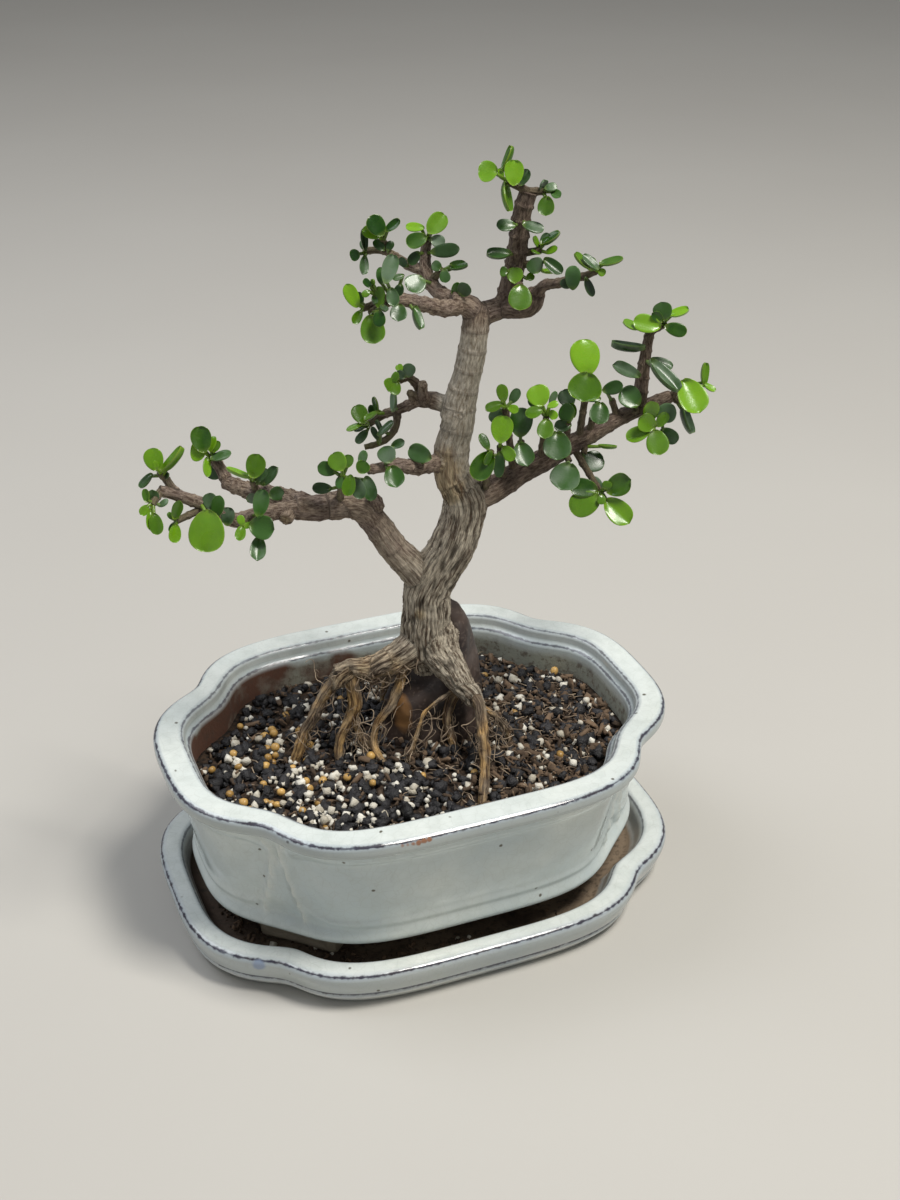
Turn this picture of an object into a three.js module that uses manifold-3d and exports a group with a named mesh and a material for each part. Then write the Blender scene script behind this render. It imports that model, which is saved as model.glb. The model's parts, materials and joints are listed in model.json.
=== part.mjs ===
// A dwarf jade bonsai (Portulacaria afra) grown over a stone in a lobed glazed pot with its saucer.
// Millimetres, +Z up. The origin is the middle of the saucer's flat underside, X runs along the
// pot's long side and -Y is the front.
import * as THREE from 'three';
import { ConvexGeometry } from 'three/addons/geometries/ConvexGeometry.js';
import { mergeVertices } from 'three/addons/utils/BufferGeometryUtils.js';
import Module from 'manifold-3d';

// ---------------------------------------------------------------- driving dimensions
const GAP = 0.3; // clearance between pieces that touch
const RIM_Z = 78; // top of the pot
const FOOT_Z = 6.3; // underside of the feet, just clear of the saucer's floor
const POT_UNDERSIDE_Z = 17.5;
const POT_FLOOR_Z = 24;
const SAUCER_RIM_Z = 17.5;
const SAUCER_FLOOR_Z = 6;
const SOIL_Z = 61; // level of the soil along the walls
const SOIL_MOUND = 4; // extra height of the soil round the roots
const DRAIN = { radius: 8, x: 38 };
const FOOT = { from: 20, to: 44, inset: 20, depth: 13 }; // polar angles in degrees
const PANEL = { depth: 0.9, low: 31, high: 64, endHalf: 24, sideFrom: 41 };

// The rim is the outline of two rounded oblongs laid across each other: the two lobes at the
// ends and the two along the sides. Half-lengths, half-widths and the power of each corner.
const RIM_OUTER = {
  end: { x: 104.8, y: 60.2, power: 3.08 },
  side: { x: 81.25, y: 80.7, power: 3.92 },
  blend: 40,
};
const BASE_OUTER = { ...RIM_OUTER, blend: 6 }; // the notches soften towards the base
const RIM_INNER = {
  end: { x: 91.1, y: 41.4, power: 3.93 },
  side: { x: 68.7, y: 67.5, power: 4.8 },
  blend: 7.7,
};
const SAUCER_OUTER = {
  end: { x: 106.3, y: 66, power: 3.4 },
  side: { x: 82.8, y: 82.2, power: 3.92 },
  blend: 40,
};

// The tree faces this way: its own axes are across, away from the viewer and up, and they are
// turned from the pot's by TREE_TURN about Z.
const TREE_TURN = THREE.MathUtils.degToRad(-21.66);
const TREE_BASE = new THREE.Vector3(2.95, 7.43, 0);
const LOOK_DOWN = THREE.MathUtils.degToRad(29.5); // the angle the tree's best side is seen from

const SEGMENTS = 48; // round the pot, its soil and the saucer
const LEAF_SIDES = 8; // corners round a leaf, one of them its claw
const LEAF_THICKNESS = 0.15; // of the leaf's length
const LEAF_THINNEST = 1;
const LEAF_PEAK = 0.58; // where along its length a leaf is widest
const LEAF_LEAN = [-8, 22]; // degrees a leaf's tip leans towards its face, drawn for each leaf
const LEAF_TWIST = [-12, 12]; // degrees added to a leaf's turn about its length
const STALK_RADIUS = 0.7; // of the claw that each leaf narrows to
const CLAW_DRAW = 30000; // first key of the small steps of the claws' ends
const LIMB_SIDES = [[5, 8, 12], [1.6, 5, 8], [0, 4, 8]]; // radius from, sides, step along
const SIMPLIFY = [0.1, 0.08, 0.12, 0.06, 0.15, 0.04, 0.18, 0.02, 0.21]; // move of a face

// Limbs: routes through [across, away, up], radii at the start and the end.
const LIMBS = [
  { node: 'tree_wood', radii: [10.0, 8.3],
    route: [[6, 0, 103], [5, 0, 113], [6, 0, 122], [6, 0, 130], [11, 0, 141], [16, 0, 150],
      [20, 1, 162], [21, 1, 170], [19, 1, 176]] },
  { node: 'tree_wood', radii: [9.6, 6.5],
    route: [[5, 0, 107], [6, 3, 96], [7, 6, 82]] },
  { node: 'tree_wood', radii: [9.8, 2.4],
    route: [[9, 0, 109], [11, -4, 104], [16, -8, 98], [20, -11, 93], [24, -13, 88],
      [28, -14, 84]] },
  { node: 'tree_wood', radii: [7.6, 3.0],
    route: [[5, 0, 112], [-2, -4, 105], [-10, -7, 101], [-18, -10, 100], [-25, -12, 101],
      [-31, -13, 100]] },
  { node: 'tree_wood', radii: [7.2, 4.9],
    route: [[20, 1, 173], [16, 1, 182], [16, 1, 192], [18, 1, 201], [19, 2, 210], [22, 2, 223],
      [24, 2, 235], [25, 2, 245]] },
  { node: 'tree_wood', radii: [6.6, 4.6],
    route: [[7, 0, 130], [0, -2, 142], [-7, -5, 152], [-14, -8, 165], [-20, -11, 173],
      [-28, -14, 175], [-35, -17, 175], [-43, -20, 177]] },
  { node: 'tree_wood', radii: [5.6, 2.6],
    route: [[20, 1, 170], [28, 3, 171], [36, 7, 174], [43, 11, 177], [51, 16, 179], [59, 21, 182],
      [71, 27, 186], [82, 33, 190], [93, 38, 193], [104, 42, 196]] },
  { node: 'tree_wood', radii: [3.4, 3.4],
    route: [[19, 2, 210], [14, 5, 208], [8, 9, 208], [4, 12, 207]] },
  { node: 'tree_wood', radii: [4.4, 3.9],
    route: [[25, 2, 245], [21, 0, 249], [15, -2, 251]] },
  { node: 'tree_wood', radii: [4.4, 4.0],
    route: [[24, 2, 244], [30, 4, 245], [35, 5, 247], [37, 6, 252]] },
  { node: 'tree_wood', radii: [3.9, 3.5],
    route: [[33, 5, 246], [41, 1, 247], [45, -2, 250], [46, -4, 255]] },
  { node: 'tree_wood', radii: [3.3, 2.9],
    route: [[-44, -19, 177], [-45, -23, 176], [-46, -27, 175]] },
  { node: 'tree_wood', radii: [3.2, 2.4],
    route: [[-14, -9, 167], [-13, -9, 174]] },
  { node: 'tree_wood', radii: [5.4, 4.4],
    route: [[17, 1, 186], [10, -2, 188]] },
  { node: 'left_low_shoot', radii: [3.6, 1.9],
    route: [[-39, -19, 176], [-50, -24, 177], [-58, -28, 177], [-64, -31, 177], [-72, -34, 184],
      [-78, -37, 188], [-83, -39, 191], [-89, -41, 194]] },
  { node: 'left_low_shoot', radii: [1.9, 1.5],
    route: [[-82, -38, 190], [-85, -37, 193], [-87, -36, 196]] },
  { node: 'left_high_shoot', radii: [3.9, 3.0],
    route: [[-39, -17, 177], [-48, -10, 176], [-57, -4, 175], [-65, 2, 174], [-72, 6, 175]] },
  { node: 'left_high_shoot', radii: [2.5, 2.0],
    route: [[-71, 5, 175], [-74, 8, 180], [-77, 9, 184]] },
  { node: 'mid_left_low_shoot', radii: [3.7, 1.7],
    route: [[12, 0, 186], [7, -6, 188], [2, -11, 189], [-4, -17, 193], [-11, -22, 194],
      [-15, -24, 194]] },
  { node: 'mid_left_high_shoot', radii: [2.4, 1.4],
    route: [[5, 11, 208], [1, 13, 205], [-5, 16, 201], [-10, 19, 198], [-14, 20, 195],
      [-17, 20, 193]] },
  { node: 'mid_left_high_shoot', radii: [1.6, 1.1],
    route: [[-5, 16, 201], [-6, 15, 194], [-9, 14, 190], [-13, 13, 188], [-18, 12, 187]] },
  { node: 'mid_left_sprout', radii: [2.0, 1.4],
    route: [[5, 11, 208], [2, 9, 215], [-1, 7, 218], [-4, 6, 217]] },
  { node: 'top_left_low_limb', radii: [3.3, 2.2],
    route: [[19, -1, 249], [13, -7, 250], [6, -14, 254], [-1, -21, 258], [-5, -24, 259]] },
  { node: 'top_left_high_limb', radii: [3.3, 1.7],
    route: [[18, -1, 250], [11, 5, 252], [7, 10, 256], [6, 14, 262], [7, 17, 269]] },
  { node: 'top_left_side_limb', radii: [2.2, 1.2],
    route: [[6, 12, 258], [1, 16, 258], [-4, 19, 260], [-9, 22, 262], [-13, 23, 262],
      [-17, 24, 261]] },
  { node: 'top_left_side_limb', radii: [1.6, 1.2],
    route: [[-9, 22, 262], [-9, 22, 264], [-10, 21, 267]] },
  { node: 'top_right_leader', radii: [4.0, 3.3],
    route: [[36, 6, 249], [37, 6, 254], [39, 6, 263], [40, 5, 273], [41, 5, 282], [43, 5, 289]] },
  { node: 'top_right_twig', radii: [2.2, 1.2],
    route: [[46, -4, 254], [49, -8, 259], [53, -12, 261], [58, -16, 264], [62, -19, 266],
      [66, -22, 269]] },
  { node: 'right_upright', radii: [3.3, 1.5],
    route: [[90, 36, 192], [91, 37, 202], [92, 39, 212], [93, 40, 220], [94, 40, 224],
      [100, 41, 227]] },
  { node: 'left_tip_upper', radii: [1.5, 1.3],
    route: [[-87, -36, 196], [-88.5, -39, 200]] },
  { node: 'left_tip_lower', radii: [1.5, 1.3],
    route: [[-88.5, -41, 193.5], [-91, -47, 191]] },
  { node: 'left_tip_drop', radii: [1.5, 1.3],
    route: [[-73, -34.5, 184.5], [-83.5, -42.5, 182.5]] },
  { node: 'left_small_rosette', radii: [1.5, 1.3],
    route: [[-59, -28.5, 177], [-60, -35.5, 178]] },
  { node: 'left_high_bright', radii: [1.5, 1.3],
    route: [[-59, -2.5, 174.5], [-59.5, -8.5, 182.5]] },
  { node: 'left_cluster', radii: [1.5, 1.3],
    route: [[-26.5, -13.5, 174.5], [-24.5, -25.5, 192.5]] },
  { node: 'top_left_fan', radii: [1.5, 1.3],
    route: [[8, 9, 255], [12.5, 6, 260]] },
  { node: 'top_left_triangle', radii: [1.5, 1.3],
    route: [[14.5, 2, 251], [18, -2, 254]] },
  { node: 'low_limb_front', radii: [1.5, 1.3],
    route: [[-5, -24, 259], [-10, -32, 263.5]] },
  { node: 'low_limb_west', radii: [1.5, 1.3],
    route: [[-5, -24, 259], [-15, -31, 258.5]] },
  { node: 'low_limb_big', radii: [1.5, 1.3],
    route: [[-5, -24, 259], [-12, -34, 258]] },
  { node: 'leader_crown', radii: [1.5, 1.3],
    route: [[43, 5, 289], [35, 2, 293.5]] },
  { node: 'leader_right', radii: [1.5, 1.3],
    route: [[43, 5, 289], [49, 5, 289]] },
  { node: 'leader_side', radii: [1.5, 1.3],
    route: [[39, 5.5, 266], [48, 5.5, 267.5]] },
  { node: 'leader_fork', radii: [1.5, 1.3],
    route: [[38.5, 6, 262], [47.5, 2, 263.5]] },
  { node: 'stub_drop', radii: [1.5, 1.3],
    route: [[41, 0.5, 247], [40, -8.5, 259.5]] },
  { node: 'right_bright_low', radii: [1.5, 1.3],
    route: [[28.5, 3, 171], [30.5, -11, 195.5]] },
  { node: 'right_low_round', radii: [1.5, 1.3],
    route: [[36, 7, 174.5], [34, -4, 194.5]] },
  { node: 'right_front_rosette', radii: [1.5, 1.3],
    route: [[40, 9, 176], [36, 3, 208]] },
  { node: 'right_grey_pair', radii: [1.5, 1.3],
    route: [[44, 11.5, 177.5], [42.5, 8.5, 191]] },
  { node: 'right_mid_rosette', radii: [1.5, 1.3],
    route: [[50.5, 15.5, 179], [52, 8.5, 202]] },
  { node: 'right_grey_round', radii: [1.5, 1.3],
    route: [[57, 19.5, 181.5], [56, 11.5, 191]] },
  { node: 'right_back_leaves', radii: [1.5, 1.3],
    route: [[61, 22, 182.5], [61, 19, 194.5]] },
  { node: 'right_big_pair', radii: [1.5, 1.3],
    route: [[66, 24.5, 184.5], [68, 17.5, 212]] },
  { node: 'right_big_under', radii: [1.5, 1.3],
    route: [[70, 26.5, 185.5], [72, 22.5, 200]] },
  { node: 'right_under', radii: [1.5, 1.3],
    route: [[69.5, 26.5, 185.5], [68, 21.5, 180]] },
  { node: 'right_under_round', radii: [1.5, 1.3],
    route: [[59.5, 21, 182.5], [62, 16, 179]] },
  { node: 'right_lower_rosette', radii: [1.5, 1.3],
    route: [[63, 23, 183.5], [75, 14, 166]] },
  { node: 'right_node_grey', radii: [1.5, 1.3],
    route: [[82, 33, 190], [79, 31, 199]] },
  { node: 'right_fork_round', radii: [1.5, 1.3],
    route: [[88, 35.5, 191.5], [89, 31.5, 194.5]] },
  { node: 'right_front_bright', radii: [1.5, 1.3],
    route: [[94.5, 38.5, 193], [96, 29.5, 188]] },
  { node: 'right_front_dark', radii: [1.5, 1.3],
    route: [[98.5, 40, 194.5], [100.5, 36, 187.5]] },
  { node: 'right_front_grey', radii: [1.5, 1.3],
    route: [[98.5, 40, 194.5], [97, 36, 194.5]] },
  { node: 'right_tip', radii: [1.5, 1.3],
    route: [[103.5, 41.5, 195.5], [107.5, 38.5, 202.5]] },
  { node: 'right_hanging', radii: [1.5, 1.3],
    route: [[104, 42, 196], [107, 42, 193.5]] },
];

// Roots that hold the stone, from the crown down into the soil.
const ROOTS = [
  { radii: [2.8, 2.1], route: [[-28, -13, 100], [-32, -14, 95], [-36, -15, 89], [-40, -17, 81],
    [-44, -18, 74], [-46, -20, 68], [-48, -22, 62]] },
  { radii: [3.4, 1.4], route: [[-24, -12, 100], [-24, -13, 93], [-23, -15, 87], [-25, -16, 80],
    [-28, -18, 75], [-30, -20, 69], [-30, -22, 62]] },
  { radii: [1.6, 1.1], route: [[-25, -15, 81], [-22, -16, 73], [-19, -18, 67], [-20, -20, 62]] },
  { radii: [2.6, 1.2], route: [[-3, -6, 101], [-6, -9, 89], [-9, -12, 83], [-14, -15, 77],
    [-16, -18, 70], [-14, -22, 66], [-10, -26, 62]] },
  { radii: [1.2, 0.9], route: [[17, -12, 91], [11, -14, 87], [5, -17, 83], [2, -20, 75],
    [-2, -23, 62]] },
  { radii: [2.3, 1.5], route: [[18, -10, 90], [15, -11, 83], [14, -13, 76], [16, -15, 68],
    [17, -17, 62]] },
  { radii: [2.5, 2.2], route: [[23, -12, 91], [27, -18, 87], [28, -24, 81], [29, -32, 74],
    [29, -39, 67], [28, -48, 62]] },
  { radii: [1.7, 1.1], route: [[25, -13, 86], [30, -12, 81], [35, -11, 76], [39, -10, 69],
    [40, -9, 62]] },
  { radii: [3.0, 1.4], route: [[0, 6, 114], [2, 15, 110], [6, 24, 98], [13, 29, 80],
    [20, 31, 61]] },
  { radii: [3.0, 1.4], route: [[6, 3, 104], [-2, 10, 97], [-9, 16, 87], [-13, 20, 70]] },
];
const ROOT_DEPTH = 9; // how far a root reaches below the point where it meets the soil

// The stone between the roots: corners as [across, away, up].
const STONE = [
  [-15, -9, 48], [2, -17, 48], [24, -12, 48], [33, 6, 48], [22, 24, 48], [-6, 22, 48],
  [-12, -6, 84], [0, -12, 84], [20, -9, 84], [27, 7, 86], [20, 20, 84], [-4, 15, 84],
  [-2, 4, 100], [22, 0, 104], [26, 9, 104], [13, 17, 108], [11, 8, 123], [15, 9, 123],
  [19, 9, 119], [22, 10, 113], [19, 14, 115],
];
const STONE_MIDDLE = [10, 4, 80];
const STONE_CORE = 11; // radius of a ball that fits inside the stone about its middle

// Leaves of each leafy stem. A leaf is given as its tone, the way it points as seen from the
// front (0 right, 90 up), how far its face is turned from the viewer about its own length, its
// length and width, and where its claw starts in the stem and ends in the blade as
// [across, away, up].
const FOLIAGE = {
  left_tip_upper: [
    ['bright', 108, 0, 8.5, 7, [-88, -38.5, 199], [-89, -40, 201]],
    ['bright', 32, 55, 12, 5, [-88, -38.5, 199], [-87, -40, 200]],
    ['deep', 223, -35, 7, 4, [-88, -38.5, 199], [-91, -38, 199]],
    ['bright', 96, 0, 3.5, 2, [-88, -38.5, 199], [-89, -42, 202.5]],
    ['deep', 24, 30, 3.5, 2.5, [-87, -36, 196], [-87, -38, 197.5]],
  ],
  left_tip_lower: [
    ['bright', 98, 20, 5, 3, [-90.5, -46, 191.5], [-92, -48, 192.5]],
    ['deep', 83, 0, 5.5, 4.5, [-90, -44.5, 192], [-90.5, -44, 190.5]],
    ['bright', 222, 20, 4.5, 3.5, [-90.5, -46, 191.5], [-92, -48, 191.5]],
    ['bright', 268, 30, 8, 3.5, [-90.5, -46, 191.5], [-91.5, -48, 190]],
    ['bright', 282, 0, 8, 5, [-90.5, -46, 191.5], [-90, -50, 189.5]],
    ['deep', 36, 30, 4.5, 3, [-90.5, -45.5, 191.5], [-89, -45, 189.5]],
  ],
  left_tip_drop: [
    ['bright', 95, 0, 7.5, 4, [-82.5, -42, 182.5], [-84, -43.5, 184]],
    ['bright', 267, 45, 7, 5, [-82.5, -42, 182.5], [-84, -43.5, 182]],
    ['bright', 117, 0, 3, 2, [-82.5, -42, 182.5], [-85, -42.5, 183]],
    ['bright', 253, 20, 3.5, 2, [-82.5, -42, 182.5], [-85, -42.5, 181.5]],
  ],
  left_low_shoot: [
    ['bright', 266, 0, 15.5, 13, [-75.5, -36, 186.5], [-71.5, -43, 187.5]],
    ['deep', 124, 0, 6.5, 5.5, [-72.5, -34.5, 184.5], [-70.5, -38, 184.5]],
    ['deep', 75, 0, 8.5, 5, [-71, -34, 183.5], [-69.5, -39.5, 182.5]],
    ['deep', 84, 0, 7, 5, [-66.5, -32, 179], [-66.5, -36, 177]],
    ['deep', 349, 0, 9.5, 9, [-61, -29.5, 177], [-58, -36.5, 178]],
    ['deep', 266, 0, 9.5, 6, [-58.5, -28, 177], [-55, -35.5, 172]],
    ['deep', 80, 0, 10.5, 6, [-58.5, -28, 177], [-54.5, -36, 180.5]],
  ],
  left_small_rosette: [
    ['bright', 105, 0, 4, 3, [-60, -34.5, 178], [-60.5, -37.5, 178]],
    ['bright', 259, 0, 6, 4, [-60, -34.5, 178], [-60.5, -37.5, 178]],
    ['bright', 326, 0, 2.5, 3, [-59.5, -33, 177], [-59.5, -35.5, 178.5]],
  ],
  left_high_shoot: [
    ['bright', 173, 0, 6, 8, [-76.5, 9, 183], [-78.5, 5, 188]],
    ['bright', 102, 0, 10.5, 8, [-76.5, 9, 183], [-79, 4, 188]],
    ['bright', 77, 20, 6.5, 3.5, [-76.5, 9, 183], [-77, 5, 188]],
    ['bright', 63, 0, 5, 3, [-76.5, 9, 183], [-76, 6, 187.5]],
    ['deep', 21, 25, 8.5, 5, [-76.5, 9, 183], [-77, 4.5, 185]],
    ['bright', 262, 45, 8, 4, [-76.5, 9, 183], [-79, 6, 185.5]],
    ['deep', 255, 0, 6, 6, [-75.5, 8.5, 181.5], [-76, 10, 180.5]],
    ['deep', 53, 0, 5.5, 4.5, [-59.5, -2, 174.5], [-62.5, -6, 173]],
    ['deep', 22, 0, 6, 5.5, [-50, -8.5, 175.5], [-53, -13, 178]],
  ],
  left_high_bright: [
    ['bright', 70, 0, 9.5, 8, [-59.5, -8, 181.5], [-59, -10.5, 184.5]],
    ['bright', 154, -70, 11, 3.5, [-59.5, -8, 181.5], [-59.5, -8.5, 183]],
    ['deep', 47, 0, 6.5, 3.5, [-59.5, -8, 181.5], [-58, -9.5, 182.5]],
    ['deep', 28, 20, 9.5, 5, [-59.5, -7.5, 181], [-55.5, -8.5, 180]],
  ],
  left_cluster: [
    ['deep', 163, 0, 7.5, 5.5, [-24.5, -25, 191.5], [-26.5, -24.5, 193.5]],
    ['bright', 125, 0, 7.5, 7, [-24.5, -25, 191.5], [-23.5, -27.5, 195.5]],
    ['bright', 82, 0, 5, 4, [-24.5, -25, 191.5], [-22.5, -25.5, 195.5]],
    ['deep', 180, -15, 7.5, 4.5, [-25.5, -20.5, 185.5], [-28.5, -21.5, 185]],
    ['bright', 260, 0, 8, 5, [-24.5, -25, 191.5], [-21, -28.5, 194.5]],
    ['deep', 278, 0, 5, 4.5, [-25, -23.5, 191.5], [-25, -25.5, 192.5]],
    ['deep', 289, 0, 8.5, 5.5, [-24.5, -25, 191.5], [-20, -25.5, 192]],
    ['deep', 313, 0, 9.5, 5.5, [-24.5, -25, 191.5], [-16, -23.5, 191.5]],
  ],
  mid_left_low_shoot: [
    ['bright', 62, 0, 5, 5.5, [-14, -23.5, 194.5], [-17.5, -29, 195]],
    ['deep', 103, 0, 6, 3.5, [-14, -23.5, 194.5], [-17.5, -26, 196.5]],
    ['deep', 112, 0, 6.5, 7, [-9.5, -20.5, 194], [-6.5, -24, 197]],
    ['deep', 285, 0, 8.5, 7.5, [-9.5, -20.5, 194], [-6.5, -24, 195.5]],
    ['deep', 23, 0, 5.5, 3.5, [-5.5, -18, 193.5], [-6.5, -15.5, 199.5]],
    ['deep', 157, 0, 9.5, 7, [3, -9.5, 188.5], [8.5, -14, 194]],
  ],
  mid_left_high_shoot: [
    ['bright', 115, 0, 8, 6.5, [-16, 20, 193.5], [-18, 16, 195]],
    ['deep', 106, -30, 5.5, 3, [-14.5, 20, 195], [-15, 19, 196]],
    ['bright', 198, -40, 7, 3.5, [-16, 20, 193.5], [-18.5, 16, 195]],
    ['deep', 212, -30, 5, 3, [-16, 20, 193.5], [-17.5, 18, 193]],
    ['deep', 225, -20, 7, 4, [-16, 20, 193.5], [-16.5, 17, 192]],
    ['bright', 97, 60, 6.5, 3.5, [-10.5, 19, 197.5], [-12.5, 16.5, 199.5]],
    ['bright', 223, -30, 6.5, 3, [-9.5, 18.5, 198.5], [-12.5, 15.5, 200]],
    ['deep', 93, 60, 8, 4.5, [-4.5, 15.5, 201.5], [-6, 12.5, 201.5]],
    ['deep', 34, 40, 8.5, 3.5, [-12, 13, 188.5], [-12.5, 9.5, 192.5]],
    ['deep', 117, 0, 6, 2.5, [-12.5, 13, 188], [-12.5, 10.5, 190.5]],
    ['deep', 101, 50, 5.5, 3, [-7.5, 14.5, 191], [-10.5, 11.5, 193.5]],
  ],
  mid_left_sprout: [
    ['bright', 225, 0, 5.5, 7.5, [-3.5, 6.5, 217.5], [-4.5, 3, 218]],
    ['bright', 153, 0, 3, 4.5, [-3.5, 6.5, 217.5], [-4, 2.5, 219]],
    ['deep', 153, 0, 4, 3.5, [-2.5, 6.5, 218], [-1.5, 4, 219]],
    ['deep', 75, 0, 5.5, 5, [-1.5, 7, 218], [-1, 5.5, 218.5]],
    ['bright', 117, 0, 3, 3, [-2.5, 6.5, 217.5], [-3, 5, 221]],
  ],
  top_left_high_limb: [
    ['bright', 49, 0, 9.5, 7, [6.5, 16.5, 268], [7, 12, 271.5]],
    ['bright', 171, -25, 7, 4, [6.5, 16.5, 268], [6, 13, 273]],
    ['bright', 198, -15, 8, 6, [6.5, 16.5, 268], [7, 11, 270.5]],
    ['deep', 342, 0, 5.5, 5, [6.5, 16.5, 268], [8, 12.5, 269.5]],
    ['deep', 8, 55, 5.5, 3.5, [6.5, 16.5, 268], [8, 15, 271]],
    ['deep', 349, 0, 11, 5.5, [6, 15, 263.5], [8, 10.5, 265]],
    ['deep', 230, 0, 6, 4, [6, 15, 263.5], [4, 11.5, 265]],
    ['deep', 225, 0, 8, 8, [9, 7.5, 254.5], [5.5, 2.5, 258]],
  ],
  top_left_side_limb: [
    ['bright', 126, 0, 8.5, 7, [-9.5, 21.5, 266], [-9.5, 17.5, 269]],
    ['bright', 161, 0, 7.5, 5, [-9.5, 21.5, 266], [-10, 19.5, 268]],
    ['bright', 39, 20, 7, 3.5, [-9.5, 21.5, 266], [-8.5, 18.5, 270]],
    ['deep', 135, 0, 5.5, 3.5, [-9, 22, 263.5], [-9, 19, 263]],
    ['deep', 63, 0, 4, 3, [-7.5, 21, 261], [-8, 19, 263]],
    ['deep', 105, -30, 8.5, 3, [-16, 23.5, 261], [-16.5, 21, 262]],
    ['deep', 100, 0, 4, 3, [-16.5, 26, 260.5], [-16.5, 24, 261.5]],
    ['bright', 195, 0, 4, 4.5, [-16, 23.5, 261], [-18, 20.5, 261.5]],
    ['deep', 261, 40, 7.5, 4, [-16, 23.5, 261], [-17, 21, 260.5]],
    ['deep', 132, 0, 4.5, 3, [0.5, 16.5, 258], [-0.5, 13.5, 258.5]],
  ],
  top_left_fan: [
    ['deep', 158, 0, 4, 4, [12, 6.5, 259], [12, 6, 260.5]],
    ['deep', 278, 0, 5, 4, [12, 6.5, 259], [13, 5, 260.5]],
    ['deep', 355, 35, 7.5, 3.5, [12, 6.5, 259], [14.5, 6, 260]],
    ['bright', 31, 20, 6, 3, [12, 6.5, 259], [15, 7, 261.5]],
  ],
  top_left_triangle: [
    ['deep', 52, 0, 5.5, 5.5, [17.5, -1, 253.5], [19, -3, 253.5]],
    ['bright', 94, 0, 5, 3, [17.5, -1, 253.5], [16, -2, 253.5]],
  ],
  top_left_low_limb: [
    ['deep', 270, 50, 9, 4.5, [0, -20, 257], [2, -22.5, 256]],
    ['deep', 267, 0, 6.5, 6, [-4, -23.5, 258.5], [-2.5, -28.5, 259]],
    ['deep', 73, 0, 10.5, 5.5, [-4, -23.5, 258.5], [-7, -35.5, 268.5]],
    ['deep', 117, 0, 6, 3.5, [-4, -23.5, 258.5], [-8.5, -31.5, 267]],
    ['deep', 249, 0, 4.5, 3.5, [-4, -23.5, 258.5], [-1.5, -27.5, 266]],
    ['deep', 267, 0, 6.5, 4.5, [-4, -23.5, 258.5], [-5, -31.5, 266]],
    ['deep', 203, 0, 4.5, 2.5, [-4, -23.5, 258.5], [-0.5, -26, 268.5]],
  ],
  low_limb_front: [
    ['bright', 90, 0, 8, 4, [-9.5, -31, 263], [-9, -34, 259]],
    ['bright', 132, 0, 4, 2.5, [-9.5, -31, 263], [-11.5, -33, 266.5]],
    ['bright', 217, 0, 3.5, 2.5, [-9.5, -31, 263], [-12, -33, 265.5]],
    ['bright', 36, 0, 3, 2, [-9.5, -31, 263], [-11, -32, 267]],
    ['deep', 270, 30, 5.5, 2.5, [-9.5, -31, 263], [-11, -33, 263]],
  ],
  low_limb_west: [
    ['bright', 119, 0, 9, 5, [-14, -30.5, 258.5], [-16.5, -33, 259.5]],
    ['deep', 107, 0, 4.5, 3, [-14, -30.5, 258.5], [-15, -30, 259.5]],
    ['bright', 234, 20, 5.5, 3.5, [-14, -30.5, 258.5], [-15.5, -32, 258]],
  ],
  low_limb_big: [
    ['bright', 282, 0, 10, 8.5, [-11.5, -33, 258], [-12.5, -35, 257.5]],
    ['bright', 273, 0, 6, 4.5, [-11.5, -33, 258], [-9, -38, 260.5]],
    ['deep', 284, 40, 5.5, 3, [-11, -32.5, 258], [-8, -35, 260.5]],
  ],
  leader_crown: [
    ['bright', 177, -30, 7, 9, [36, 2.5, 293], [32, 1, 296.5]],
    ['bright', 265, 55, 11, 7, [36, 2.5, 293], [33.5, 1, 293.5]],
    ['bright', 88, 0, 9, 7, [36, 2.5, 293], [37, -3, 293]],
    ['bright', 51, 78, 9.5, 4, [36, 2.5, 293], [34, 2, 296.5]],
    ['bright', 105, 0, 4, 2.5, [36, 2.5, 293], [33.5, 2, 294]],
    ['deep', 58, 0, 6.5, 4, [39.5, 5, 290], [39.5, 3, 291.5]],
  ],
  leader_right: [
    ['deep', 132, 0, 5, 4, [47.5, 8, 287.5], [47.5, 6, 289]],
    ['deep', 13, 20, 4.5, 3.5, [48, 5, 289], [48.5, 3, 290.5]],
    ['deep', 315, 0, 4.5, 3.5, [48, 5, 289], [51, 4, 289.5]],
    ['bright', 264, 0, 7, 6, [48, 5, 289], [49.5, 2, 288]],
  ],
  top_right_leader: [
    ['deep', 183, -15, 7, 5, [41, 5, 277.5], [38.5, 0, 278]],
    ['deep', 348, 45, 8, 5.5, [41, 5, 279], [40.5, -2, 279]],
    ['deep', 189, -45, 9, 5.5, [39.5, 5.5, 267], [37, 0.5, 267]],
    ['bright', 90, 0, 6, 6, [37.5, 6, 257.5], [38.5, -2.5, 257.5]],
    ['bright', 173, 0, 3, 4, [38.5, 6, 261], [36, -1.5, 261.5]],
    ['bright', 6, 0, 3.5, 3, [38, 6, 259.5], [42.5, -0.5, 258.5]],
  ],
  leader_side: [
    ['bright', 33, 50, 8.5, 5, [47, 5.5, 267.5], [48, 4.5, 269]],
    ['deep', 63, 0, 5.5, 3.5, [47, 5.5, 267.5], [48, 6.5, 268.5]],
    ['bright', 162, -30, 4.5, 3.5, [47, 8, 267.5], [47, 5.5, 268.5]],
    ['bright', 17, 30, 5, 3, [47, 5.5, 267.5], [49.5, 4.5, 266.5]],
    ['bright', 180, -40, 4, 3, [47, 5.5, 267.5], [48, 4.5, 266.5]],
  ],
  leader_fork: [
    ['deep', 123, 0, 6, 6.5, [46.5, 2.5, 263.5], [47, 0, 261]],
    ['deep', 322, 15, 8.5, 5, [46.5, 2.5, 263.5], [48.5, 1, 265.5]],
    ['bright', 357, 45, 7, 3.5, [46.5, 2.5, 263.5], [48, 3, 260]],
  ],
  stub_drop: [
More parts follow.
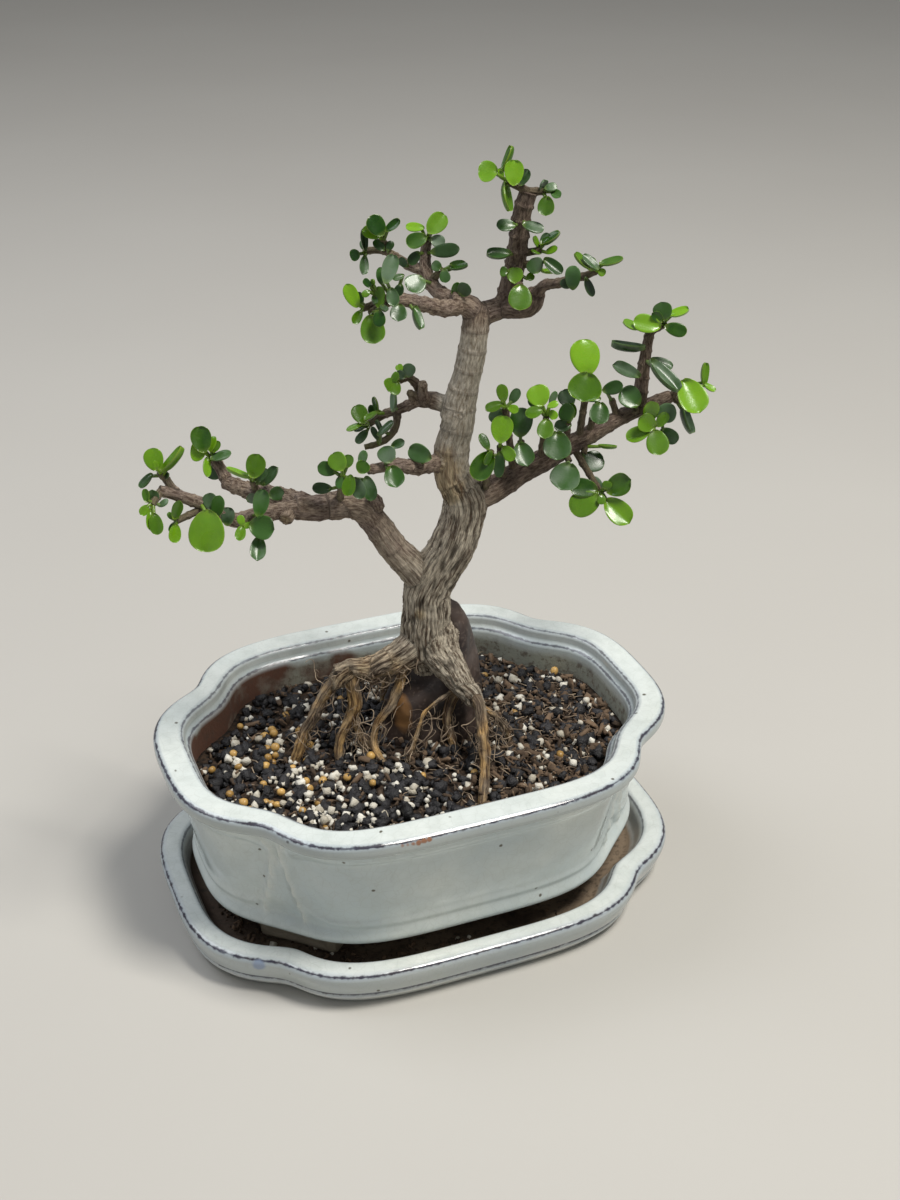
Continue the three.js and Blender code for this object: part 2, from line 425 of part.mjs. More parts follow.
    ['bright', 268, 0, 9.5, 8.5, [40, -8, 258.5], [40, -10.5, 260]],
  ],
  top_right_twig: [
    ['deep', 90, 0, 8.5, 5.5, [59, -17, 264.5], [58, -21, 261.5]],
    ['deep', 151, 0, 4.5, 3.5, [58, -16, 263.5], [57.5, -17.5, 261.5]],
    ['bright', 149, -45, 8, 4.5, [65, -21.5, 269], [63.5, -23.5, 269.5]],
    ['deep', 137, -35, 7.5, 4, [65, -21.5, 269], [66, -25.5, 270]],
    ['bright', 85, 0, 4, 3, [65, -21.5, 269], [64, -23, 270]],
    ['bright', 9, 40, 8.5, 4.5, [65, -21.5, 269], [66.5, -24.5, 271.5]],
    ['bright', 328, 0, 3, 3, [65, -21.5, 269], [66, -24.5, 270]],
    ['deep', 295, 45, 7, 4.5, [62.5, -19.5, 267], [62, -21, 266]],
  ],
  right_bright_low: [
    ['bright', 239, 0, 12, 8.5, [30.5, -10.5, 194.5], [30.5, -13, 196.5]],
    ['bright', 114, -20, 7, 4, [30.5, -10.5, 194.5], [29.5, -11, 196]],
    ['bright', 245, 30, 6, 3, [30.5, -10.5, 194.5], [30.5, -15, 198]],
    ['deep', 268, 20, 10, 4.5, [30.5, -10, 193.5], [33.5, -8, 194.5]],
  ],
  right_low_round: [
    ['bright', 84, 0, 10.5, 8.5, [34, -3.5, 193.5], [34, -7, 197]],
    ['bright', 309, 0, 7, 5, [34, -3.5, 193.5], [35, -4, 194.5]],
  ],
  right_front_rosette: [
    ['bright', 99, 0, 7, 4.5, [36, 3, 207], [35.5, 2, 210]],
    ['deep', 56, 20, 6.5, 4, [36, 3, 207], [38, 4, 208.5]],
    ['bright', 205, -20, 7, 4.5, [36, 3, 207], [35, 1, 209.5]],
    ['bright', 305, 0, 4.5, 3.5, [36, 3, 207], [37, 1, 208.5]],
    ['deep', 227, 0, 6.5, 5, [36, 3.5, 206], [35, 5, 206]],
  ],
  right_grey_pair: [
    ['deep', 84, 0, 11.5, 9, [42.5, 9, 190], [42, 6.5, 193.5]],
    ['deep', 289, 0, 10, 8, [42.5, 9, 190], [41.5, 5.5, 191.5]],
  ],
  right_mid_rosette: [
    ['bright', 113, 0, 8.5, 9, [52, 9, 201], [50.5, 7.5, 206]],
    ['deep', 83, -35, 6, 3.5, [52, 9, 201], [53, 9.5, 205.5]],
    ['bright', 201, -30, 7, 5, [52, 9, 201], [50.5, 6.5, 205]],
    ['bright', 20, 35, 4.5, 3, [52, 9, 201], [52, 5.5, 206.5]],
    ['bright', 265, 0, 8, 6.5, [52, 9, 201], [52, 5.5, 201.5]],
    ['bright', 297, 0, 4, 3.5, [52, 9, 201], [53.5, 7.5, 204.5]],
    ['deep', 156, 0, 6.5, 5, [52, 9, 201], [49.5, 12.5, 203]],
  ],
  right_grey_round: [
    ['deep', 270, 0, 11.5, 11, [56, 12.5, 190], [56, 8.5, 195]],
  ],
  right_back_leaves: [
    ['deep', 156, 0, 6.5, 7, [61, 19.5, 193.5], [63.5, 17, 198]],
    ['deep', 189, 0, 7, 5, [61, 19.5, 193.5], [62.5, 19, 193.5]],
    ['bright', 76, 0, 6, 4, [61, 19.5, 193.5], [63.5, 21, 195.5]],
    ['deep', 118, 0, 7.5, 7, [61, 19.5, 193.5], [62.5, 23, 199]],
  ],
  right_big_pair: [
    ['bright', 99, 0, 14, 12, [68, 18, 211], [67.5, 14.5, 215.5]],
    ['bright', 259, 0, 11.5, 13, [68, 18, 211], [67.5, 12.5, 217.5]],
  ],
  right_big_under: [
    ['deep', 260, 0, 9, 8, [72, 23, 199], [73.5, 20.5, 202]],
    ['deep', 190, 0, 9, 5, [72, 23, 199], [74, 23.5, 202]],
  ],
  right_under: [
    ['deep', 42, 0, 10.5, 9, [68, 22.5, 181], [66, 20.5, 175.5]],
    ['bright', 0, 75, 7.5, 3.5, [68.5, 23.5, 182], [73.5, 21.5, 183]],
  ],
  right_under_round: [
    ['deep', 250, 0, 11.5, 12, [61.5, 17, 179.5], [62.5, 14, 179]],
  ],
  right_lower_rosette: [
    ['bright', 201, 0, 13, 10.5, [74.5, 14.5, 167], [74.5, 11, 166]],
    ['bright', 313, 0, 13.5, 9.5, [74.5, 14.5, 167], [76.5, 11, 164.5]],
    ['bright', 23, 0, 11, 9, [74.5, 14.5, 167], [77, 12, 168]],
    ['deep', 106, 0, 7, 4.5, [75.5, 17, 166], [75.5, 15, 167]],
    ['bright', 172, 0, 11, 8, [74, 15, 167.5], [73.5, 13, 168]],
    ['bright', 72, 0, 3.5, 4, [74.5, 14.5, 167], [76, 10, 170]],
    ['bright', 259, 0, 4, 3.5, [74.5, 14.5, 167], [75, 10, 167.5]],
  ],
  right_node_grey: [
    ['deep', 15, 0, 8.5, 5.5, [79.5, 31, 198], [75, 30, 203]],
  ],
  right_fork_round: [
    ['deep', 111, 0, 9.5, 9, [89, 32.5, 194], [90, 30.5, 196.5]],
  ],
  right_front_bright: [
    ['bright', 149, 0, 8, 7.5, [96, 30.5, 188.5], [96, 27.5, 188.5]],
    ['bright', 283, 0, 10.5, 9, [96, 30.5, 188.5], [96, 27.5, 187.5]],
    ['bright', 202, -25, 10.5, 7, [96, 30.5, 188.5], [95, 28.5, 187]],
    ['bright', 123, 0, 9, 7, [94.5, 33.5, 189], [94.5, 31.5, 190]],
    ['bright', 54, 0, 7, 4.5, [96, 30.5, 188.5], [97, 29.5, 188]],
  ],
  right_front_dark: [
    ['deep', 324, 0, 8.5, 6, [100, 36.5, 188.5], [99.5, 36, 184]],
  ],
  right_front_grey: [
    ['deep', 13, 0, 8.5, 8, [97.5, 37, 194.5], [97, 35, 191.5]],
  ],
  right_tip: [
    ['bright', 295, 0, 15, 12, [107, 39, 201.5], [106.5, 34.5, 205.5]],
    ['bright', 97, -45, 9.5, 4, [107, 39, 201.5], [115.5, 38.5, 201.5]],
    ['bright', 335, 35, 5.5, 3.5, [107, 39, 201.5], [115.5, 37.5, 202.5]],
  ],
  right_hanging: [
    ['deep', 283, 58, 12.5, 7, [106, 42, 194.5], [107.5, 42, 192]],
  ],
  right_upright: [
    ['deep', 177, -15, 12.5, 5.5, [91, 38, 206], [89.5, 34, 207]],
    ['deep', 178, -60, 13.5, 6, [92.5, 39.5, 217], [91.5, 36, 217.5]],
    ['deep', 306, 35, 17, 6.5, [92, 39, 213], [92.5, 33.5, 213.5]],
    ['deep', 339, 25, 9.5, 5.5, [92, 39, 212], [94, 39.5, 212]],
    ['bright', 166, 0, 11, 7.5, [96.5, 40.5, 225.5], [97, 34.5, 227.5]],
    ['bright', 171, -40, 7.5, 6, [94, 40, 223.5], [89, 37, 225.5]],
    ['deep', 101, 0, 7.5, 7.5, [98.5, 41, 226.5], [98.5, 37, 229.5]],
    ['bright', 143, 0, 5.5, 4, [98, 40.5, 226.5], [97.5, 36, 229.5]],
    ['bright', 7, 40, 8.5, 5, [98.5, 41, 226.5], [100, 38, 230.5]],
    ['bright', 343, 0, 9, 5.5, [98.5, 41, 226.5], [98.5, 36, 227.5]],
  ],
};

const COLOURS = {
  glaze: { color: 0xcfd3cb, roughness: 0.25 },
  saucer: { color: 0xd3d6d2, roughness: 0.25 },
  soil: { color: 0x3b3029, roughness: 1 },
  stone: { color: 0x6b5546, roughness: 0.45 },
  bark: { color: 0x7a6656, roughness: 0.9 },
  bright: { color: 0x6ba32c, roughness: 0.4 },
  deep: { color: 0x47683f, roughness: 0.45 },
};

// ---------------------------------------------------------------- solids
const wasm = await Module();
wasm.setup();

// One closed solid from a closed geometry: welds its vertices, drops collapsed triangles and
// turns it right side out.
function solid(geometry) {
  const bare = geometry.clone();
  bare.deleteAttribute('normal');
  bare.deleteAttribute('uv');
  const welded = mergeVertices(bare, 1e-4);
  const at = welded.getAttribute('position');
  const index = welded.getIndex().array;
  const triangles = [];
  let volume = 0;
  for (let i = 0; i < index.length; i += 3) {
    const [a, b, c] = [index[i], index[i + 1], index[i + 2]];
    if (a === b || b === c || c === a) continue;
    triangles.push(a, b, c);
    const [p, q, r] = [a, b, c].map((k) => new THREE.Vector3().fromBufferAttribute(at, k));
    volume += p.dot(q.cross(r));
  }
  if (volume < 0) triangles.reverse();
  const mesh = new wasm.Mesh({
    numProp: 3,
    vertProperties: new Float32Array(at.array),
    triVerts: new Uint32Array(triangles),
  });
  return new wasm.Manifold(mesh);
}

function join(solids) {
  return wasm.Manifold.union(solids);
}

// Whether an edge has lost its length or is shared by more than its two faces.
function hasPinch({ vertProperties, triVerts }) {
  const corner = (i) => vertProperties.slice(3 * i, 3 * i + 3).map((v) => Math.round(v * 200));
  const uses = new Map();
  for (let i = 0; i < triVerts.length; i++) {
    const next = i % 3 === 2 ? i - 2 : i + 1;
    const ends = [corner(triVerts[i]).join(), corner(triVerts[next]).join()];
    if (ends[0] === ends[1]) return true;
    const edge = ends.sort().join(' ');
    uses.set(edge, (uses.get(edge) ?? 0) + 1);
  }
  return [...uses.values()].some((count) => count !== 2);
}

// The largest connected body, without the slivers and scraps that a cut leaves. The first of
// the tolerances is used that leaves no pinched edge.
function mainBody(shape) {
  let main = null;
  for (const tolerance of SIMPLIFY) {
    const bodies = shape.simplify(tolerance).decompose();
    main = bodies.reduce((best, body) => (body.volume() > best.volume() ? body : best));
    if (!hasPinch(main.getMesh())) break;
  }
  return main;
}

function toMesh(shape, name, colour) {
  const mesh = mainBody(shape).getMesh();
  const geometry = new THREE.BufferGeometry();
  geometry.setAttribute('position', new THREE.BufferAttribute(mesh.vertProperties, 3));
  geometry.setIndex(new THREE.BufferAttribute(mesh.triVerts, 1));
  geometry.computeVertexNormals();
  const finish = COLOURS[colour];
  const material = new THREE.MeshStandardMaterial({ ...finish, metalness: 0 });
  const node = new THREE.Mesh(geometry, material);
  node.name = name;
  return node;
}

// A fixed pseudo-random number from 0 to 1 for each key.
function chance(key) {
  const wave = Math.sin(key * 12.9898 + 78.233) * 43758.5453;
  return wave - Math.floor(wave);
}

// ---------------------------------------------------------------- lobed ware
function oblongRadius(angle, { x, y, power }, inset) {
  const across = (Math.abs(Math.cos(angle)) / (x - inset)) ** power;
  const along = (Math.abs(Math.sin(angle)) / (y - inset)) ** power;
  return (across + along) ** (-1 / power);
}

function lobedRadius(angle, outline, inset) {
  const end = oblongRadius(angle, outline.end, inset);
  const side = oblongRadius(angle, outline.side, inset);
  return (end ** outline.blend + side ** outline.blend) ** (1 / outline.blend);
}

// A turned body whose every ring follows a lobed outline, set in by inset and scaled by scale.
// The first and last rings are on the axis, without an outline. shift sets a point further in
// and a ring's lift gives the height at each of its points.
function lobedBody(rings, shift = () => 0) {
  const profile = rings.map((ring) => new THREE.Vector2(ring.outline ? 50 : 0, ring.z));
  const geometry = new THREE.LatheGeometry(profile, SEGMENTS);
  const at = geometry.getAttribute('position');
  for (let i = 0; i < at.count; i++) {
    const ring = rings[i % rings.length];
    const step = Math.floor(i / rings.length) % SEGMENTS;
    const angle = (step / SEGMENTS) * 2 * Math.PI;
    const inset = (ring.inset ?? 0) + shift(angle, ring);
    const radius = ring.outline ? lobedRadius(angle, ring.outline, inset) * (ring.scale ?? 1) : 0;
    const [x, y] = [radius * Math.cos(angle), radius * Math.sin(angle)];
    at.setXYZ(i, x, y, ring.lift ? ring.lift(x, y) : ring.z);
  }
  return solid(geometry);
}

// Degrees from the nearest end of the pot's long axis, 0 to 90.
function fromEnd(angle) {
  const degrees = THREE.MathUtils.radToDeg(Math.abs(Math.atan2(Math.sin(angle), Math.cos(angle))));
  return degrees > 90 ? 180 - degrees : degrees;
}

function panelRecess(angle, ring) {
  const inBand = ring.panel === true;
  const inPanel = fromEnd(angle) < PANEL.endHalf || fromEnd(angle) > PANEL.sideFrom;
  return inBand && inPanel ? PANEL.depth : 0;
}

function makeFoot(signX, signY) {
  const outline = new THREE.Shape();
  const steps = 8;
  const arc = (step, extra) => {
    const angle = THREE.MathUtils.degToRad(FOOT.from + ((FOOT.to - FOOT.from) * step) / steps);
    const radius = lobedRadius(angle, BASE_OUTER, FOOT.inset) - extra;
    return [signX * radius * Math.cos(angle), signY * radius * Math.sin(angle)];
  };
  outline.moveTo(...arc(0, 0));
  for (let step = 1; step <= steps; step++) outline.lineTo(...arc(step, 0));
  for (let step = steps; step >= 0; step--) outline.lineTo(...arc(step, FOOT.depth));
  const height = POT_UNDERSIDE_Z + 2 - FOOT_Z;
  const geometry = new THREE.ExtrudeGeometry(outline, { depth: height, bevelEnabled: false });
  return solid(geometry.translate(0, 0, FOOT_Z));
}

function makeDrain(x) {
  const geometry = new THREE.CylinderGeometry(DRAIN.radius, DRAIN.radius, 12, 20);
  return solid(geometry.rotateX(Math.PI / 2).translate(x, 0, (POT_UNDERSIDE_Z + POT_FLOOR_Z) / 2));
}

function makePot() {
  const rings = [
    { z: POT_UNDERSIDE_Z },
    { outline: BASE_OUTER, inset: 20.5, z: POT_UNDERSIDE_Z },
    { outline: BASE_OUTER, inset: 15.5, z: POT_UNDERSIDE_Z + 2 },
    { outline: { ...RIM_OUTER, blend: 9 }, inset: 12.8, z: 25.5 },
    { outline: { ...RIM_OUTER, blend: 14 }, inset: 11.6, z: PANEL.low, panel: true },
    { outline: { ...RIM_OUTER, blend: 28 }, inset: 8.6, z: 48, panel: true },
    { outline: RIM_OUTER, inset: 6.3, z: PANEL.high, panel: true },
    { outline: RIM_OUTER, inset: 5, z: 70 },
    { outline: RIM_OUTER, inset: 1.2, z: 71.5 },
    { outline: RIM_OUTER, inset: 0, z: 73.5 },
    { outline: RIM_OUTER, inset: 0.1, z: 76.6 },
    { outline: RIM_OUTER, inset: 1.2, z: RIM_Z },
    { outline: RIM_INNER, inset: 0, z: RIM_Z - 0.2 },
    { outline: RIM_INNER, inset: 0.6, z: 73.5 },
    { outline: RIM_INNER, inset: 2.2, z: 71.5 },
    { outline: RIM_INNER, inset: 4, z: 45 },
    { outline: RIM_INNER, inset: 8, z: POT_FLOOR_Z },
    { z: POT_FLOOR_Z },
  ];
  const feet = [[1, 1], [-1, 1], [-1, -1], [1, -1]].map(([x, y]) => makeFoot(x, y));
  const body = join([lobedBody(rings, panelRecess), ...feet]);
  return body.subtract(makeDrain(DRAIN.x)).subtract(makeDrain(-DRAIN.x));
}

function makeSaucer() {
  const rings = [
    { z: 0 },
    { outline: SAUCER_OUTER, inset: 6, z: 0 },
    { outline: SAUCER_OUTER, inset: 2.6, z: 5 },
    { outline: SAUCER_OUTER, inset: 3.2, z: 6.2 },
    { outline: SAUCER_OUTER, inset: 2, z: 7.4 },
    { outline: SAUCER_OUTER, inset: 0.2, z: 13 },
    { outline: SAUCER_OUTER, inset: 0.2, z: 16.2 },
    { outline: SAUCER_OUTER, inset: 1.4, z: SAUCER_RIM_Z },
    { outline: SAUCER_OUTER, inset: 8.6, z: SAUCER_RIM_Z - 0.3 },
    { outline: SAUCER_OUTER, inset: 10, z: 15 },
    { outline: SAUCER_OUTER, inset: 12, z: 8 },
    { outline: SAUCER_OUTER, inset: 14.5, z: SAUCER_FLOOR_Z },
    { z: SAUCER_FLOOR_Z },
  ];
  return lobedBody(rings);
}

// ---------------------------------------------------------------- soil and stone
// Height of the soil: level at the walls, a low mound round the roots, and loose lumps.
function soilHeight(x, y) {
  const fromRoots = Math.hypot(x - TREE_BASE.x, y - TREE_BASE.y + 12) / 45;
  const mound = SOIL_MOUND * Math.exp(-fromRoots * fromRoots);
  const lumps = chance(Math.round(x * 2) + 77 * Math.round(y * 2)) - 0.5;
  return SOIL_Z + mound + 2.4 * lumps;
}

function makeSoil() {
  const wall = GAP + 0.2;
  const rings = [
    { z: POT_FLOOR_Z + GAP },
    { outline: RIM_INNER, inset: 8 + wall, z: POT_FLOOR_Z + GAP },
    { outline: RIM_INNER, inset: 4 + wall, z: 45 },
    { outline: RIM_INNER, inset: 3 + wall, z: SOIL_Z - 1.5 },
  ];
  for (const scale of [0.93, 0.77, 0.6, 0.42, 0.22]) {
    rings.push({ outline: RIM_INNER, inset: 4, scale, lift: soilHeight, z: SOIL_Z });
  }
  rings.push({ z: SOIL_Z + SOIL_MOUND });
  return lobedBody(rings);
}

const treeAxes = new THREE.Matrix4().makeRotationZ(TREE_TURN).setPosition(TREE_BASE);

// A point given as across, away and up, in the part's own frame.
function inTree([across, away, up]) {
  return new THREE.Vector3(across, away, up).applyMatrix4(treeAxes);
}

function turned(vector) {
  return vector.clone().transformDirection(treeAxes);
}

// The stone, swollen about its middle so that every face moves out by at least grow.
function makeStone(grow) {
  const centre = inTree(STONE_MIDDLE);
  const swell = 1 + grow / STONE_CORE;
  const corners = STONE.map((corner) => inTree(corner).sub(centre).multiplyScalar(swell));
  return solid(new ConvexGeometry(corners.map((corner) => corner.add(centre))));
}

// ---------------------------------------------------------------- wood
// A round tapering limb along a smooth curve, its radius and ends grown by grow.
function makeLimb(points, [start, end], grow) {
  const curve = new THREE.CatmullRomCurve3(points);
  const [, sides, spacing] = LIMB_SIDES.find(([radius]) => start >= radius);
  const fewest = Math.min(2, points.length - 1);
  const steps = Math.max(fewest, Math.round(curve.getLength() / spacing));
  const frames = curve.computeFrenetFrames(steps, false);
  const geometry = new THREE.CylinderGeometry(1, 1, 1, sides, steps);
  const at = geometry.getAttribute('position');
  for (let i = 0; i < at.count; i++) {
    const share = at.getY(i) + 0.5;
    const step = Math.round(share * steps);
    const radius = start + (end - start) * share + grow;
    const place = curve.getPointAt(share);
    place.addScaledVector(frames.normals[step], at.getX(i) * radius);
    place.addScaledVector(frames.binormals[step], at.getZ(i) * radius);
    if (step === 0) place.addScaledVector(frames.tangents[0], -grow);
    if (step === steps) place.addScaledVector(frames.tangents[steps], grow);
    at.setXYZ(i, place.x, place.y, place.z);
  }
  return solid(geometry);
}

function limbsOf(node, grow) {
  const own = LIMBS.filter((limb) => limb.node === node);
  return own.map(({ route, radii }) => makeLimb(route.map(inTree), radii, grow));
}

function makeRoots(grow) {
  return ROOTS.map(({ route, radii }) => {
    const points = route.map(inTree);
    const last = points[points.length - 1].clone();
    points.push(last.add(new THREE.Vector3(0, 0, -ROOT_DEPTH)));
    return makeLimb(points, radii, grow);
  });
}

// ---------------------------------------------------------------- leaves
const UP_IN_VIEW = new THREE.Vector3(0, Math.sin(LOOK_DOWN), Math.cos(LOOK_DOWN));
const TO_VIEWER = new THREE.Vector3(0, -Math.cos(LOOK_DOWN), Math.sin(LOOK_DOWN));

// Half-width of a leaf at share u of its length: a narrow foot and a broad round end.
function leafHalfWidth(u, leaf) {
  const short = u < LEAF_PEAK ? 1 - u / LEAF_PEAK : (u - LEAF_PEAK) / (1 - LEAF_PEAK);
  const share = u < LEAF_PEAK ? (1 - short ** 1.6) ** 0.8 : Math.sqrt(1 - short ** 2.4);
  return Math.max((share * leaf.width) / 2, u < 0.2 ? STALK_RADIUS : 0);
}

// A point on the leaf's middle surface: along and across its blade, which is slightly cupped.
function leafPoint(leaf, u, v) {
  const lift = leaf.length * leaf.cup * (v * v + (u - 0.5) ** 2);
  const place = leaf.base.clone().addScaledVector(leaf.along, u * leaf.length);
  place.addScaledVector(leaf.across, v * leafHalfWidth(u, leaf));
  return place.addScaledVector(leaf.face, lift);
}

// A leaf's corners before it is shaped: round its edge, at the middle of both faces, and the
// two ends of its claw.
const LEAF_BLANK = [new THREE.Vector3(0, 0, 1), new THREE.Vector3(0, 0, -1)];
LEAF_BLANK.push(new THREE.Vector3(-1.3, 0, 0.3), new THREE.Vector3(-1.3, 0, -0.3));
for (let side = 1; side < LEAF_SIDES; side++) {
  const angle = (2 * Math.PI * side) / LEAF_SIDES;
  LEAF_BLANK.push(new THREE.Vector3(-Math.cos(angle), Math.sin(angle), 0));
}

// A fleshy leaf that narrows to a claw, whose end is sunk in the stem at foot.
function makeLeaf(leaf, grow) {
  const geometry = new ConvexGeometry(LEAF_BLANK);
  const at = geometry.getAttribute('position');
  const back = leaf.foot.clone().sub(leaf.base).normalize();
  for (let i = 0; i < at.count; i++) {
    const side = new THREE.Vector3().fromBufferAttribute(at, i);
    let place;
    if (side.x < -1.1) {
      place = leaf.foot.clone().addScaledVector(back, grow);
      place.addScaledVector(leaf.face, Math.sign(side.z) * (STALK_RADIUS + grow));
    } else if (Math.abs(side.z) > 0.5) {
      place = leafPoint(leaf, 0.55, 0);
      const half = Math.max(leaf.length * LEAF_THICKNESS, LEAF_THINNEST) / 2 + grow;
      place.addScaledVector(leaf.face, half * side.z);
    } else {
      place = leafPoint(leaf, (1 + side.x) / 2, Math.abs(side.y) < 0.01 ? 0 : Math.sign(side.y));
      place.addScaledVector(leaf.along, side.x * grow).addScaledVector(leaf.across, side.y * grow);
    }
    at.setXYZ(i, place.x, place.y, place.z);
  }
  return solid(geometry);
}

function drawn([low, high], key) {
  return THREE.MathUtils.degToRad(low + (high - low) * chance(key));
}

// A small seeded step, so that no two claws end at the same point.
function smallStep(key) {
  return new THREE.Vector3(...[0.1, 0.2, 0.3].map((more) => 0.5 * chance(key + more) - 0.25));
}

// One leaf on its stem, before it is bent clear of its neighbours.
function placeLeaf([, turn, roll, length, width, ...ends], number) {
  const [foot, base] = ends.map((end) => new THREE.Vector3(...end));
  foot.add(smallStep(number + CLAW_DRAW));
  const way = THREE.MathUtils.degToRad(turn);
  const twist = THREE.MathUtils.degToRad(roll) + drawn(LEAF_TWIST, number + 0.5);
  const along = new THREE.Vector3(Math.cos(way), 0, 0).addScaledVector(UP_IN_VIEW, Math.sin(way));
  const beside = new THREE.Vector3(-Math.sin(way), 0, 0);
  beside.addScaledVector(UP_IN_VIEW, Math.cos(way));
  const face = TO_VIEWER.clone().multiplyScalar(Math.cos(twist));
  face.addScaledVector(beside, Math.sin(twist));
  const cup = 0.05 + 0.13 * chance(number);
  const lean = drawn(LEAF_LEAN, number + 0.25);
  return { foot, base, along, face, length, width, cup, lean };
}

// The leaf with its tip bent further towards its face, and swung in its own plane.
function aimLeaf(leaf, bend, swing) {
  const across = leaf.face.clone().cross(leaf.along);
  const lean = -leaf.lean - THREE.MathUtils.degToRad(bend);
  const face = leaf.face.clone().applyAxisAngle(across, lean);
  const along = leaf.along.clone().applyAxisAngle(across, lean);
  along.applyAxisAngle(face, THREE.MathUtils.degToRad(swing));
  return { ...leaf, along, face, across: face.clone().cross(along) };
}

const LEAF_CLEARANCE = 2.2; // between the middle surfaces of two leaves
const WOOD_CLEARANCE = 1.4; // between a leaf's middle surface and bark
const BENDS = [0, 10, -10, 20, -20, 32, -32, 45]; // degrees tried, the mildest first
const SWINGS = [0, 14, -14, 28, -28];

function samplesOf(leaf) {
  const samples = [];
  for (const u of [0.14, 0.34, 0.54, 0.74, 0.94]) {
    for (const v of [-0.85, -0.4, 0, 0.4, 0.85]) samples.push(leafPoint(leaf, u, v));
  }
  return samples;
}

// How much room a leaf lacks beside the leaves and bark of other nodes.
function crowding(aimed, samples, node, taken, bark) {
  let lack = 0;
  const close = (centre, reach) => aimed.base.distanceTo(centre) < reach;
  for (const other of taken) {
    const reach = aimed.length + other.leaf.length + LEAF_CLEARANCE;
    if (other.node === node || !close(other.leaf.base, reach)) continue;
    for (const point of other.samples) {
      for (const sample of samples) {
        lack = Math.max(lack, LEAF_CLEARANCE - sample.distanceTo(point));
      }
    }
  }
  for (const ball of bark) {
    const keep = ball.radius + WOOD_CLEARANCE;
    if (ball.node === node || !close(ball.centre, aimed.length + keep)) continue;
    for (const sample of samples) {
      lack = Math.max(lack, keep - sample.distanceTo(ball.centre));
    }
  }
  return lack;
}

const LEAFY = Object.entries(FOLIAGE).flatMap(([node, rows]) => rows.map((row) => ({ node, row })));

// Balls along every limb and claw, which stand for the bark that leaves keep clear of.
function barkBalls() {
  const radii = [STALK_RADIUS, STALK_RADIUS];
  const stems = LEAFY.map(({ node, row }) => ({ node, route: row.slice(5), radii }));
  const balls = [];
  for (const { node, route, radii } of [...LIMBS, ...stems]) {
    const curve = new THREE.CatmullRomCurve3(route.map((point) => new THREE.Vector3(...point)));
    const count = Math.ceil(curve.getLength() / 2.5);
    for (let i = 0; i <= count; i++) {
      const radius = radii[0] + ((radii[1] - radii[0]) * i) / count;
      balls.push({ node, centre: curve.getPointAt(i / count), radius });
    }
  }
  return balls;
}

// Bends each leaf to the first position that clears its neighbours, or to the least crowded.
function bendClear() {
  const bark = barkBalls();
  const taken = [];
  LEAFY.forEach(({ node, row }, number) => {
    const leaf = placeLeaf(row, number);
    let best = null;
    for (const bend of BENDS) {
      for (const swing of SWINGS) {
        if (best !== null && best.lack === 0) break;
        const aimed = aimLeaf(leaf, bend, swing);
        const samples = samplesOf(aimed);
        const lack = crowding(aimed, samples, node, taken, bark);
        if (best === null || lack < best.lack) best = { aimed, samples, lack };
      }
    }
    taken.push({ node, leaf: best.aimed, samples: best.samples });
  });
  return taken;
}

// The same leaf in the part's own frame.
function leafInPart(leaf) {
  const [foot, base] = [leaf.foot, leaf.base].map((end) => inTree(end.toArray()));
  const [along, face, across] = [leaf.along, leaf.face, leaf.across].map(turned);
  return { ...leaf, foot, base, along, face, across };
}

function makeFoliage(node, placed, grow) {
  const shapes = limbsOf(node, grow);
  for (const { leaf } of placed.filter((entry) => entry.node === node)) {
    shapes.push(makeLeaf(leafInPart(leaf), grow));
  }
  return join(shapes);
}

// ---------------------------------------------------------------- assembly
const bonsai = new THREE.Group();

bonsai.add(toMesh(makeSaucer(), 'saucer', 'saucer'));
bonsai.add(toMesh(makePot(), 'pot', 'glaze'));
bonsai.add(toMesh(makeStone(0), 'stone', 'stone'));

const woodPieces = (grow) => join([...limbsOf('tree_wood', grow), ...makeRoots(grow)]);
const wood = woodPieces(0).subtract(makeStone(GAP));
bonsai.add(toMesh(wood, 'tree_wood', 'bark'));

const soil = makeSoil().subtract(makeStone(GAP)).subtract(woodPieces(GAP));
bonsai.add(toMesh(soil, 'soil', 'soil'));

// Every leafy stem is cut clear of the pieces made before it.
const placed = bendClear();
const cutters = [woodPieces(GAP)];
for (const [node, [[tone]]] of Object.entries(FOLIAGE)) {
  let foliage = makeFoliage(node, placed, 0);
  for (const cutter of cutters) foliage = foliage.subtract(cutter);
  bonsai.add(toMesh(foliage, node, tone));
  cutters.push(makeFoliage(node, placed, GAP));
}

export default bonsai;
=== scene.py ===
# %% [markdown]
# # A dwarf jade bonsai grown over a stone
# A small tree with fleshy round leaves stands in a lobed, glazed pot, and the pot stands in a
# matching saucer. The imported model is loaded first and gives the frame: metres, +Z up, the origin
# under the middle of the saucer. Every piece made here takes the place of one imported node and
# keeps its form, or lies on one of them.

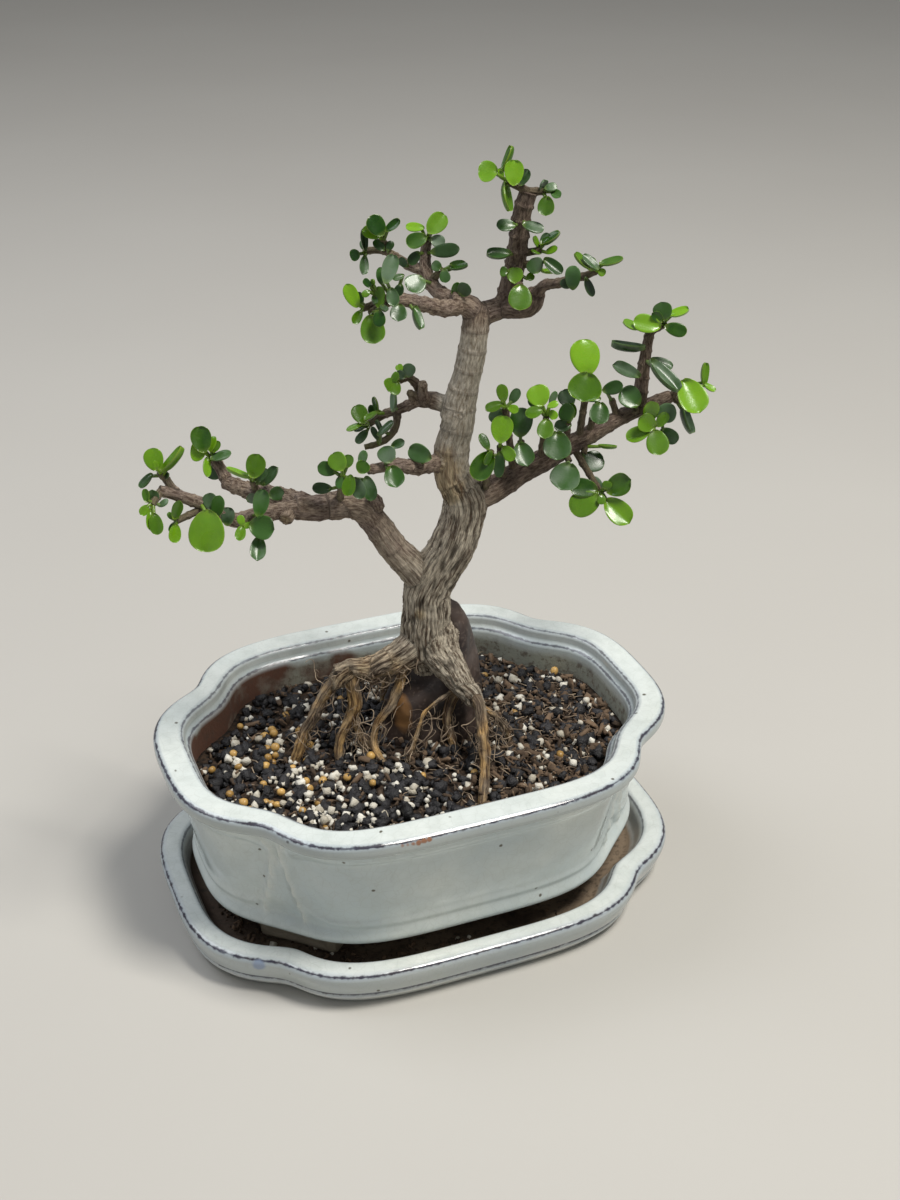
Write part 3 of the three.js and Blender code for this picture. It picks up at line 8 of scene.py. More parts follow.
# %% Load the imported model
import json
import math
import bpy
import numpy as np
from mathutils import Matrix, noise

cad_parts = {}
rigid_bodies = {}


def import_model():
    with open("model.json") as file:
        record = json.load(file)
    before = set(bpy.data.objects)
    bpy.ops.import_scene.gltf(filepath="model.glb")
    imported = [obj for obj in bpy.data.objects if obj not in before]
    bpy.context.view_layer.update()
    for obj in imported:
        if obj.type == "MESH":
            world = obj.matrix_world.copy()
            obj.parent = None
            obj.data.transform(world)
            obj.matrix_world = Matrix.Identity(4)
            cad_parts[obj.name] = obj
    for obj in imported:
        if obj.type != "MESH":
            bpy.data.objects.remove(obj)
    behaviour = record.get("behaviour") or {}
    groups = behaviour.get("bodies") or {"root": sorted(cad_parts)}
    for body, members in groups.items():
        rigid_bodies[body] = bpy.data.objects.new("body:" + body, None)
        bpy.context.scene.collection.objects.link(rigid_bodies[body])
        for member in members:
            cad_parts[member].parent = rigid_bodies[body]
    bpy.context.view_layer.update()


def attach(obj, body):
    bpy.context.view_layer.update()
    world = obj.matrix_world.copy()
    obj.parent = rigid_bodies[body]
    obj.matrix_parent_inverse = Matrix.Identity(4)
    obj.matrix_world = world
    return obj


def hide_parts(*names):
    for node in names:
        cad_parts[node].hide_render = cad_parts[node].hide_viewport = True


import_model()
MM = 0.001

# %% [markdown]
# ## Camera, floor and light
# The tree is seen from its front left and from above, as a person looks down on a bench. A 50 mm
# lens keeps its proportions. Bonsai are shown against plain paper under large soft lamps, because
# small bright lamps would scatter hard sparkles over the glaze and the waxy leaves.

# %% Camera
bpy.ops.object.camera_add(location=(-0.1950, -0.5321, 0.4507), rotation=(math.radians(60.5), 0,
    math.radians(-21.66)))
camera = bpy.context.object
camera.data.sensor_fit = "VERTICAL"
camera.data.sensor_height = 36
camera.data.lens = 49.5
camera.data.clip_start = 0.01
bpy.context.scene.view_settings.view_transform = "Standard"
bpy.context.scene.camera = camera
print("camera at", [round(value, 3) for value in camera.location])


# %% Helpers for materials
def linear(hex_colour):
    """A colour given as sRGB hex, as the linear red, green, blue and alpha that sockets take."""
    channels = [int(hex_colour[i:i + 2], 16) / 255 for i in (1, 3, 5)]
    return [c / 12.92 if c <= 0.04045 else ((c + 0.055) / 1.055) ** 2.4 for c in channels] + [1]


def new_material(name, **shader):
    """A material of one Principled shader with these values on its own sockets."""
    material = bpy.data.materials.new(name)
    material.use_nodes = True
    bsdf = material.node_tree.nodes["Principled BSDF"]
    for socket, value in shader.items():
        bsdf.inputs[socket.replace("_", " ")].default_value = value
    return material, bsdf


def add_node(material, kind, inputs=(), **settings):
    """Adds a node: settings are its own choices, inputs are values or links by socket."""
    node = material.node_tree.nodes.new("ShaderNode" + kind)
    for name, value in settings.items():
        setattr(node, name, value)
    for key, value in dict(inputs).items():
        if isinstance(value, bpy.types.NodeSocket):
            material.node_tree.links.new(value, node.inputs[key])
        else:
            node.inputs[key].default_value = value
    return node


def link(material, source, target):
    material.node_tree.links.new(source, target)


# A Mix node on colours has its colours in these sockets.
MIX_A, MIX_B, MIX_RESULT = 6, 7, 2

# %% Floor and lamps
bpy.ops.mesh.primitive_plane_add(size=6, location=(0, 0, 0))
floor = bpy.context.object
floor.name = "floor"
paper, bsdf = new_material("matt_backdrop_paper", Roughness=0.9)
coordinates = add_node(paper, "TexCoord").outputs["Object"]
fleck = add_node(paper, "TexNoise", {"Vector": coordinates, "Scale": 3.0, "Detail": 3.0})
shade = add_node(paper, "Mix", {0: fleck.outputs["Fac"], MIX_A: linear("#bdbab4"),
    MIX_B: linear("#c4c2bc")}, data_type="RGBA")
link(paper, shade.outputs[MIX_RESULT], bsdf.inputs["Base Color"])
floor.data.materials.append(paper)

LAMPS = [  # name, place, what it points at, size, watts, colour
    ("key_softbox", (0.5, -0.5, 1.7), (0, 0, 0.12), 0.5, 29.5, "#fffbf4"),
    ("fill_softbox", (-1.3, -0.9, 0.8), (0, 0, 0.12), 1.2, 0.8, "#f1f6ff"),
    ("back_softbox", (-0.75, 0.6, 1.4), (0, 0, 0.1), 0.9, 9, "#f4f7ff"),
]
for name, place, aim, size, watts, colour in LAMPS:
    bpy.ops.object.light_add(type="AREA", location=place)
    lamp = bpy.context.object
    lamp.name = name
    lamp.data.size = size
    lamp.data.energy = watts
    lamp.data.color = linear(colour)[:3]
    toward = np.array(aim) - np.array(place)
    lamp.rotation_euler = (math.acos(-toward[2] / np.linalg.norm(toward)), 0, math.atan2(toward[1],
        toward[0]) - math.pi / 2)
sky = bpy.data.worlds.new("studio_room")
bpy.context.scene.world = sky
sky.use_nodes = True
sky.node_tree.nodes["Background"].inputs["Color"].default_value = linear("#eef0f2")
sky.node_tree.nodes["Background"].inputs["Strength"].default_value = 0.26
print("lamps:", len(LAMPS))


# %% [markdown]
# ## Working by hand, and by rule
# Each piece starts as a primitive that is extruded in edit mode, and its points are then moved to
# where a formula puts them. That keeps the pot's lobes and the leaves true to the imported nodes,
# which follow the same formulas with fewer points.

# %% Helpers for meshes
def deselect_all():
    if bpy.context.mode != "OBJECT":
        bpy.ops.object.mode_set(mode="OBJECT")
    bpy.ops.object.select_all(action="DESELECT")


def make_active(piece):
    deselect_all()
    piece.select_set(True)
    bpy.context.view_layer.objects.active = piece


def apply_modifier(piece, kind, **settings):
    make_active(piece)
    modifier = piece.modifiers.new(kind.lower(), kind)
    for name, value in settings.items():
        setattr(modifier, name, value)
    bpy.ops.object.modifier_apply(modifier=modifier.name)


def edit(piece, *steps):
    """Runs edit-mode operators, given as (operator, settings), on the whole piece."""
    make_active(piece)
    bpy.ops.object.mode_set(mode="EDIT")
    bpy.ops.mesh.select_all(action="SELECT")
    for operator, settings in steps:
        operator(**settings)
    bpy.ops.object.mode_set(mode="OBJECT")


def points_of(piece):
    """The piece's points in millimetres, one row each."""
    points = np.empty(len(piece.data.vertices) * 3)
    piece.data.vertices.foreach_get("co", points)
    return points.reshape(-1, 3) / MM


def move_points(piece, points):
    piece.data.vertices.foreach_set("co", (np.asarray(points) * MM).ravel())
    piece.data.update()


def store(piece, name, values):
    """Keeps a number or a vector for each point, for the material to read."""
    values = np.asarray(values, float)
    kind, key = ("FLOAT", "value") if values.ndim == 1 else ("FLOAT_VECTOR", "vector")
    attribute = piece.data.attributes.new(name, kind, "POINT")
    attribute.data.foreach_set(key, values.ravel())


def place_at_origin(piece, name):
    """Puts the piece's place into its mesh, names it and lets it ride on the body."""
    make_active(piece)
    bpy.ops.object.transform_apply(location=True, rotation=True, scale=True)
    piece.name = name
    piece.data.name = name
    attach(piece, "root")
    return piece


def smoothstep(low, high, values):
    share = np.clip((np.asarray(values, float) - low) / (high - low), 0, 1)
    return share * share * (3 - 2 * share)


# %% [markdown]
# ## The lobed outline
# Pots of this kind are pressed in a mould with four lobes: two at the ends and two along the
# sides. The rim is the outline of two rounded oblongs laid across each other. A blend power
# sets how sharp the notch is where they meet. The same rule gives the saucer.

# %% Outline values, in millimetres
RIM_OUTER = dict(end=(104.8, 60.2, 3.08), side=(81.25, 80.7, 3.92), blend=40)
RIM_INNER = dict(end=(91.1, 41.4, 3.93), side=(68.7, 67.5, 4.8), blend=7.7)
SAUCER_OUTER = dict(end=(106.3, 66, 3.4), side=(82.8, 82.2, 3.92), blend=40)
FOOT_Z = 6.3
UNDERSIDE_Z = 17.5
SOIL_Z = 61
WARE_SEGMENTS = 320


def oblong(angle, half_length, half_width, power, inset):
    along = np.abs(np.cos(angle)) / (half_length - inset)
    across = np.abs(np.sin(angle)) / (half_width - inset)
    return (along ** power + across ** power) ** (-1 / power)


def lobed(angle, outline, inset, blend=None):
    """Radius of the lobed outline at each angle, moved in by inset."""
    end = oblong(angle, *outline["end"], inset)
    side = oblong(angle, *outline["side"], inset)
    blend = outline["blend"] if blend is None else blend
    return (end ** blend + side ** blend) ** (1 / blend)


def from_end(angle):
    """Degrees from the nearest end of the long axis, 0 to 90."""
    degrees = np.degrees(np.abs(np.arctan2(np.sin(angle), np.cos(angle))))
    return np.where(degrees > 90, 180 - degrees, degrees)


print("rim radius at the end, the notch and the side:", [round(float(lobed(math.radians(a),
    RIM_OUTER, 0)), 1) for a in (0, 33, 90)])


# %% [markdown]
# ## Raising the ware
# A wall of even thickness under a heavy lip is what a press-moulded pot has. It could be a lathe
# turned about Z, but its outline isn't round, so a circle is extruded ring by ring and each ring
# is laid on the lobed outline. Straight runs of the profile are cut into short steps for the
# relief of the panels, and corners are rounded as wet clay is with a sponge.

# %% A ware from its profile
def soften(corners, step=1.6):
    """Cuts a profile of (mix, inset, z, rounding) into rings: rounded corners, short steps."""
    points = [np.array(corner[:3], float) for corner in corners]
    span = np.array([25.0, 1, 1])
    rings = [points[0]]
    for here in range(1, len(points)):
        before, at = points[here - 1], points[here]
        bend = corners[here][3] if here < len(points) - 1 else 0
        inward = (before - at) / np.linalg.norm((before - at) * span)
        start = at + inward * bend
        run = np.linalg.norm((start - rings[-1]) * span)
        for share in np.linspace(0, 1, max(1, round(run / step)) + 1)[1:]:
            rings.append(rings[-1] * 0 + (1 - share) * last_of(rings, here) + share * start)
        if bend:
            onward = points[here + 1] - at
            finish = at + onward / np.linalg.norm(onward * span) * bend
            for share in (0.25, 0.5, 0.75, 1):
                rings.append((1 - share) ** 2 * start + 2 * share * (1 - share) * at
                             + share ** 2 * finish)
        mark_corner(rings, here)
    return np.array(rings)


corner_starts = {}


def mark_corner(rings, here):
    corner_starts[here] = rings[-1].copy()


def last_of(rings, here):
    return corner_starts.get(here - 1, rings[0]) if here > 1 else rings[0]


def raise_ware(corners, outer, inner, relief, blend_at=None):
    """Extrudes a circle through the profile's rings, from the middle underneath to the middle
    of the floor. Keeps for each point how far it is along the profile, in millimetres."""
    corner_starts.clear()
    rings = soften(corners)
    deselect_all()
    bpy.ops.mesh.primitive_circle_add(vertices=WARE_SEGMENTS, radius=0.05)
    ware = bpy.context.object
    rise = [(bpy.ops.mesh.extrude_region_move, {"TRANSFORM_OT_translate": {"value": (0, 0,
        MM)}})] * (len(rings) - 1)
    edit(ware, *rise)
    points = points_of(ware)
    ring = np.clip(np.round(points[:, 2]).astype(int), 0, len(rings) - 1)
    angle = np.arctan2(points[:, 1], points[:, 0])
    mix, inset, height = rings[ring].T
    inset = inset + relief(angle, height, mix)
    blend = blend_at(height) if blend_at else None
    radius = (1 - mix) * lobed(angle, outer, inset, blend) + mix * lobed(angle, inner, inset)
    move_points(ware, np.stack([radius * np.cos(angle), radius * np.sin(angle), height], 1))
    steps = np.linalg.norm(np.diff(rings, axis=0) * [25, 1, 1], axis=1)
    along = np.concatenate([[0], np.cumsum(steps)])
    store(ware, "along", along[ring])
    close_ends(ware, ring, len(rings) - 1)
    return ware, rings, along


def close_ends(ware, ring, last):
    """Fills the first and the last ring with a fan that meets in the middle."""
    for end in (0, last):
        make_active(ware)
        bpy.ops.object.mode_set(mode="EDIT")
        bpy.ops.mesh.select_mode(type="VERT")
        bpy.ops.mesh.select_all(action="DESELECT")
        bpy.ops.object.mode_set(mode="OBJECT")
        ware.data.vertices.foreach_set("select", np.append(ring == end,
            np.zeros(len(ware.data.vertices) - len(ring), bool)))
        bpy.ops.object.mode_set(mode="EDIT")
        bpy.ops.mesh.extrude_region_move()
        bpy.ops.mesh.merge(type="CENTER")
        bpy.ops.object.mode_set(mode="OBJECT")
    edit(ware, (bpy.ops.mesh.normals_make_consistent, {"inside": False}))


# %% Relief of the pot's panels and ridges
PANEL_LOW, PANEL_HIGH, PANEL_DEPTH = 30.0, 65.5, 1.1
RIDGE_HEIGHT, WAIST_Z = 1.1, 61.0


def rounded_box(across, up, half_across, half_up, corner):
    """How far a point is inside a box with rounded corners, in millimetres."""
    over_across = np.abs(across) - half_across + corner
    over_up = np.abs(up) - half_up + corner
    outside = np.hypot(np.maximum(over_across, 0), np.maximum(over_up, 0))
    return corner - outside - np.minimum(np.maximum(over_across, over_up), 0)


def waist(height):
    """Degrees from the notch to a ridge: closest at the waist, wider above and below."""
    below = np.clip((WAIST_Z - height) / 32, 0, 1)
    above = np.clip((height - WAIST_Z) / 8, 0, 1)
    return 1.3 + 4.6 * below ** 1.5 + 2.2 * above ** 1.5


def pot_ridges(angle, height):
    """From 0 to 1, where the two ridges beside each notch stand out."""
    ridge = np.exp(-((np.abs(from_end(angle) - 32.6) - waist(height)) / 0.6) ** 2)
    return ridge * smoothstep(24, 29, height) * (1 - smoothstep(66, 69.5, height))


def pot_relief(angle, height, mix):
    """Soft sunk panels on the four lobes, and the ridges between them."""
    middle, half_up = (PANEL_LOW + PANEL_HIGH) / 2, (PANEL_HIGH - PANEL_LOW) / 2
    degrees = from_end(angle)
    end_half = (31.6 - waist(height)) * 1.75
    side_half = (56.4 - waist(height)) * 1.35
    end_panel = rounded_box(degrees * 1.75, height - middle, end_half, half_up, 9)
    side_panel = rounded_box((90 - degrees) * 1.35, height - middle, side_half, half_up, 12)
    sunk = PANEL_DEPTH * smoothstep(-0.4, 2.6, np.maximum(end_panel, side_panel))
    on_wall = (mix < 0.5) & (height > 19) & (height < 71)
    return np.where(on_wall, sunk - RIDGE_HEIGHT * pot_ridges(angle, height), 0)


def pot_blend(height):
    """The notches soften towards the base."""
    return 1 / np.interp(height, [17.5, 19.5, 25.5, 31, 48, 64], [1 / 6, 1 / 6, 1 / 9, 1 / 14,
        1 / 28, 1 / 40])


POT_PROFILE = [  # (0 outer to 1 inner outline, inset, z, rounding)
    (0, 30, 17.5, 0), (0, 20.3, 17.5, 1.2), (0, 14.6, 19.9, 1.5), (0, 12.4, 22.4, 1.6),
    (0, 12.5, 25.4, 1.4), (0, 13.2, 27.4, 1.0), (0, 11.7, 31, 1.6), (0, 8.6, 48, 3),
    (0, 6.3, 64, 3), (0, 5.2, 69.6, 0.7), (0, 5.0, 70.6, 0.5), (0, 1.5, 71.2, 0.7),
    (0, 0.05, 73.0, 1.2), (0, 0.1, 76.7, 1.0), (0, 1.9, 78, 1.3), (1, -1.6, 77.9, 1.2),
    (1, 0.1, 76.8, 0.9), (1, 0.3, 73.4, 0.9), (1, 2.4, 71.6, 1.0), (1, 4, 45, 3),
    (1, 8, 24, 2), (1, 30, 24, 0)]
pot, pot_rings, pot_along = raise_ware(POT_PROFILE, RIM_OUTER, RIM_INNER, pot_relief, pot_blend)
here = points_of(pot)
store(pot, "ridge", pot_ridges(np.arctan2(here[:, 1], here[:, 0]), here[:, 2]) * (np.hypot(here[:,
    0], here[:, 1]) > 60))
print("pot rings:", len(pot_rings), "triangles:", sum(len(p.vertices) - 2
    for p in pot.data.polygons))


# %% Where the pot's edges lie along its profile
def along_at(rings, along, mix, height):
    """How far along the profile a height is reached, on the outer or the inner side."""
    side = (rings[:, 0] > 0.5) if mix else (rings[:, 0] < 0.5)
    nearest = np.argmin(np.where(side, np.abs(rings[:, 2] - height), 1e9))
    return float(along[nearest])


POT_LIP_LOW = along_at(pot_rings, pot_along, 0, 70.6)
POT_EDGE = along_at(pot_rings, pot_along, 0, 77.3)
POT_INNER_EDGE = along_at(pot_rings, pot_along, 1, 77.2)
POT_INNER_LIP = along_at(pot_rings, pot_along, 1, 72.2)
POT_END = float(pot_along[-1])
print("edges along the profile in mm:", [round(v, 1) for v in (POT_LIP_LOW, POT_EDGE,
    POT_INNER_EDGE, POT_INNER_LIP, POT_END)])


# %% [markdown]
# ## Feet and drain holes
# Four low feet are cut from the same slab, curved with the lobes, and left bare of glaze so that
# they don't stick to the kiln shelf. Each has two shallow pressed oblongs on its face. A cube is
# cut into a fine grid and bent to the foot's plan, so that the pressed marks can be a formula.

# %% One foot, laid out four times
FOOT_FROM, FOOT_TO, FOOT_INSET, FOOT_DEPTH = 20.0, 44.0, 20.0, 13.0


def make_foot(sign_x, sign_y):
    deselect_all()
    bpy.ops.mesh.primitive_cube_add(size=2 * MM)
    foot = bpy.context.object
    edit(foot, (bpy.ops.mesh.subdivide, {"number_cuts": 23}))
    u, t, w = (points_of(foot) + 1).T / 2
    rounding = 0.09
    taper = (1 - w) * 1.2
    angle = np.radians(FOOT_FROM + (FOOT_TO - FOOT_FROM) * u)
    radius = lobed(angle, RIM_OUTER, FOOT_INSET, 6) - FOOT_DEPTH * t
    height = FOOT_Z + (UNDERSIDE_Z + 2 - FOOT_Z) * w
    side = np.maximum(np.abs(u - 0.5) * 2 - (1 - rounding), 0) / rounding
    depth = np.maximum(np.abs(t - 0.5) * 2 - (1 - rounding * 2), 0) / (rounding * 2)
    low = np.maximum(rounding * 1.2 - w, 0) / (rounding * 1.2)
    pull = 1.3 * (np.maximum(side + depth + low - 1, 0))
    pressed = np.maximum(rounded_box(u * 40 - 13.5, w * 12 - 5.4, 6.2, 2.4, 1.3),
        rounded_box(u * 40 - 28.5, w * 12 - 5.4, 6.2, 2.4, 1.3))
    radius = radius - (t < 0.01) * 0.7 * smoothstep(-0.3, 0.5, pressed)
    radius = radius + (t - 0.5) * 2 * (pull + taper)
    height = height + low * 0.25 * side
    points = np.stack([sign_x * radius * np.cos(angle), sign_y * radius * np.sin(angle), height],
        1)
    move_points(foot, points)
    store(foot, "along", np.zeros(len(points)))
    edit(foot, (bpy.ops.mesh.normals_make_consistent, {"inside": False}))
    return foot


feet = [make_foot(x, y) for x, y in ((1, 1), (-1, 1), (-1, -1), (1, -1))]
for hole_x in (-38, 38):
    deselect_all()
    bpy.ops.mesh.primitive_cylinder_add(vertices=48, radius=8 * MM, depth=12 * MM,
        location=(hole_x * MM, 0, 20.75 * MM))
    drill = bpy.context.object
    apply_modifier(pot, "BOOLEAN", operation="DIFFERENCE", object=drill, solver="EXACT")
    bpy.data.objects.remove(drill)
make_active(pot)
for foot in feet:
    foot.select_set(True)
bpy.ops.object.join()
pot = place_at_origin(pot, "pot_ware")
make_active(pot)
bpy.ops.object.shade_smooth_by_angle(angle=math.radians(40))
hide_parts("pot")
print("pot with feet and drain holes:", len(pot.data.polygons), "faces")

# %% [markdown]
# ## The saucer
# The saucer is the same work, lower and wider, with a rim about 7 mm thick. Its outside has a
# groove just above the base, where the mould's two halves met.

# %% Saucer
SAUCER_PROFILE = [(0, 30, 0.0, 0), (0, 6, 0.0, 1.2), (0, 2.7, 4.6, 0.7), (0, 3.3, 6.2, 0.5),
    (0, 1.9, 7.6, 0.8), (0, 0.2, 13, 2), (0, 0.2, 16, 1.1), (0, 1.7, 17.5, 1.2),
    (0, 8.3, 17.3, 1.2), (0, 10, 15, 1.5), (0, 12.4, 8, 1.6), (0, 14.8, 6, 1.4), (0, 34, 6, 0)]
saucer, saucer_rings, saucer_along = raise_ware(SAUCER_PROFILE, SAUCER_OUTER, SAUCER_OUTER,
    lambda angle, height, mix: angle * 0)
saucer = place_at_origin(saucer, "saucer_ware")
make_active(saucer)
bpy.ops.object.shade_smooth_by_angle(angle=math.radians(40))
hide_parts("saucer")


def first_along(rings, along, inset, height):
    """How far along the profile the ring nearest to this inset and height is."""
    return float(along[np.argmin(np.hypot(rings[:, 1] - inset, rings[:, 2] - height))])


SAUCER_GROOVE = first_along(saucer_rings, saucer_along, 3.2, 6.2)
SAUCER_EDGE = first_along(saucer_rings, saucer_along, 0.6, 16.9)
SAUCER_INNER_EDGE = first_along(saucer_rings, saucer_along, 9.1, 16.8)
SAUCER_FOOT = first_along(saucer_rings, saucer_along, 12, 8)
print("saucer rings:", len(saucer_rings), "edges along the profile in mm:", [round(v, 1)
    for v in (SAUCER_GROOVE, SAUCER_EDGE, SAUCER_INNER_EDGE, SAUCER_FOOT)])


# %% [markdown]
# ## Crackle glaze over stoneware
# The ware is a buff stoneware under a pale celadon glaze, which runs thin on sharp edges, where
# the iron and cobalt slip below shows as a dark broken line. A like dark line in the corner under
# the pot's lip is painted shadow. The glaze is glossy, finely crazed and sprinkled with small dark
# specks of iron. The soil has stained the inside brown.

# %% Glaze material
def glaze_material(name, dark_lines, band, bare_above, bare_below_z, body, pale, cool, stain,
        grime, crumb, blots):
    """dark_lines are (place along the profile, half-width, strength), band is a cooler strip
    along it, and blots are (x, y, z, radius, colour), all in millimetres."""
    material, bsdf = new_material(name, IOR=1.52)
    place = add_node(material, "TexCoord").outputs["Object"]
    along = add_node(material, "Attribute", attribute_name="along").outputs["Fac"]

    # Slow drift between the whiter and the cooler glaze, over some 40 mm.
    drift = add_node(material, "TexNoise", {"Vector": place, "Scale": 24.0, "Detail": 4.0})
    drifted = add_node(material, "MapRange", {0: drift.outputs["Fac"], 1: 0.35, 2: 0.65})
    colour = add_node(material, "Mix", {0: drifted.outputs[0], MIX_A: linear(pale),
        MIX_B: linear(cool)}, data_type="RGBA")

    # The lip is a little bluer, and the ridges are whiter where the glaze has run off them.
    on_band = add_node(material, "MapRange", {0: along, 1: band[0], 2: band[0] + 0.4})
    off_band = add_node(material, "MapRange", {0: along, 1: band[1] - 0.8, 2: band[1], 3: band[3],
        4: 0.0})
    banded = add_node(material, "Math", {0: on_band.outputs[0], 1: off_band.outputs[0]},
        operation="MULTIPLY")
    ridge = add_node(material, "Attribute", attribute_name="ridge").outputs["Fac"]
    whiter = add_node(material, "Math", {0: ridge, 1: 0.7}, operation="MULTIPLY")

    # The glaze lies thickest and whitest on the flat of the rim. This whitening is also painted
    # light, for the light falling on the rim's upward face.
    on_rim = add_node(material, "MapRange", {0: along, 1: band[1], 2: band[1] + 1.5, 4: 0.6})
    on_top = add_node(material, "Math", {0: along, 1: bare_above - 5}, operation="LESS_THAN")
    thick_glaze_and_lit_top = add_node(material, "Math", {0: on_rim.outputs[0], 1: on_top.outputs[0]},
        operation="MULTIPLY")
    cloudy = add_node(material, "TexNoise", {"Vector": place, "Scale": 130.0, "Detail": 6.0,
        "Roughness": 0.65})
    cloud = add_node(material, "MapRange", {0: cloudy.outputs["Fac"], 1: 0.42, 2: 0.7, 4: 0.45})

    # Crazing: cells of about 4 mm whose borders are hairlines.
    wander = add_node(material, "TexNoise", {"Vector": place, "Scale": 180.0, "Detail": 2.0})
    bent = add_node(material, "VectorMath", {0: wander.outputs["Color"], 1: (0.0022,) * 3},
        operation="MULTIPLY")
    moved = add_node(material, "VectorMath", {0: place, 1: bent.outputs[0]}, operation="ADD")
    cells = add_node(material, "TexVoronoi", {"Vector": moved.outputs[0], "Scale": 260.0},
        feature="DISTANCE_TO_EDGE")
    craze = add_node(material, "MapRange", {0: cells.outputs["Distance"], 1: 0.0, 2: 0.045,
        3: 0.13, 4: 0.0})

    # Iron specks under a millimetre across.
    specks = add_node(material, "TexVoronoi", {"Vector": moved.outputs[0], "Scale": 210.0})
    rare = add_node(material, "TexWhiteNoise", {"Vector": specks.outputs["Position"]})
    dot = add_node(material, "MapRange", {0: specks.outputs["Distance"], 1: 0.1, 2: 0.2, 3: 1.0,
        4: 0.0})
    chosen = add_node(material, "Math", {0: rare.outputs["Value"], 1: 0.92},
        operation="GREATER_THAN")
    speck = add_node(material, "Math", {0: dot.outputs[0], 1: chosen.outputs[0]},
        operation="MULTIPLY")
    for share, hue in ((banded, band[2]), (whiter, "#e4e7df"), (thick_glaze_and_lit_top, "#e4eae6"), (cloud,
            "#b9c2bd"), (craze, "#8b8a7d"), (speck, "#5e5b50")):
        colour = add_node(material, "Mix", {0: share.outputs[0], MIX_A: colour.outputs[MIX_RESULT],
            MIX_B: linear(hue)}, data_type="RGBA")

    # Dark lines where the glaze runs thin on the edges, ragged and broken into dashes. The line
    # in the corner under the pot's lip is painted shadow, not thin glaze.
    ragged = add_node(material, "TexNoise", {"Vector": place, "Scale": 420.0, "Detail": 3.0})
    broken = add_node(material, "TexNoise", {"Vector": place, "Scale": 120.0, "Detail": 3.0})
    for middle, half, strength in dark_lines:
        # Cobalt bleeds a few millimetres out of each line.
        near = add_node(material, "Math", {0: along, 1: middle}, operation="SUBTRACT")
        near = add_node(material, "Math", {0: near.outputs[0]}, operation="ABSOLUTE")
        bleed = add_node(material, "MapRange", {0: near.outputs[0], 1: 0.2, 2: half + 1.8,
            3: strength * 0.45, 4: 0.0})
        colour = add_node(material, "Mix", {0: bleed.outputs[0], MIX_A: colour.outputs[MIX_RESULT],
            MIX_B: linear("#8d9cb0")}, data_type="RGBA")
        away = add_node(material, "Math", {0: along, 1: -middle}, operation="ADD")
        away = add_node(material, "Math", {0: away.outputs[0]}, operation="ABSOLUTE")
        rough_edge = add_node(material, "MapRange", {0: ragged.outputs["Fac"], 1: 0.3, 2: 0.7,
            3: -half * 0.6, 4: half * 0.6})
        away = add_node(material, "Math", {0: away.outputs[0], 1: rough_edge.outputs[0]},
            operation="ADD")
        line = add_node(material, "MapRange", {0: away.outputs[0], 1: half * 0.4, 2: half * 1.3,
            3: strength, 4: 0.0})
        dash = add_node(material, "MapRange", {0: broken.outputs["Fac"], 1: 0.26, 2: 0.4, 3: 0.5,
            4: 1.0})
        line = add_node(material, "Math", {0: line.outputs[0], 1: dash.outputs[0]},
            operation="MULTIPLY")
        # The lines' colour: dark slip, and painted shadow for the line under the pot's lip.
        slip_and_lip_shadow = add_node(material, "Mix", {0: broken.outputs["Fac"], MIX_A: linear("#2c3350"),
            MIX_B: linear("#3a2b22")}, data_type="RGBA")
        colour = add_node(material, "Mix", {0: line.outputs[0], MIX_A: colour.outputs[MIX_RESULT],
            MIX_B: slip_and_lip_shadow.outputs[MIX_RESULT]}, data_type="RGBA")

    # Chips and blots: a bare speck of clay, a spill of cobalt.
    for x, y, z, radius, hue in blots:
        away = add_node(material, "VectorMath", {0: moved.outputs[0], 1: (x * MM, y * MM, z * MM)},
            operation="DISTANCE")
        blot = add_node(material, "MapRange", {0: away.outputs["Value"], 1: radius * 0.7 * MM,
            2: radius * 1.1 * MM, 3: 0.9, 4: 0.0})
        colour = add_node(material, "Mix", {0: blot.outputs[0], MIX_A: colour.outputs[MIX_RESULT],
            MIX_B: linear(hue)}, data_type="RGBA")

    # Soil stains from bare_above on along the profile, and the bare clay underneath.
    patches = add_node(material, "TexNoise", {"Vector": place, "Scale": 45.0, "Detail": 5.0})
    parts = add_node(material, "SeparateXYZ", {0: place})
    leftward = add_node(material, "Math", {0: parts.outputs["X"], 1: -2.2, 2: patches.outputs[0]},
        operation="MULTIPLY_ADD")
    stained = add_node(material, "MapRange", {0: leftward.outputs[0], 1: 0.42, 2: 0.62})
    dirty = add_node(material, "Mix", {0: stained.outputs[0], MIX_A: linear(stain),
        MIX_B: linear(grime)}, data_type="RGBA")
    crusts = add_node(material, "TexNoise", {"Vector": place, "Scale": 330.0, "Detail": 6.0,
        "Roughness": 0.7})
    crust = add_node(material, "MapRange", {0: crusts.outputs["Fac"], 1: 0.5, 2: 0.62, 3: 0.0,
        4: 0.65})
    dirty = add_node(material, "Mix", {0: crust.outputs[0], MIX_A: dirty.outputs[MIX_RESULT],
        MIX_B: linear(crumb)}, data_type="RGBA")
    reach = add_node(material, "Math", {0: stained.outputs[0], 1: 3.0, 2: along},
        operation="MULTIPLY_ADD")
    inside = add_node(material, "MapRange", {0: reach.outputs[0], 1: bare_above,
        2: bare_above + 3.0})
    colour = add_node(material, "Mix", {0: inside.outputs[0], MIX_A: colour.outputs[MIX_RESULT],
        MIX_B: dirty.outputs[MIX_RESULT]}, data_type="RGBA")
    height = parts.outputs["Z"]
    wave = add_node(material, "MapRange", {0: drift.outputs["Fac"], 3: -0.0012, 4: 0.0012})
    edge = add_node(material, "Math", {0: height, 1: wave.outputs[0]}, operation="ADD")
    under = add_node(material, "MapRange", {0: edge.outputs[0], 1: bare_below_z * MM,
        2: (bare_below_z + 0.5) * MM, 3: 1.0, 4: 0.0})
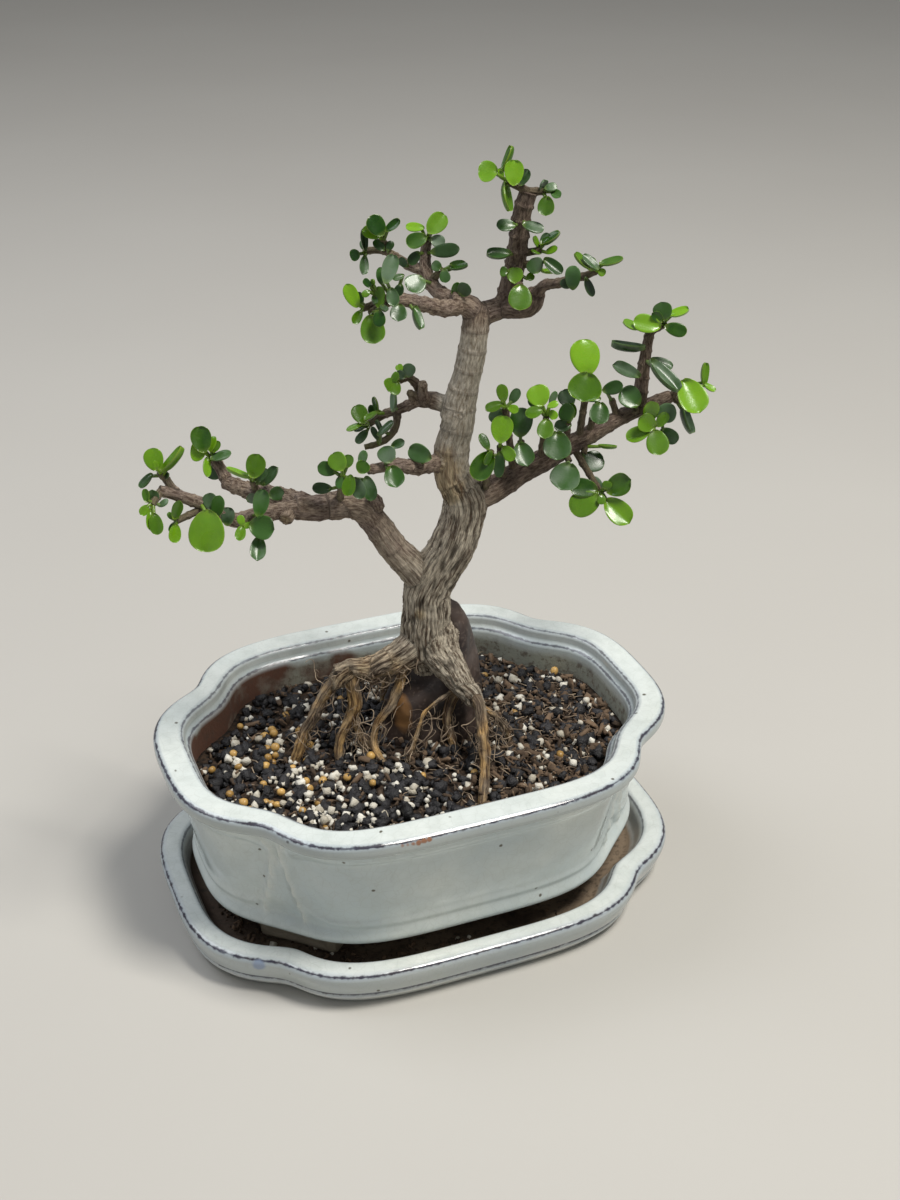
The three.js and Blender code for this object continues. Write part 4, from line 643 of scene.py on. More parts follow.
    low = add_node(material, "Math", {0: along, 1: bare_above}, operation="LESS_THAN")
    bare = add_node(material, "Math", {0: under.outputs[0], 1: low.outputs[0]},
        operation="MULTIPLY")
    colour = add_node(material, "Mix", {0: bare.outputs[0], MIX_A: colour.outputs[MIX_RESULT],
        MIX_B: linear(body)}, data_type="RGBA")
    link(material, colour.outputs[MIX_RESULT], bsdf.inputs["Base Color"])

    # Glass where glazed, chalky where bare or dirty.
    dull = add_node(material, "Math", {0: inside.outputs[0], 1: bare.outputs[0]},
        operation="MAXIMUM")
    smear = add_node(material, "MapRange", {0: patches.outputs["Fac"], 1: 0.35, 2: 0.7, 3: 0.07,
        4: 0.22})
    rough = add_node(material, "Mix", {0: dull.outputs[0], 2: smear.outputs[0], 3: 0.82})
    link(material, rough.outputs[0], bsdf.inputs["Roughness"])
    orange_peel = add_node(material, "TexNoise", {"Vector": place, "Scale": 140.0, "Detail": 2.0})
    gritty = add_node(material, "TexNoise", {"Vector": place, "Scale": 900.0, "Detail": 4.0})
    grit = add_node(material, "Math", {0: gritty.outputs["Fac"], 1: dull.outputs[0]},
        operation="MULTIPLY")
    surface = add_node(material, "Math", {0: orange_peel.outputs["Fac"], 1: 0.35,
        2: grit.outputs[0]}, operation="MULTIPLY_ADD")
    bump = add_node(material, "Bump", {"Height": surface.outputs[0], "Strength": 0.35,
        "Distance": 0.0006})
    link(material, bump.outputs[0], bsdf.inputs["Normal"])
    return material


# The line at POT_LIP_LOW, in the corner under the lip's overhang, is painted shadow.
pot_glaze = glaze_material("crackle_celadon_glaze", dark_lines=[(POT_EDGE, 0.66, 0.95),
    (POT_LIP_LOW, 0.45, 0.85), (POT_INNER_EDGE, 0.5, 0.7), (POT_INNER_LIP, 0.5, 0.75)],
    band=(POT_LIP_LOW, POT_EDGE, "#a9b0af", 0.75), bare_above=POT_INNER_LIP + 2.5,
    bare_below_z=19.6, body="#a39885", pale="#d8dfda", cool="#bfcbcc", stain="#a3a698",
    grime="#674738", crumb="#5a463a", blots=[*[(x, -79.6, 77.4, 1.2, "#94603c")
    for x in (-33, -31, -29, -27, -25, -23)], (-80, -46, 72, 1.3, "#35302a")])
pot.data.materials.append(pot_glaze)
notch = math.radians(213)
notch_reach = float(lobed(notch, SAUCER_OUTER, 0.5))
saucer_glaze = glaze_material("blue_white_saucer_glaze", dark_lines=[(SAUCER_EDGE, 0.72, 0.95),
    (SAUCER_GROOVE, 0.55, 0.8), (SAUCER_INNER_EDGE, 0.5, 0.6)], band=(SAUCER_GROOVE + 1,
    SAUCER_EDGE, "#a3adb0", 0.6), bare_above=SAUCER_FOOT - 1, bare_below_z=-9, body="#a9a08e",
    pale="#dfe1da", cool="#c6cdcf", stain="#7d6d5a", grime="#4b3d31", crumb="#2b231c",
    blots=[(notch_reach * math.cos(notch), notch_reach * math.sin(notch), 16, 3.2, "#93a2bb")])
saucer.data.materials.append(saucer_glaze)
print("glazes:", pot_glaze.name, saucer_glaze.name)

# %% [markdown]
# ## The tree's own layout
# Every limb is a smooth curve through a few marked places, given as across, away and up in the
# tree's own axes, with its radius at both ends. Every leaf is given by the way it points and how
# far its face is turned, as seen from the tree's best side, by its length and width, and by
# where its claw starts and its blade begins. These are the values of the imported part.

# %% Limbs, roots, leaves and stone, in millimetres
TREE_TURN = math.radians(-21.66)
TREE_BASE = np.array([2.95, 7.43, 0])
LOOK_DOWN = math.radians(29.5)
LIMBS = [dict(node=node, radii=radii, route=route) for node, radii, route in (
    ("tree_wood", [10.0, 8.3], [[6, 0, 103], [5, 0, 113], [6, 0, 122], [6, 0, 130], [11, 0, 141],
        [16, 0, 150], [20, 1, 162], [21, 1, 170], [19, 1, 176]]),
    ("tree_wood", [9.6, 6.5], [[5, 0, 107], [6, 3, 96], [7, 6, 82]]),
    ("tree_wood", [9.8, 2.4], [[9, 0, 109], [11, -4, 104], [16, -8, 98], [20, -11, 93],
        [24, -13, 88], [28, -14, 84]]),
    ("tree_wood", [7.6, 3.0], [[5, 0, 112], [-2, -4, 105], [-10, -7, 101], [-18, -10, 100],
        [-25, -12, 101], [-31, -13, 100]]),
    ("tree_wood", [7.2, 4.9], [[20, 1, 173], [16, 1, 182], [16, 1, 192], [18, 1, 201],
        [19, 2, 210], [22, 2, 223], [24, 2, 235], [25, 2, 245]]),
    ("tree_wood", [6.6, 4.6], [[7, 0, 130], [0, -2, 142], [-7, -5, 152], [-14, -8, 165],
        [-20, -11, 173], [-28, -14, 175], [-35, -17, 175], [-43, -20, 177]]),
    ("tree_wood", [5.6, 2.6], [[20, 1, 170], [28, 3, 171], [36, 7, 174], [43, 11, 177],
        [51, 16, 179], [59, 21, 182], [71, 27, 186], [82, 33, 190], [93, 38, 193],
        [104, 42, 196]]),
    ("tree_wood", [3.4, 3.4], [[19, 2, 210], [14, 5, 208], [8, 9, 208], [4, 12, 207]]),
    ("tree_wood", [4.4, 3.9], [[25, 2, 245], [21, 0, 249], [15, -2, 251]]),
    ("tree_wood", [4.4, 4.0], [[24, 2, 244], [30, 4, 245], [35, 5, 247], [37, 6, 252]]),
    ("tree_wood", [3.9, 3.5], [[33, 5, 246], [41, 1, 247], [45, -2, 250], [46, -4, 255]]),
    ("tree_wood", [3.3, 2.9], [[-44, -19, 177], [-45, -23, 176], [-46, -27, 175]]),
    ("tree_wood", [3.2, 2.4], [[-14, -9, 167], [-13, -9, 174]]),
    ("tree_wood", [5.4, 4.4], [[17, 1, 186], [10, -2, 188]]),
    ("left_low_shoot", [3.6, 1.9], [[-39, -19, 176], [-50, -24, 177], [-58, -28, 177],
        [-64, -31, 177], [-72, -34, 184], [-78, -37, 188], [-83, -39, 191], [-89, -41, 194]]),
    ("left_low_shoot", [1.9, 1.5], [[-82, -38, 190], [-85, -37, 193], [-87, -36, 196]]),
    ("left_high_shoot", [3.9, 3.0], [[-39, -17, 177], [-48, -10, 176], [-57, -4, 175],
        [-65, 2, 174], [-72, 6, 175]]),
    ("left_high_shoot", [2.5, 2.0], [[-71, 5, 175], [-74, 8, 180], [-77, 9, 184]]),
    ("mid_left_low_shoot", [3.7, 1.7], [[12, 0, 186], [7, -6, 188], [2, -11, 189], [-4, -17, 193],
        [-11, -22, 194], [-15, -24, 194]]),
    ("mid_left_high_shoot", [2.4, 1.4], [[5, 11, 208], [1, 13, 205], [-5, 16, 201],
        [-10, 19, 198], [-14, 20, 195], [-17, 20, 193]]),
    ("mid_left_high_shoot", [1.6, 1.1], [[-5, 16, 201], [-6, 15, 194], [-9, 14, 190],
        [-13, 13, 188], [-18, 12, 187]]),
    ("mid_left_sprout", [2.0, 1.4], [[5, 11, 208], [2, 9, 215], [-1, 7, 218], [-4, 6, 217]]),
    ("top_left_low_limb", [3.3, 2.2], [[19, -1, 249], [13, -7, 250], [6, -14, 254],
        [-1, -21, 258], [-5, -24, 259]]),
    ("top_left_high_limb", [3.3, 1.7], [[18, -1, 250], [11, 5, 252], [7, 10, 256], [6, 14, 262],
        [7, 17, 269]]),
    ("top_left_side_limb", [2.2, 1.2], [[6, 12, 258], [1, 16, 258], [-4, 19, 260], [-9, 22, 262],
        [-13, 23, 262], [-17, 24, 261]]),
    ("top_left_side_limb", [1.6, 1.2], [[-9, 22, 262], [-9, 22, 264], [-10, 21, 267]]),
    ("top_right_leader", [4.0, 3.3], [[36, 6, 249], [37, 6, 254], [39, 6, 263], [40, 5, 273],
        [41, 5, 282], [43, 5, 289]]),
    ("top_right_twig", [2.2, 1.2], [[46, -4, 254], [49, -8, 259], [53, -12, 261], [58, -16, 264],
        [62, -19, 266], [66, -22, 269]]),
    ("right_upright", [3.3, 1.5], [[90, 36, 192], [91, 37, 202], [92, 39, 212], [93, 40, 220],
        [94, 40, 224], [100, 41, 227]]),
    ("left_tip_upper", [1.5, 1.3], [[-87, -36, 196], [-88.5, -39, 200]]),
    ("left_tip_lower", [1.5, 1.3], [[-88.5, -41, 193.5], [-91, -47, 191]]),
    ("left_tip_drop", [1.5, 1.3], [[-73, -34.5, 184.5], [-83.5, -42.5, 182.5]]),
    ("left_small_rosette", [1.5, 1.3], [[-59, -28.5, 177], [-60, -35.5, 178]]),
    ("left_high_bright", [1.5, 1.3], [[-59, -2.5, 174.5], [-59.5, -8.5, 182.5]]),
    ("left_cluster", [1.5, 1.3], [[-26.5, -13.5, 174.5], [-24.5, -25.5, 192.5]]),
    ("top_left_fan", [1.5, 1.3], [[8, 9, 255], [12.5, 6, 260]]),
    ("top_left_triangle", [1.5, 1.3], [[14.5, 2, 251], [18, -2, 254]]),
    ("low_limb_front", [1.5, 1.3], [[-5, -24, 259], [-10, -32, 263.5]]),
    ("low_limb_west", [1.5, 1.3], [[-5, -24, 259], [-15, -31, 258.5]]),
    ("low_limb_big", [1.5, 1.3], [[-5, -24, 259], [-12, -34, 258]]),
    ("leader_crown", [1.5, 1.3], [[43, 5, 289], [35, 2, 293.5]]),
    ("leader_right", [1.5, 1.3], [[43, 5, 289], [49, 5, 289]]),
    ("leader_side", [1.5, 1.3], [[39, 5.5, 266], [48, 5.5, 267.5]]),
    ("leader_fork", [1.5, 1.3], [[38.5, 6, 262], [47.5, 2, 263.5]]),
    ("stub_drop", [1.5, 1.3], [[41, 0.5, 247], [40, -8.5, 259.5]]),
    ("right_bright_low", [1.5, 1.3], [[28.5, 3, 171], [30.5, -11, 195.5]]),
    ("right_low_round", [1.5, 1.3], [[36, 7, 174.5], [34, -4, 194.5]]),
    ("right_front_rosette", [1.5, 1.3], [[40, 9, 176], [36, 3, 208]]),
    ("right_grey_pair", [1.5, 1.3], [[44, 11.5, 177.5], [42.5, 8.5, 191]]),
    ("right_mid_rosette", [1.5, 1.3], [[50.5, 15.5, 179], [52, 8.5, 202]]),
    ("right_grey_round", [1.5, 1.3], [[57, 19.5, 181.5], [56, 11.5, 191]]),
    ("right_back_leaves", [1.5, 1.3], [[61, 22, 182.5], [61, 19, 194.5]]),
    ("right_big_pair", [1.5, 1.3], [[66, 24.5, 184.5], [68, 17.5, 212]]),
    ("right_big_under", [1.5, 1.3], [[70, 26.5, 185.5], [72, 22.5, 200]]),
    ("right_under", [1.5, 1.3], [[69.5, 26.5, 185.5], [68, 21.5, 180]]),
    ("right_under_round", [1.5, 1.3], [[59.5, 21, 182.5], [62, 16, 179]]),
    ("right_lower_rosette", [1.5, 1.3], [[63, 23, 183.5], [75, 14, 166]]),
    ("right_node_grey", [1.5, 1.3], [[82, 33, 190], [79, 31, 199]]),
    ("right_fork_round", [1.5, 1.3], [[88, 35.5, 191.5], [89, 31.5, 194.5]]),
    ("right_front_bright", [1.5, 1.3], [[94.5, 38.5, 193], [96, 29.5, 188]]),
    ("right_front_dark", [1.5, 1.3], [[98.5, 40, 194.5], [100.5, 36, 187.5]]),
    ("right_front_grey", [1.5, 1.3], [[98.5, 40, 194.5], [97, 36, 194.5]]),
    ("right_tip", [1.5, 1.3], [[103.5, 41.5, 195.5], [107.5, 38.5, 202.5]]),
    ("right_hanging", [1.5, 1.3], [[104, 42, 196], [107, 42, 193.5]]))]
ROOTS = [dict(radii=radii, route=route) for radii, route in (
    ([2.8, 2.1], [[-28, -13, 100], [-32, -14, 95], [-36, -15, 89], [-40, -17, 81], [-44, -18, 74],
        [-46, -20, 68], [-48, -22, 62]]),
    ([3.4, 1.4], [[-24, -12, 100], [-24, -13, 93], [-23, -15, 87], [-25, -16, 80], [-28, -18, 75],
        [-30, -20, 69], [-30, -22, 62]]),
    ([1.6, 1.1], [[-25, -15, 81], [-22, -16, 73], [-19, -18, 67], [-20, -20, 62]]),
    ([2.6, 1.2], [[-3, -6, 101], [-6, -9, 89], [-9, -12, 83], [-14, -15, 77], [-16, -18, 70],
        [-14, -22, 66], [-10, -26, 62]]),
    ([1.2, 0.9], [[17, -12, 91], [11, -14, 87], [5, -17, 83], [2, -20, 75], [-2, -23, 62]]),
    ([2.3, 1.5], [[18, -10, 90], [15, -11, 83], [14, -13, 76], [16, -15, 68], [17, -17, 62]]),
    ([2.5, 2.2], [[23, -12, 91], [27, -18, 87], [28, -24, 81], [29, -32, 74], [29, -39, 67],
        [28, -48, 62]]),
    ([1.7, 1.1], [[25, -13, 86], [30, -12, 81], [35, -11, 76], [39, -10, 69], [40, -9, 62]]),
    ([3.0, 1.4], [[0, 6, 114], [2, 15, 110], [6, 24, 98], [13, 29, 80], [20, 31, 61]]),
    ([3.0, 1.4], [[6, 3, 104], [-2, 10, 97], [-9, 16, 87], [-13, 20, 70]]))]
ROOT_DEPTH = 9
FOLIAGE = {  # tone, way, turn of the face, length, width, claw from, blade from
    "left_tip_upper": [
        ["bright", 108, 0, 8.5, 7, [-88, -38.5, 199], [-89, -40, 201]],
        ["bright", 32, 55, 12, 5, [-88, -38.5, 199], [-87, -40, 200]],
        ["deep", 223, -35, 7, 4, [-88, -38.5, 199], [-91, -38, 199]],
        ["bright", 96, 0, 3.5, 2, [-88, -38.5, 199], [-89, -42, 202.5]],
        ["deep", 24, 30, 3.5, 2.5, [-87, -36, 196], [-87, -38, 197.5]],
    ],
    "left_tip_lower": [
        ["bright", 98, 20, 5, 3, [-90.5, -46, 191.5], [-92, -48, 192.5]],
        ["deep", 83, 0, 5.5, 4.5, [-90, -44.5, 192], [-90.5, -44, 190.5]],
        ["bright", 222, 20, 4.5, 3.5, [-90.5, -46, 191.5], [-92, -48, 191.5]],
        ["bright", 268, 30, 8, 3.5, [-90.5, -46, 191.5], [-91.5, -48, 190]],
        ["bright", 282, 0, 8, 5, [-90.5, -46, 191.5], [-90, -50, 189.5]],
        ["deep", 36, 30, 4.5, 3, [-90.5, -45.5, 191.5], [-89, -45, 189.5]],
    ],
    "left_tip_drop": [
        ["bright", 95, 0, 7.5, 4, [-82.5, -42, 182.5], [-84, -43.5, 184]],
        ["bright", 267, 45, 7, 5, [-82.5, -42, 182.5], [-84, -43.5, 182]],
        ["bright", 117, 0, 3, 2, [-82.5, -42, 182.5], [-85, -42.5, 183]],
        ["bright", 253, 20, 3.5, 2, [-82.5, -42, 182.5], [-85, -42.5, 181.5]],
    ],
    "left_low_shoot": [
        ["bright", 266, 0, 15.5, 13, [-75.5, -36, 186.5], [-71.5, -43, 187.5]],
        ["deep", 124, 0, 6.5, 5.5, [-72.5, -34.5, 184.5], [-70.5, -38, 184.5]],
        ["deep", 75, 0, 8.5, 5, [-71, -34, 183.5], [-69.5, -39.5, 182.5]],
        ["deep", 84, 0, 7, 5, [-66.5, -32, 179], [-66.5, -36, 177]],
        ["deep", 349, 0, 9.5, 9, [-61, -29.5, 177], [-58, -36.5, 178]],
        ["deep", 266, 0, 9.5, 6, [-58.5, -28, 177], [-55, -35.5, 172]],
        ["deep", 80, 0, 10.5, 6, [-58.5, -28, 177], [-54.5, -36, 180.5]],
    ],
    "left_small_rosette": [
        ["bright", 105, 0, 4, 3, [-60, -34.5, 178], [-60.5, -37.5, 178]],
        ["bright", 259, 0, 6, 4, [-60, -34.5, 178], [-60.5, -37.5, 178]],
        ["bright", 326, 0, 2.5, 3, [-59.5, -33, 177], [-59.5, -35.5, 178.5]],
    ],
    "left_high_shoot": [
        ["bright", 173, 0, 6, 8, [-76.5, 9, 183], [-78.5, 5, 188]],
        ["bright", 102, 0, 10.5, 8, [-76.5, 9, 183], [-79, 4, 188]],
        ["bright", 77, 20, 6.5, 3.5, [-76.5, 9, 183], [-77, 5, 188]],
        ["bright", 63, 0, 5, 3, [-76.5, 9, 183], [-76, 6, 187.5]],
        ["deep", 21, 25, 8.5, 5, [-76.5, 9, 183], [-77, 4.5, 185]],
        ["bright", 262, 45, 8, 4, [-76.5, 9, 183], [-79, 6, 185.5]],
        ["deep", 255, 0, 6, 6, [-75.5, 8.5, 181.5], [-76, 10, 180.5]],
        ["deep", 53, 0, 5.5, 4.5, [-59.5, -2, 174.5], [-62.5, -6, 173]],
        ["deep", 22, 0, 6, 5.5, [-50, -8.5, 175.5], [-53, -13, 178]],
    ],
    "left_high_bright": [
        ["bright", 70, 0, 9.5, 8, [-59.5, -8, 181.5], [-59, -10.5, 184.5]],
        ["bright", 154, -70, 11, 3.5, [-59.5, -8, 181.5], [-59.5, -8.5, 183]],
        ["deep", 47, 0, 6.5, 3.5, [-59.5, -8, 181.5], [-58, -9.5, 182.5]],
        ["deep", 28, 20, 9.5, 5, [-59.5, -7.5, 181], [-55.5, -8.5, 180]],
    ],
    "left_cluster": [
        ["deep", 163, 0, 7.5, 5.5, [-24.5, -25, 191.5], [-26.5, -24.5, 193.5]],
        ["bright", 125, 0, 7.5, 7, [-24.5, -25, 191.5], [-23.5, -27.5, 195.5]],
        ["bright", 82, 0, 5, 4, [-24.5, -25, 191.5], [-22.5, -25.5, 195.5]],
        ["deep", 180, -15, 7.5, 4.5, [-25.5, -20.5, 185.5], [-28.5, -21.5, 185]],
        ["bright", 260, 0, 8, 5, [-24.5, -25, 191.5], [-21, -28.5, 194.5]],
        ["deep", 278, 0, 5, 4.5, [-25, -23.5, 191.5], [-25, -25.5, 192.5]],
        ["deep", 289, 0, 8.5, 5.5, [-24.5, -25, 191.5], [-20, -25.5, 192]],
        ["deep", 313, 0, 9.5, 5.5, [-24.5, -25, 191.5], [-16, -23.5, 191.5]],
    ],
    "mid_left_low_shoot": [
        ["bright", 62, 0, 5, 5.5, [-14, -23.5, 194.5], [-17.5, -29, 195]],
        ["deep", 103, 0, 6, 3.5, [-14, -23.5, 194.5], [-17.5, -26, 196.5]],
        ["deep", 112, 0, 6.5, 7, [-9.5, -20.5, 194], [-6.5, -24, 197]],
        ["deep", 285, 0, 8.5, 7.5, [-9.5, -20.5, 194], [-6.5, -24, 195.5]],
        ["deep", 23, 0, 5.5, 3.5, [-5.5, -18, 193.5], [-6.5, -15.5, 199.5]],
        ["deep", 157, 0, 9.5, 7, [3, -9.5, 188.5], [8.5, -14, 194]],
    ],
    "mid_left_high_shoot": [
        ["bright", 115, 0, 8, 6.5, [-16, 20, 193.5], [-18, 16, 195]],
        ["deep", 106, -30, 5.5, 3, [-14.5, 20, 195], [-15, 19, 196]],
        ["bright", 198, -40, 7, 3.5, [-16, 20, 193.5], [-18.5, 16, 195]],
        ["deep", 212, -30, 5, 3, [-16, 20, 193.5], [-17.5, 18, 193]],
        ["deep", 225, -20, 7, 4, [-16, 20, 193.5], [-16.5, 17, 192]],
        ["bright", 97, 60, 6.5, 3.5, [-10.5, 19, 197.5], [-12.5, 16.5, 199.5]],
        ["bright", 223, -30, 6.5, 3, [-9.5, 18.5, 198.5], [-12.5, 15.5, 200]],
        ["deep", 93, 60, 8, 4.5, [-4.5, 15.5, 201.5], [-6, 12.5, 201.5]],
        ["deep", 34, 40, 8.5, 3.5, [-12, 13, 188.5], [-12.5, 9.5, 192.5]],
        ["deep", 117, 0, 6, 2.5, [-12.5, 13, 188], [-12.5, 10.5, 190.5]],
        ["deep", 101, 50, 5.5, 3, [-7.5, 14.5, 191], [-10.5, 11.5, 193.5]],
    ],
    "mid_left_sprout": [
        ["bright", 225, 0, 5.5, 7.5, [-3.5, 6.5, 217.5], [-4.5, 3, 218]],
        ["bright", 153, 0, 3, 4.5, [-3.5, 6.5, 217.5], [-4, 2.5, 219]],
        ["deep", 153, 0, 4, 3.5, [-2.5, 6.5, 218], [-1.5, 4, 219]],
        ["deep", 75, 0, 5.5, 5, [-1.5, 7, 218], [-1, 5.5, 218.5]],
        ["bright", 117, 0, 3, 3, [-2.5, 6.5, 217.5], [-3, 5, 221]],
    ],
    "top_left_high_limb": [
        ["bright", 49, 0, 9.5, 7, [6.5, 16.5, 268], [7, 12, 271.5]],
        ["bright", 171, -25, 7, 4, [6.5, 16.5, 268], [6, 13, 273]],
        ["bright", 198, -15, 8, 6, [6.5, 16.5, 268], [7, 11, 270.5]],
        ["deep", 342, 0, 5.5, 5, [6.5, 16.5, 268], [8, 12.5, 269.5]],
        ["deep", 8, 55, 5.5, 3.5, [6.5, 16.5, 268], [8, 15, 271]],
        ["deep", 349, 0, 11, 5.5, [6, 15, 263.5], [8, 10.5, 265]],
        ["deep", 230, 0, 6, 4, [6, 15, 263.5], [4, 11.5, 265]],
        ["deep", 225, 0, 8, 8, [9, 7.5, 254.5], [5.5, 2.5, 258]],
    ],
    "top_left_side_limb": [
        ["bright", 126, 0, 8.5, 7, [-9.5, 21.5, 266], [-9.5, 17.5, 269]],
        ["bright", 161, 0, 7.5, 5, [-9.5, 21.5, 266], [-10, 19.5, 268]],
        ["bright", 39, 20, 7, 3.5, [-9.5, 21.5, 266], [-8.5, 18.5, 270]],
        ["deep", 135, 0, 5.5, 3.5, [-9, 22, 263.5], [-9, 19, 263]],
        ["deep", 63, 0, 4, 3, [-7.5, 21, 261], [-8, 19, 263]],
        ["deep", 105, -30, 8.5, 3, [-16, 23.5, 261], [-16.5, 21, 262]],
        ["deep", 100, 0, 4, 3, [-16.5, 26, 260.5], [-16.5, 24, 261.5]],
        ["bright", 195, 0, 4, 4.5, [-16, 23.5, 261], [-18, 20.5, 261.5]],
        ["deep", 261, 40, 7.5, 4, [-16, 23.5, 261], [-17, 21, 260.5]],
        ["deep", 132, 0, 4.5, 3, [0.5, 16.5, 258], [-0.5, 13.5, 258.5]],
    ],
    "top_left_fan": [
        ["deep", 158, 0, 4, 4, [12, 6.5, 259], [12, 6, 260.5]],
        ["deep", 278, 0, 5, 4, [12, 6.5, 259], [13, 5, 260.5]],
        ["deep", 355, 35, 7.5, 3.5, [12, 6.5, 259], [14.5, 6, 260]],
        ["bright", 31, 20, 6, 3, [12, 6.5, 259], [15, 7, 261.5]],
    ],
    "top_left_triangle": [
        ["deep", 52, 0, 5.5, 5.5, [17.5, -1, 253.5], [19, -3, 253.5]],
        ["bright", 94, 0, 5, 3, [17.5, -1, 253.5], [16, -2, 253.5]],
    ],
    "top_left_low_limb": [
        ["deep", 270, 50, 9, 4.5, [0, -20, 257], [2, -22.5, 256]],
        ["deep", 267, 0, 6.5, 6, [-4, -23.5, 258.5], [-2.5, -28.5, 259]],
        ["deep", 73, 0, 10.5, 5.5, [-4, -23.5, 258.5], [-7, -35.5, 268.5]],
        ["deep", 117, 0, 6, 3.5, [-4, -23.5, 258.5], [-8.5, -31.5, 267]],
        ["deep", 249, 0, 4.5, 3.5, [-4, -23.5, 258.5], [-1.5, -27.5, 266]],
        ["deep", 267, 0, 6.5, 4.5, [-4, -23.5, 258.5], [-5, -31.5, 266]],
        ["deep", 203, 0, 4.5, 2.5, [-4, -23.5, 258.5], [-0.5, -26, 268.5]],
    ],
    "low_limb_front": [
        ["bright", 90, 0, 8, 4, [-9.5, -31, 263], [-9, -34, 259]],
        ["bright", 132, 0, 4, 2.5, [-9.5, -31, 263], [-11.5, -33, 266.5]],
        ["bright", 217, 0, 3.5, 2.5, [-9.5, -31, 263], [-12, -33, 265.5]],
        ["bright", 36, 0, 3, 2, [-9.5, -31, 263], [-11, -32, 267]],
        ["deep", 270, 30, 5.5, 2.5, [-9.5, -31, 263], [-11, -33, 263]],
    ],
    "low_limb_west": [
        ["bright", 119, 0, 9, 5, [-14, -30.5, 258.5], [-16.5, -33, 259.5]],
        ["deep", 107, 0, 4.5, 3, [-14, -30.5, 258.5], [-15, -30, 259.5]],
        ["bright", 234, 20, 5.5, 3.5, [-14, -30.5, 258.5], [-15.5, -32, 258]],
    ],
    "low_limb_big": [
        ["bright", 282, 0, 10, 8.5, [-11.5, -33, 258], [-12.5, -35, 257.5]],
        ["bright", 273, 0, 6, 4.5, [-11.5, -33, 258], [-9, -38, 260.5]],
        ["deep", 284, 40, 5.5, 3, [-11, -32.5, 258], [-8, -35, 260.5]],
    ],
    "leader_crown": [
        ["bright", 177, -30, 7, 9, [36, 2.5, 293], [32, 1, 296.5]],
        ["bright", 265, 55, 11, 7, [36, 2.5, 293], [33.5, 1, 293.5]],
        ["bright", 88, 0, 9, 7, [36, 2.5, 293], [37, -3, 293]],
        ["bright", 51, 78, 9.5, 4, [36, 2.5, 293], [34, 2, 296.5]],
        ["bright", 105, 0, 4, 2.5, [36, 2.5, 293], [33.5, 2, 294]],
        ["deep", 58, 0, 6.5, 4, [39.5, 5, 290], [39.5, 3, 291.5]],
    ],
    "leader_right": [
        ["deep", 132, 0, 5, 4, [47.5, 8, 287.5], [47.5, 6, 289]],
        ["deep", 13, 20, 4.5, 3.5, [48, 5, 289], [48.5, 3, 290.5]],
        ["deep", 315, 0, 4.5, 3.5, [48, 5, 289], [51, 4, 289.5]],
        ["bright", 264, 0, 7, 6, [48, 5, 289], [49.5, 2, 288]],
    ],
    "top_right_leader": [
        ["deep", 183, -15, 7, 5, [41, 5, 277.5], [38.5, 0, 278]],
        ["deep", 348, 45, 8, 5.5, [41, 5, 279], [40.5, -2, 279]],
        ["deep", 189, -45, 9, 5.5, [39.5, 5.5, 267], [37, 0.5, 267]],
        ["bright", 90, 0, 6, 6, [37.5, 6, 257.5], [38.5, -2.5, 257.5]],
        ["bright", 173, 0, 3, 4, [38.5, 6, 261], [36, -1.5, 261.5]],
        ["bright", 6, 0, 3.5, 3, [38, 6, 259.5], [42.5, -0.5, 258.5]],
    ],
    "leader_side": [
        ["bright", 33, 50, 8.5, 5, [47, 5.5, 267.5], [48, 4.5, 269]],
        ["deep", 63, 0, 5.5, 3.5, [47, 5.5, 267.5], [48, 6.5, 268.5]],
        ["bright", 162, -30, 4.5, 3.5, [47, 8, 267.5], [47, 5.5, 268.5]],
        ["bright", 17, 30, 5, 3, [47, 5.5, 267.5], [49.5, 4.5, 266.5]],
        ["bright", 180, -40, 4, 3, [47, 5.5, 267.5], [48, 4.5, 266.5]],
    ],
    "leader_fork": [
        ["deep", 123, 0, 6, 6.5, [46.5, 2.5, 263.5], [47, 0, 261]],
        ["deep", 322, 15, 8.5, 5, [46.5, 2.5, 263.5], [48.5, 1, 265.5]],
        ["bright", 357, 45, 7, 3.5, [46.5, 2.5, 263.5], [48, 3, 260]],
    ],
    "stub_drop": [
        ["bright", 268, 0, 9.5, 8.5, [40, -8, 258.5], [40, -10.5, 260]],
    ],
    "top_right_twig": [
        ["deep", 90, 0, 8.5, 5.5, [59, -17, 264.5], [58, -21, 261.5]],
        ["deep", 151, 0, 4.5, 3.5, [58, -16, 263.5], [57.5, -17.5, 261.5]],
        ["bright", 149, -45, 8, 4.5, [65, -21.5, 269], [63.5, -23.5, 269.5]],
        ["deep", 137, -35, 7.5, 4, [65, -21.5, 269], [66, -25.5, 270]],
        ["bright", 85, 0, 4, 3, [65, -21.5, 269], [64, -23, 270]],
        ["bright", 9, 40, 8.5, 4.5, [65, -21.5, 269], [66.5, -24.5, 271.5]],
        ["bright", 328, 0, 3, 3, [65, -21.5, 269], [66, -24.5, 270]],
        ["deep", 295, 45, 7, 4.5, [62.5, -19.5, 267], [62, -21, 266]],
    ],
    "right_bright_low": [
        ["bright", 239, 0, 12, 8.5, [30.5, -10.5, 194.5], [30.5, -13, 196.5]],
        ["bright", 114, -20, 7, 4, [30.5, -10.5, 194.5], [29.5, -11, 196]],
        ["bright", 245, 30, 6, 3, [30.5, -10.5, 194.5], [30.5, -15, 198]],
        ["deep", 268, 20, 10, 4.5, [30.5, -10, 193.5], [33.5, -8, 194.5]],
    ],
    "right_low_round": [
        ["bright", 84, 0, 10.5, 8.5, [34, -3.5, 193.5], [34, -7, 197]],
        ["bright", 309, 0, 7, 5, [34, -3.5, 193.5], [35, -4, 194.5]],
    ],
    "right_front_rosette": [
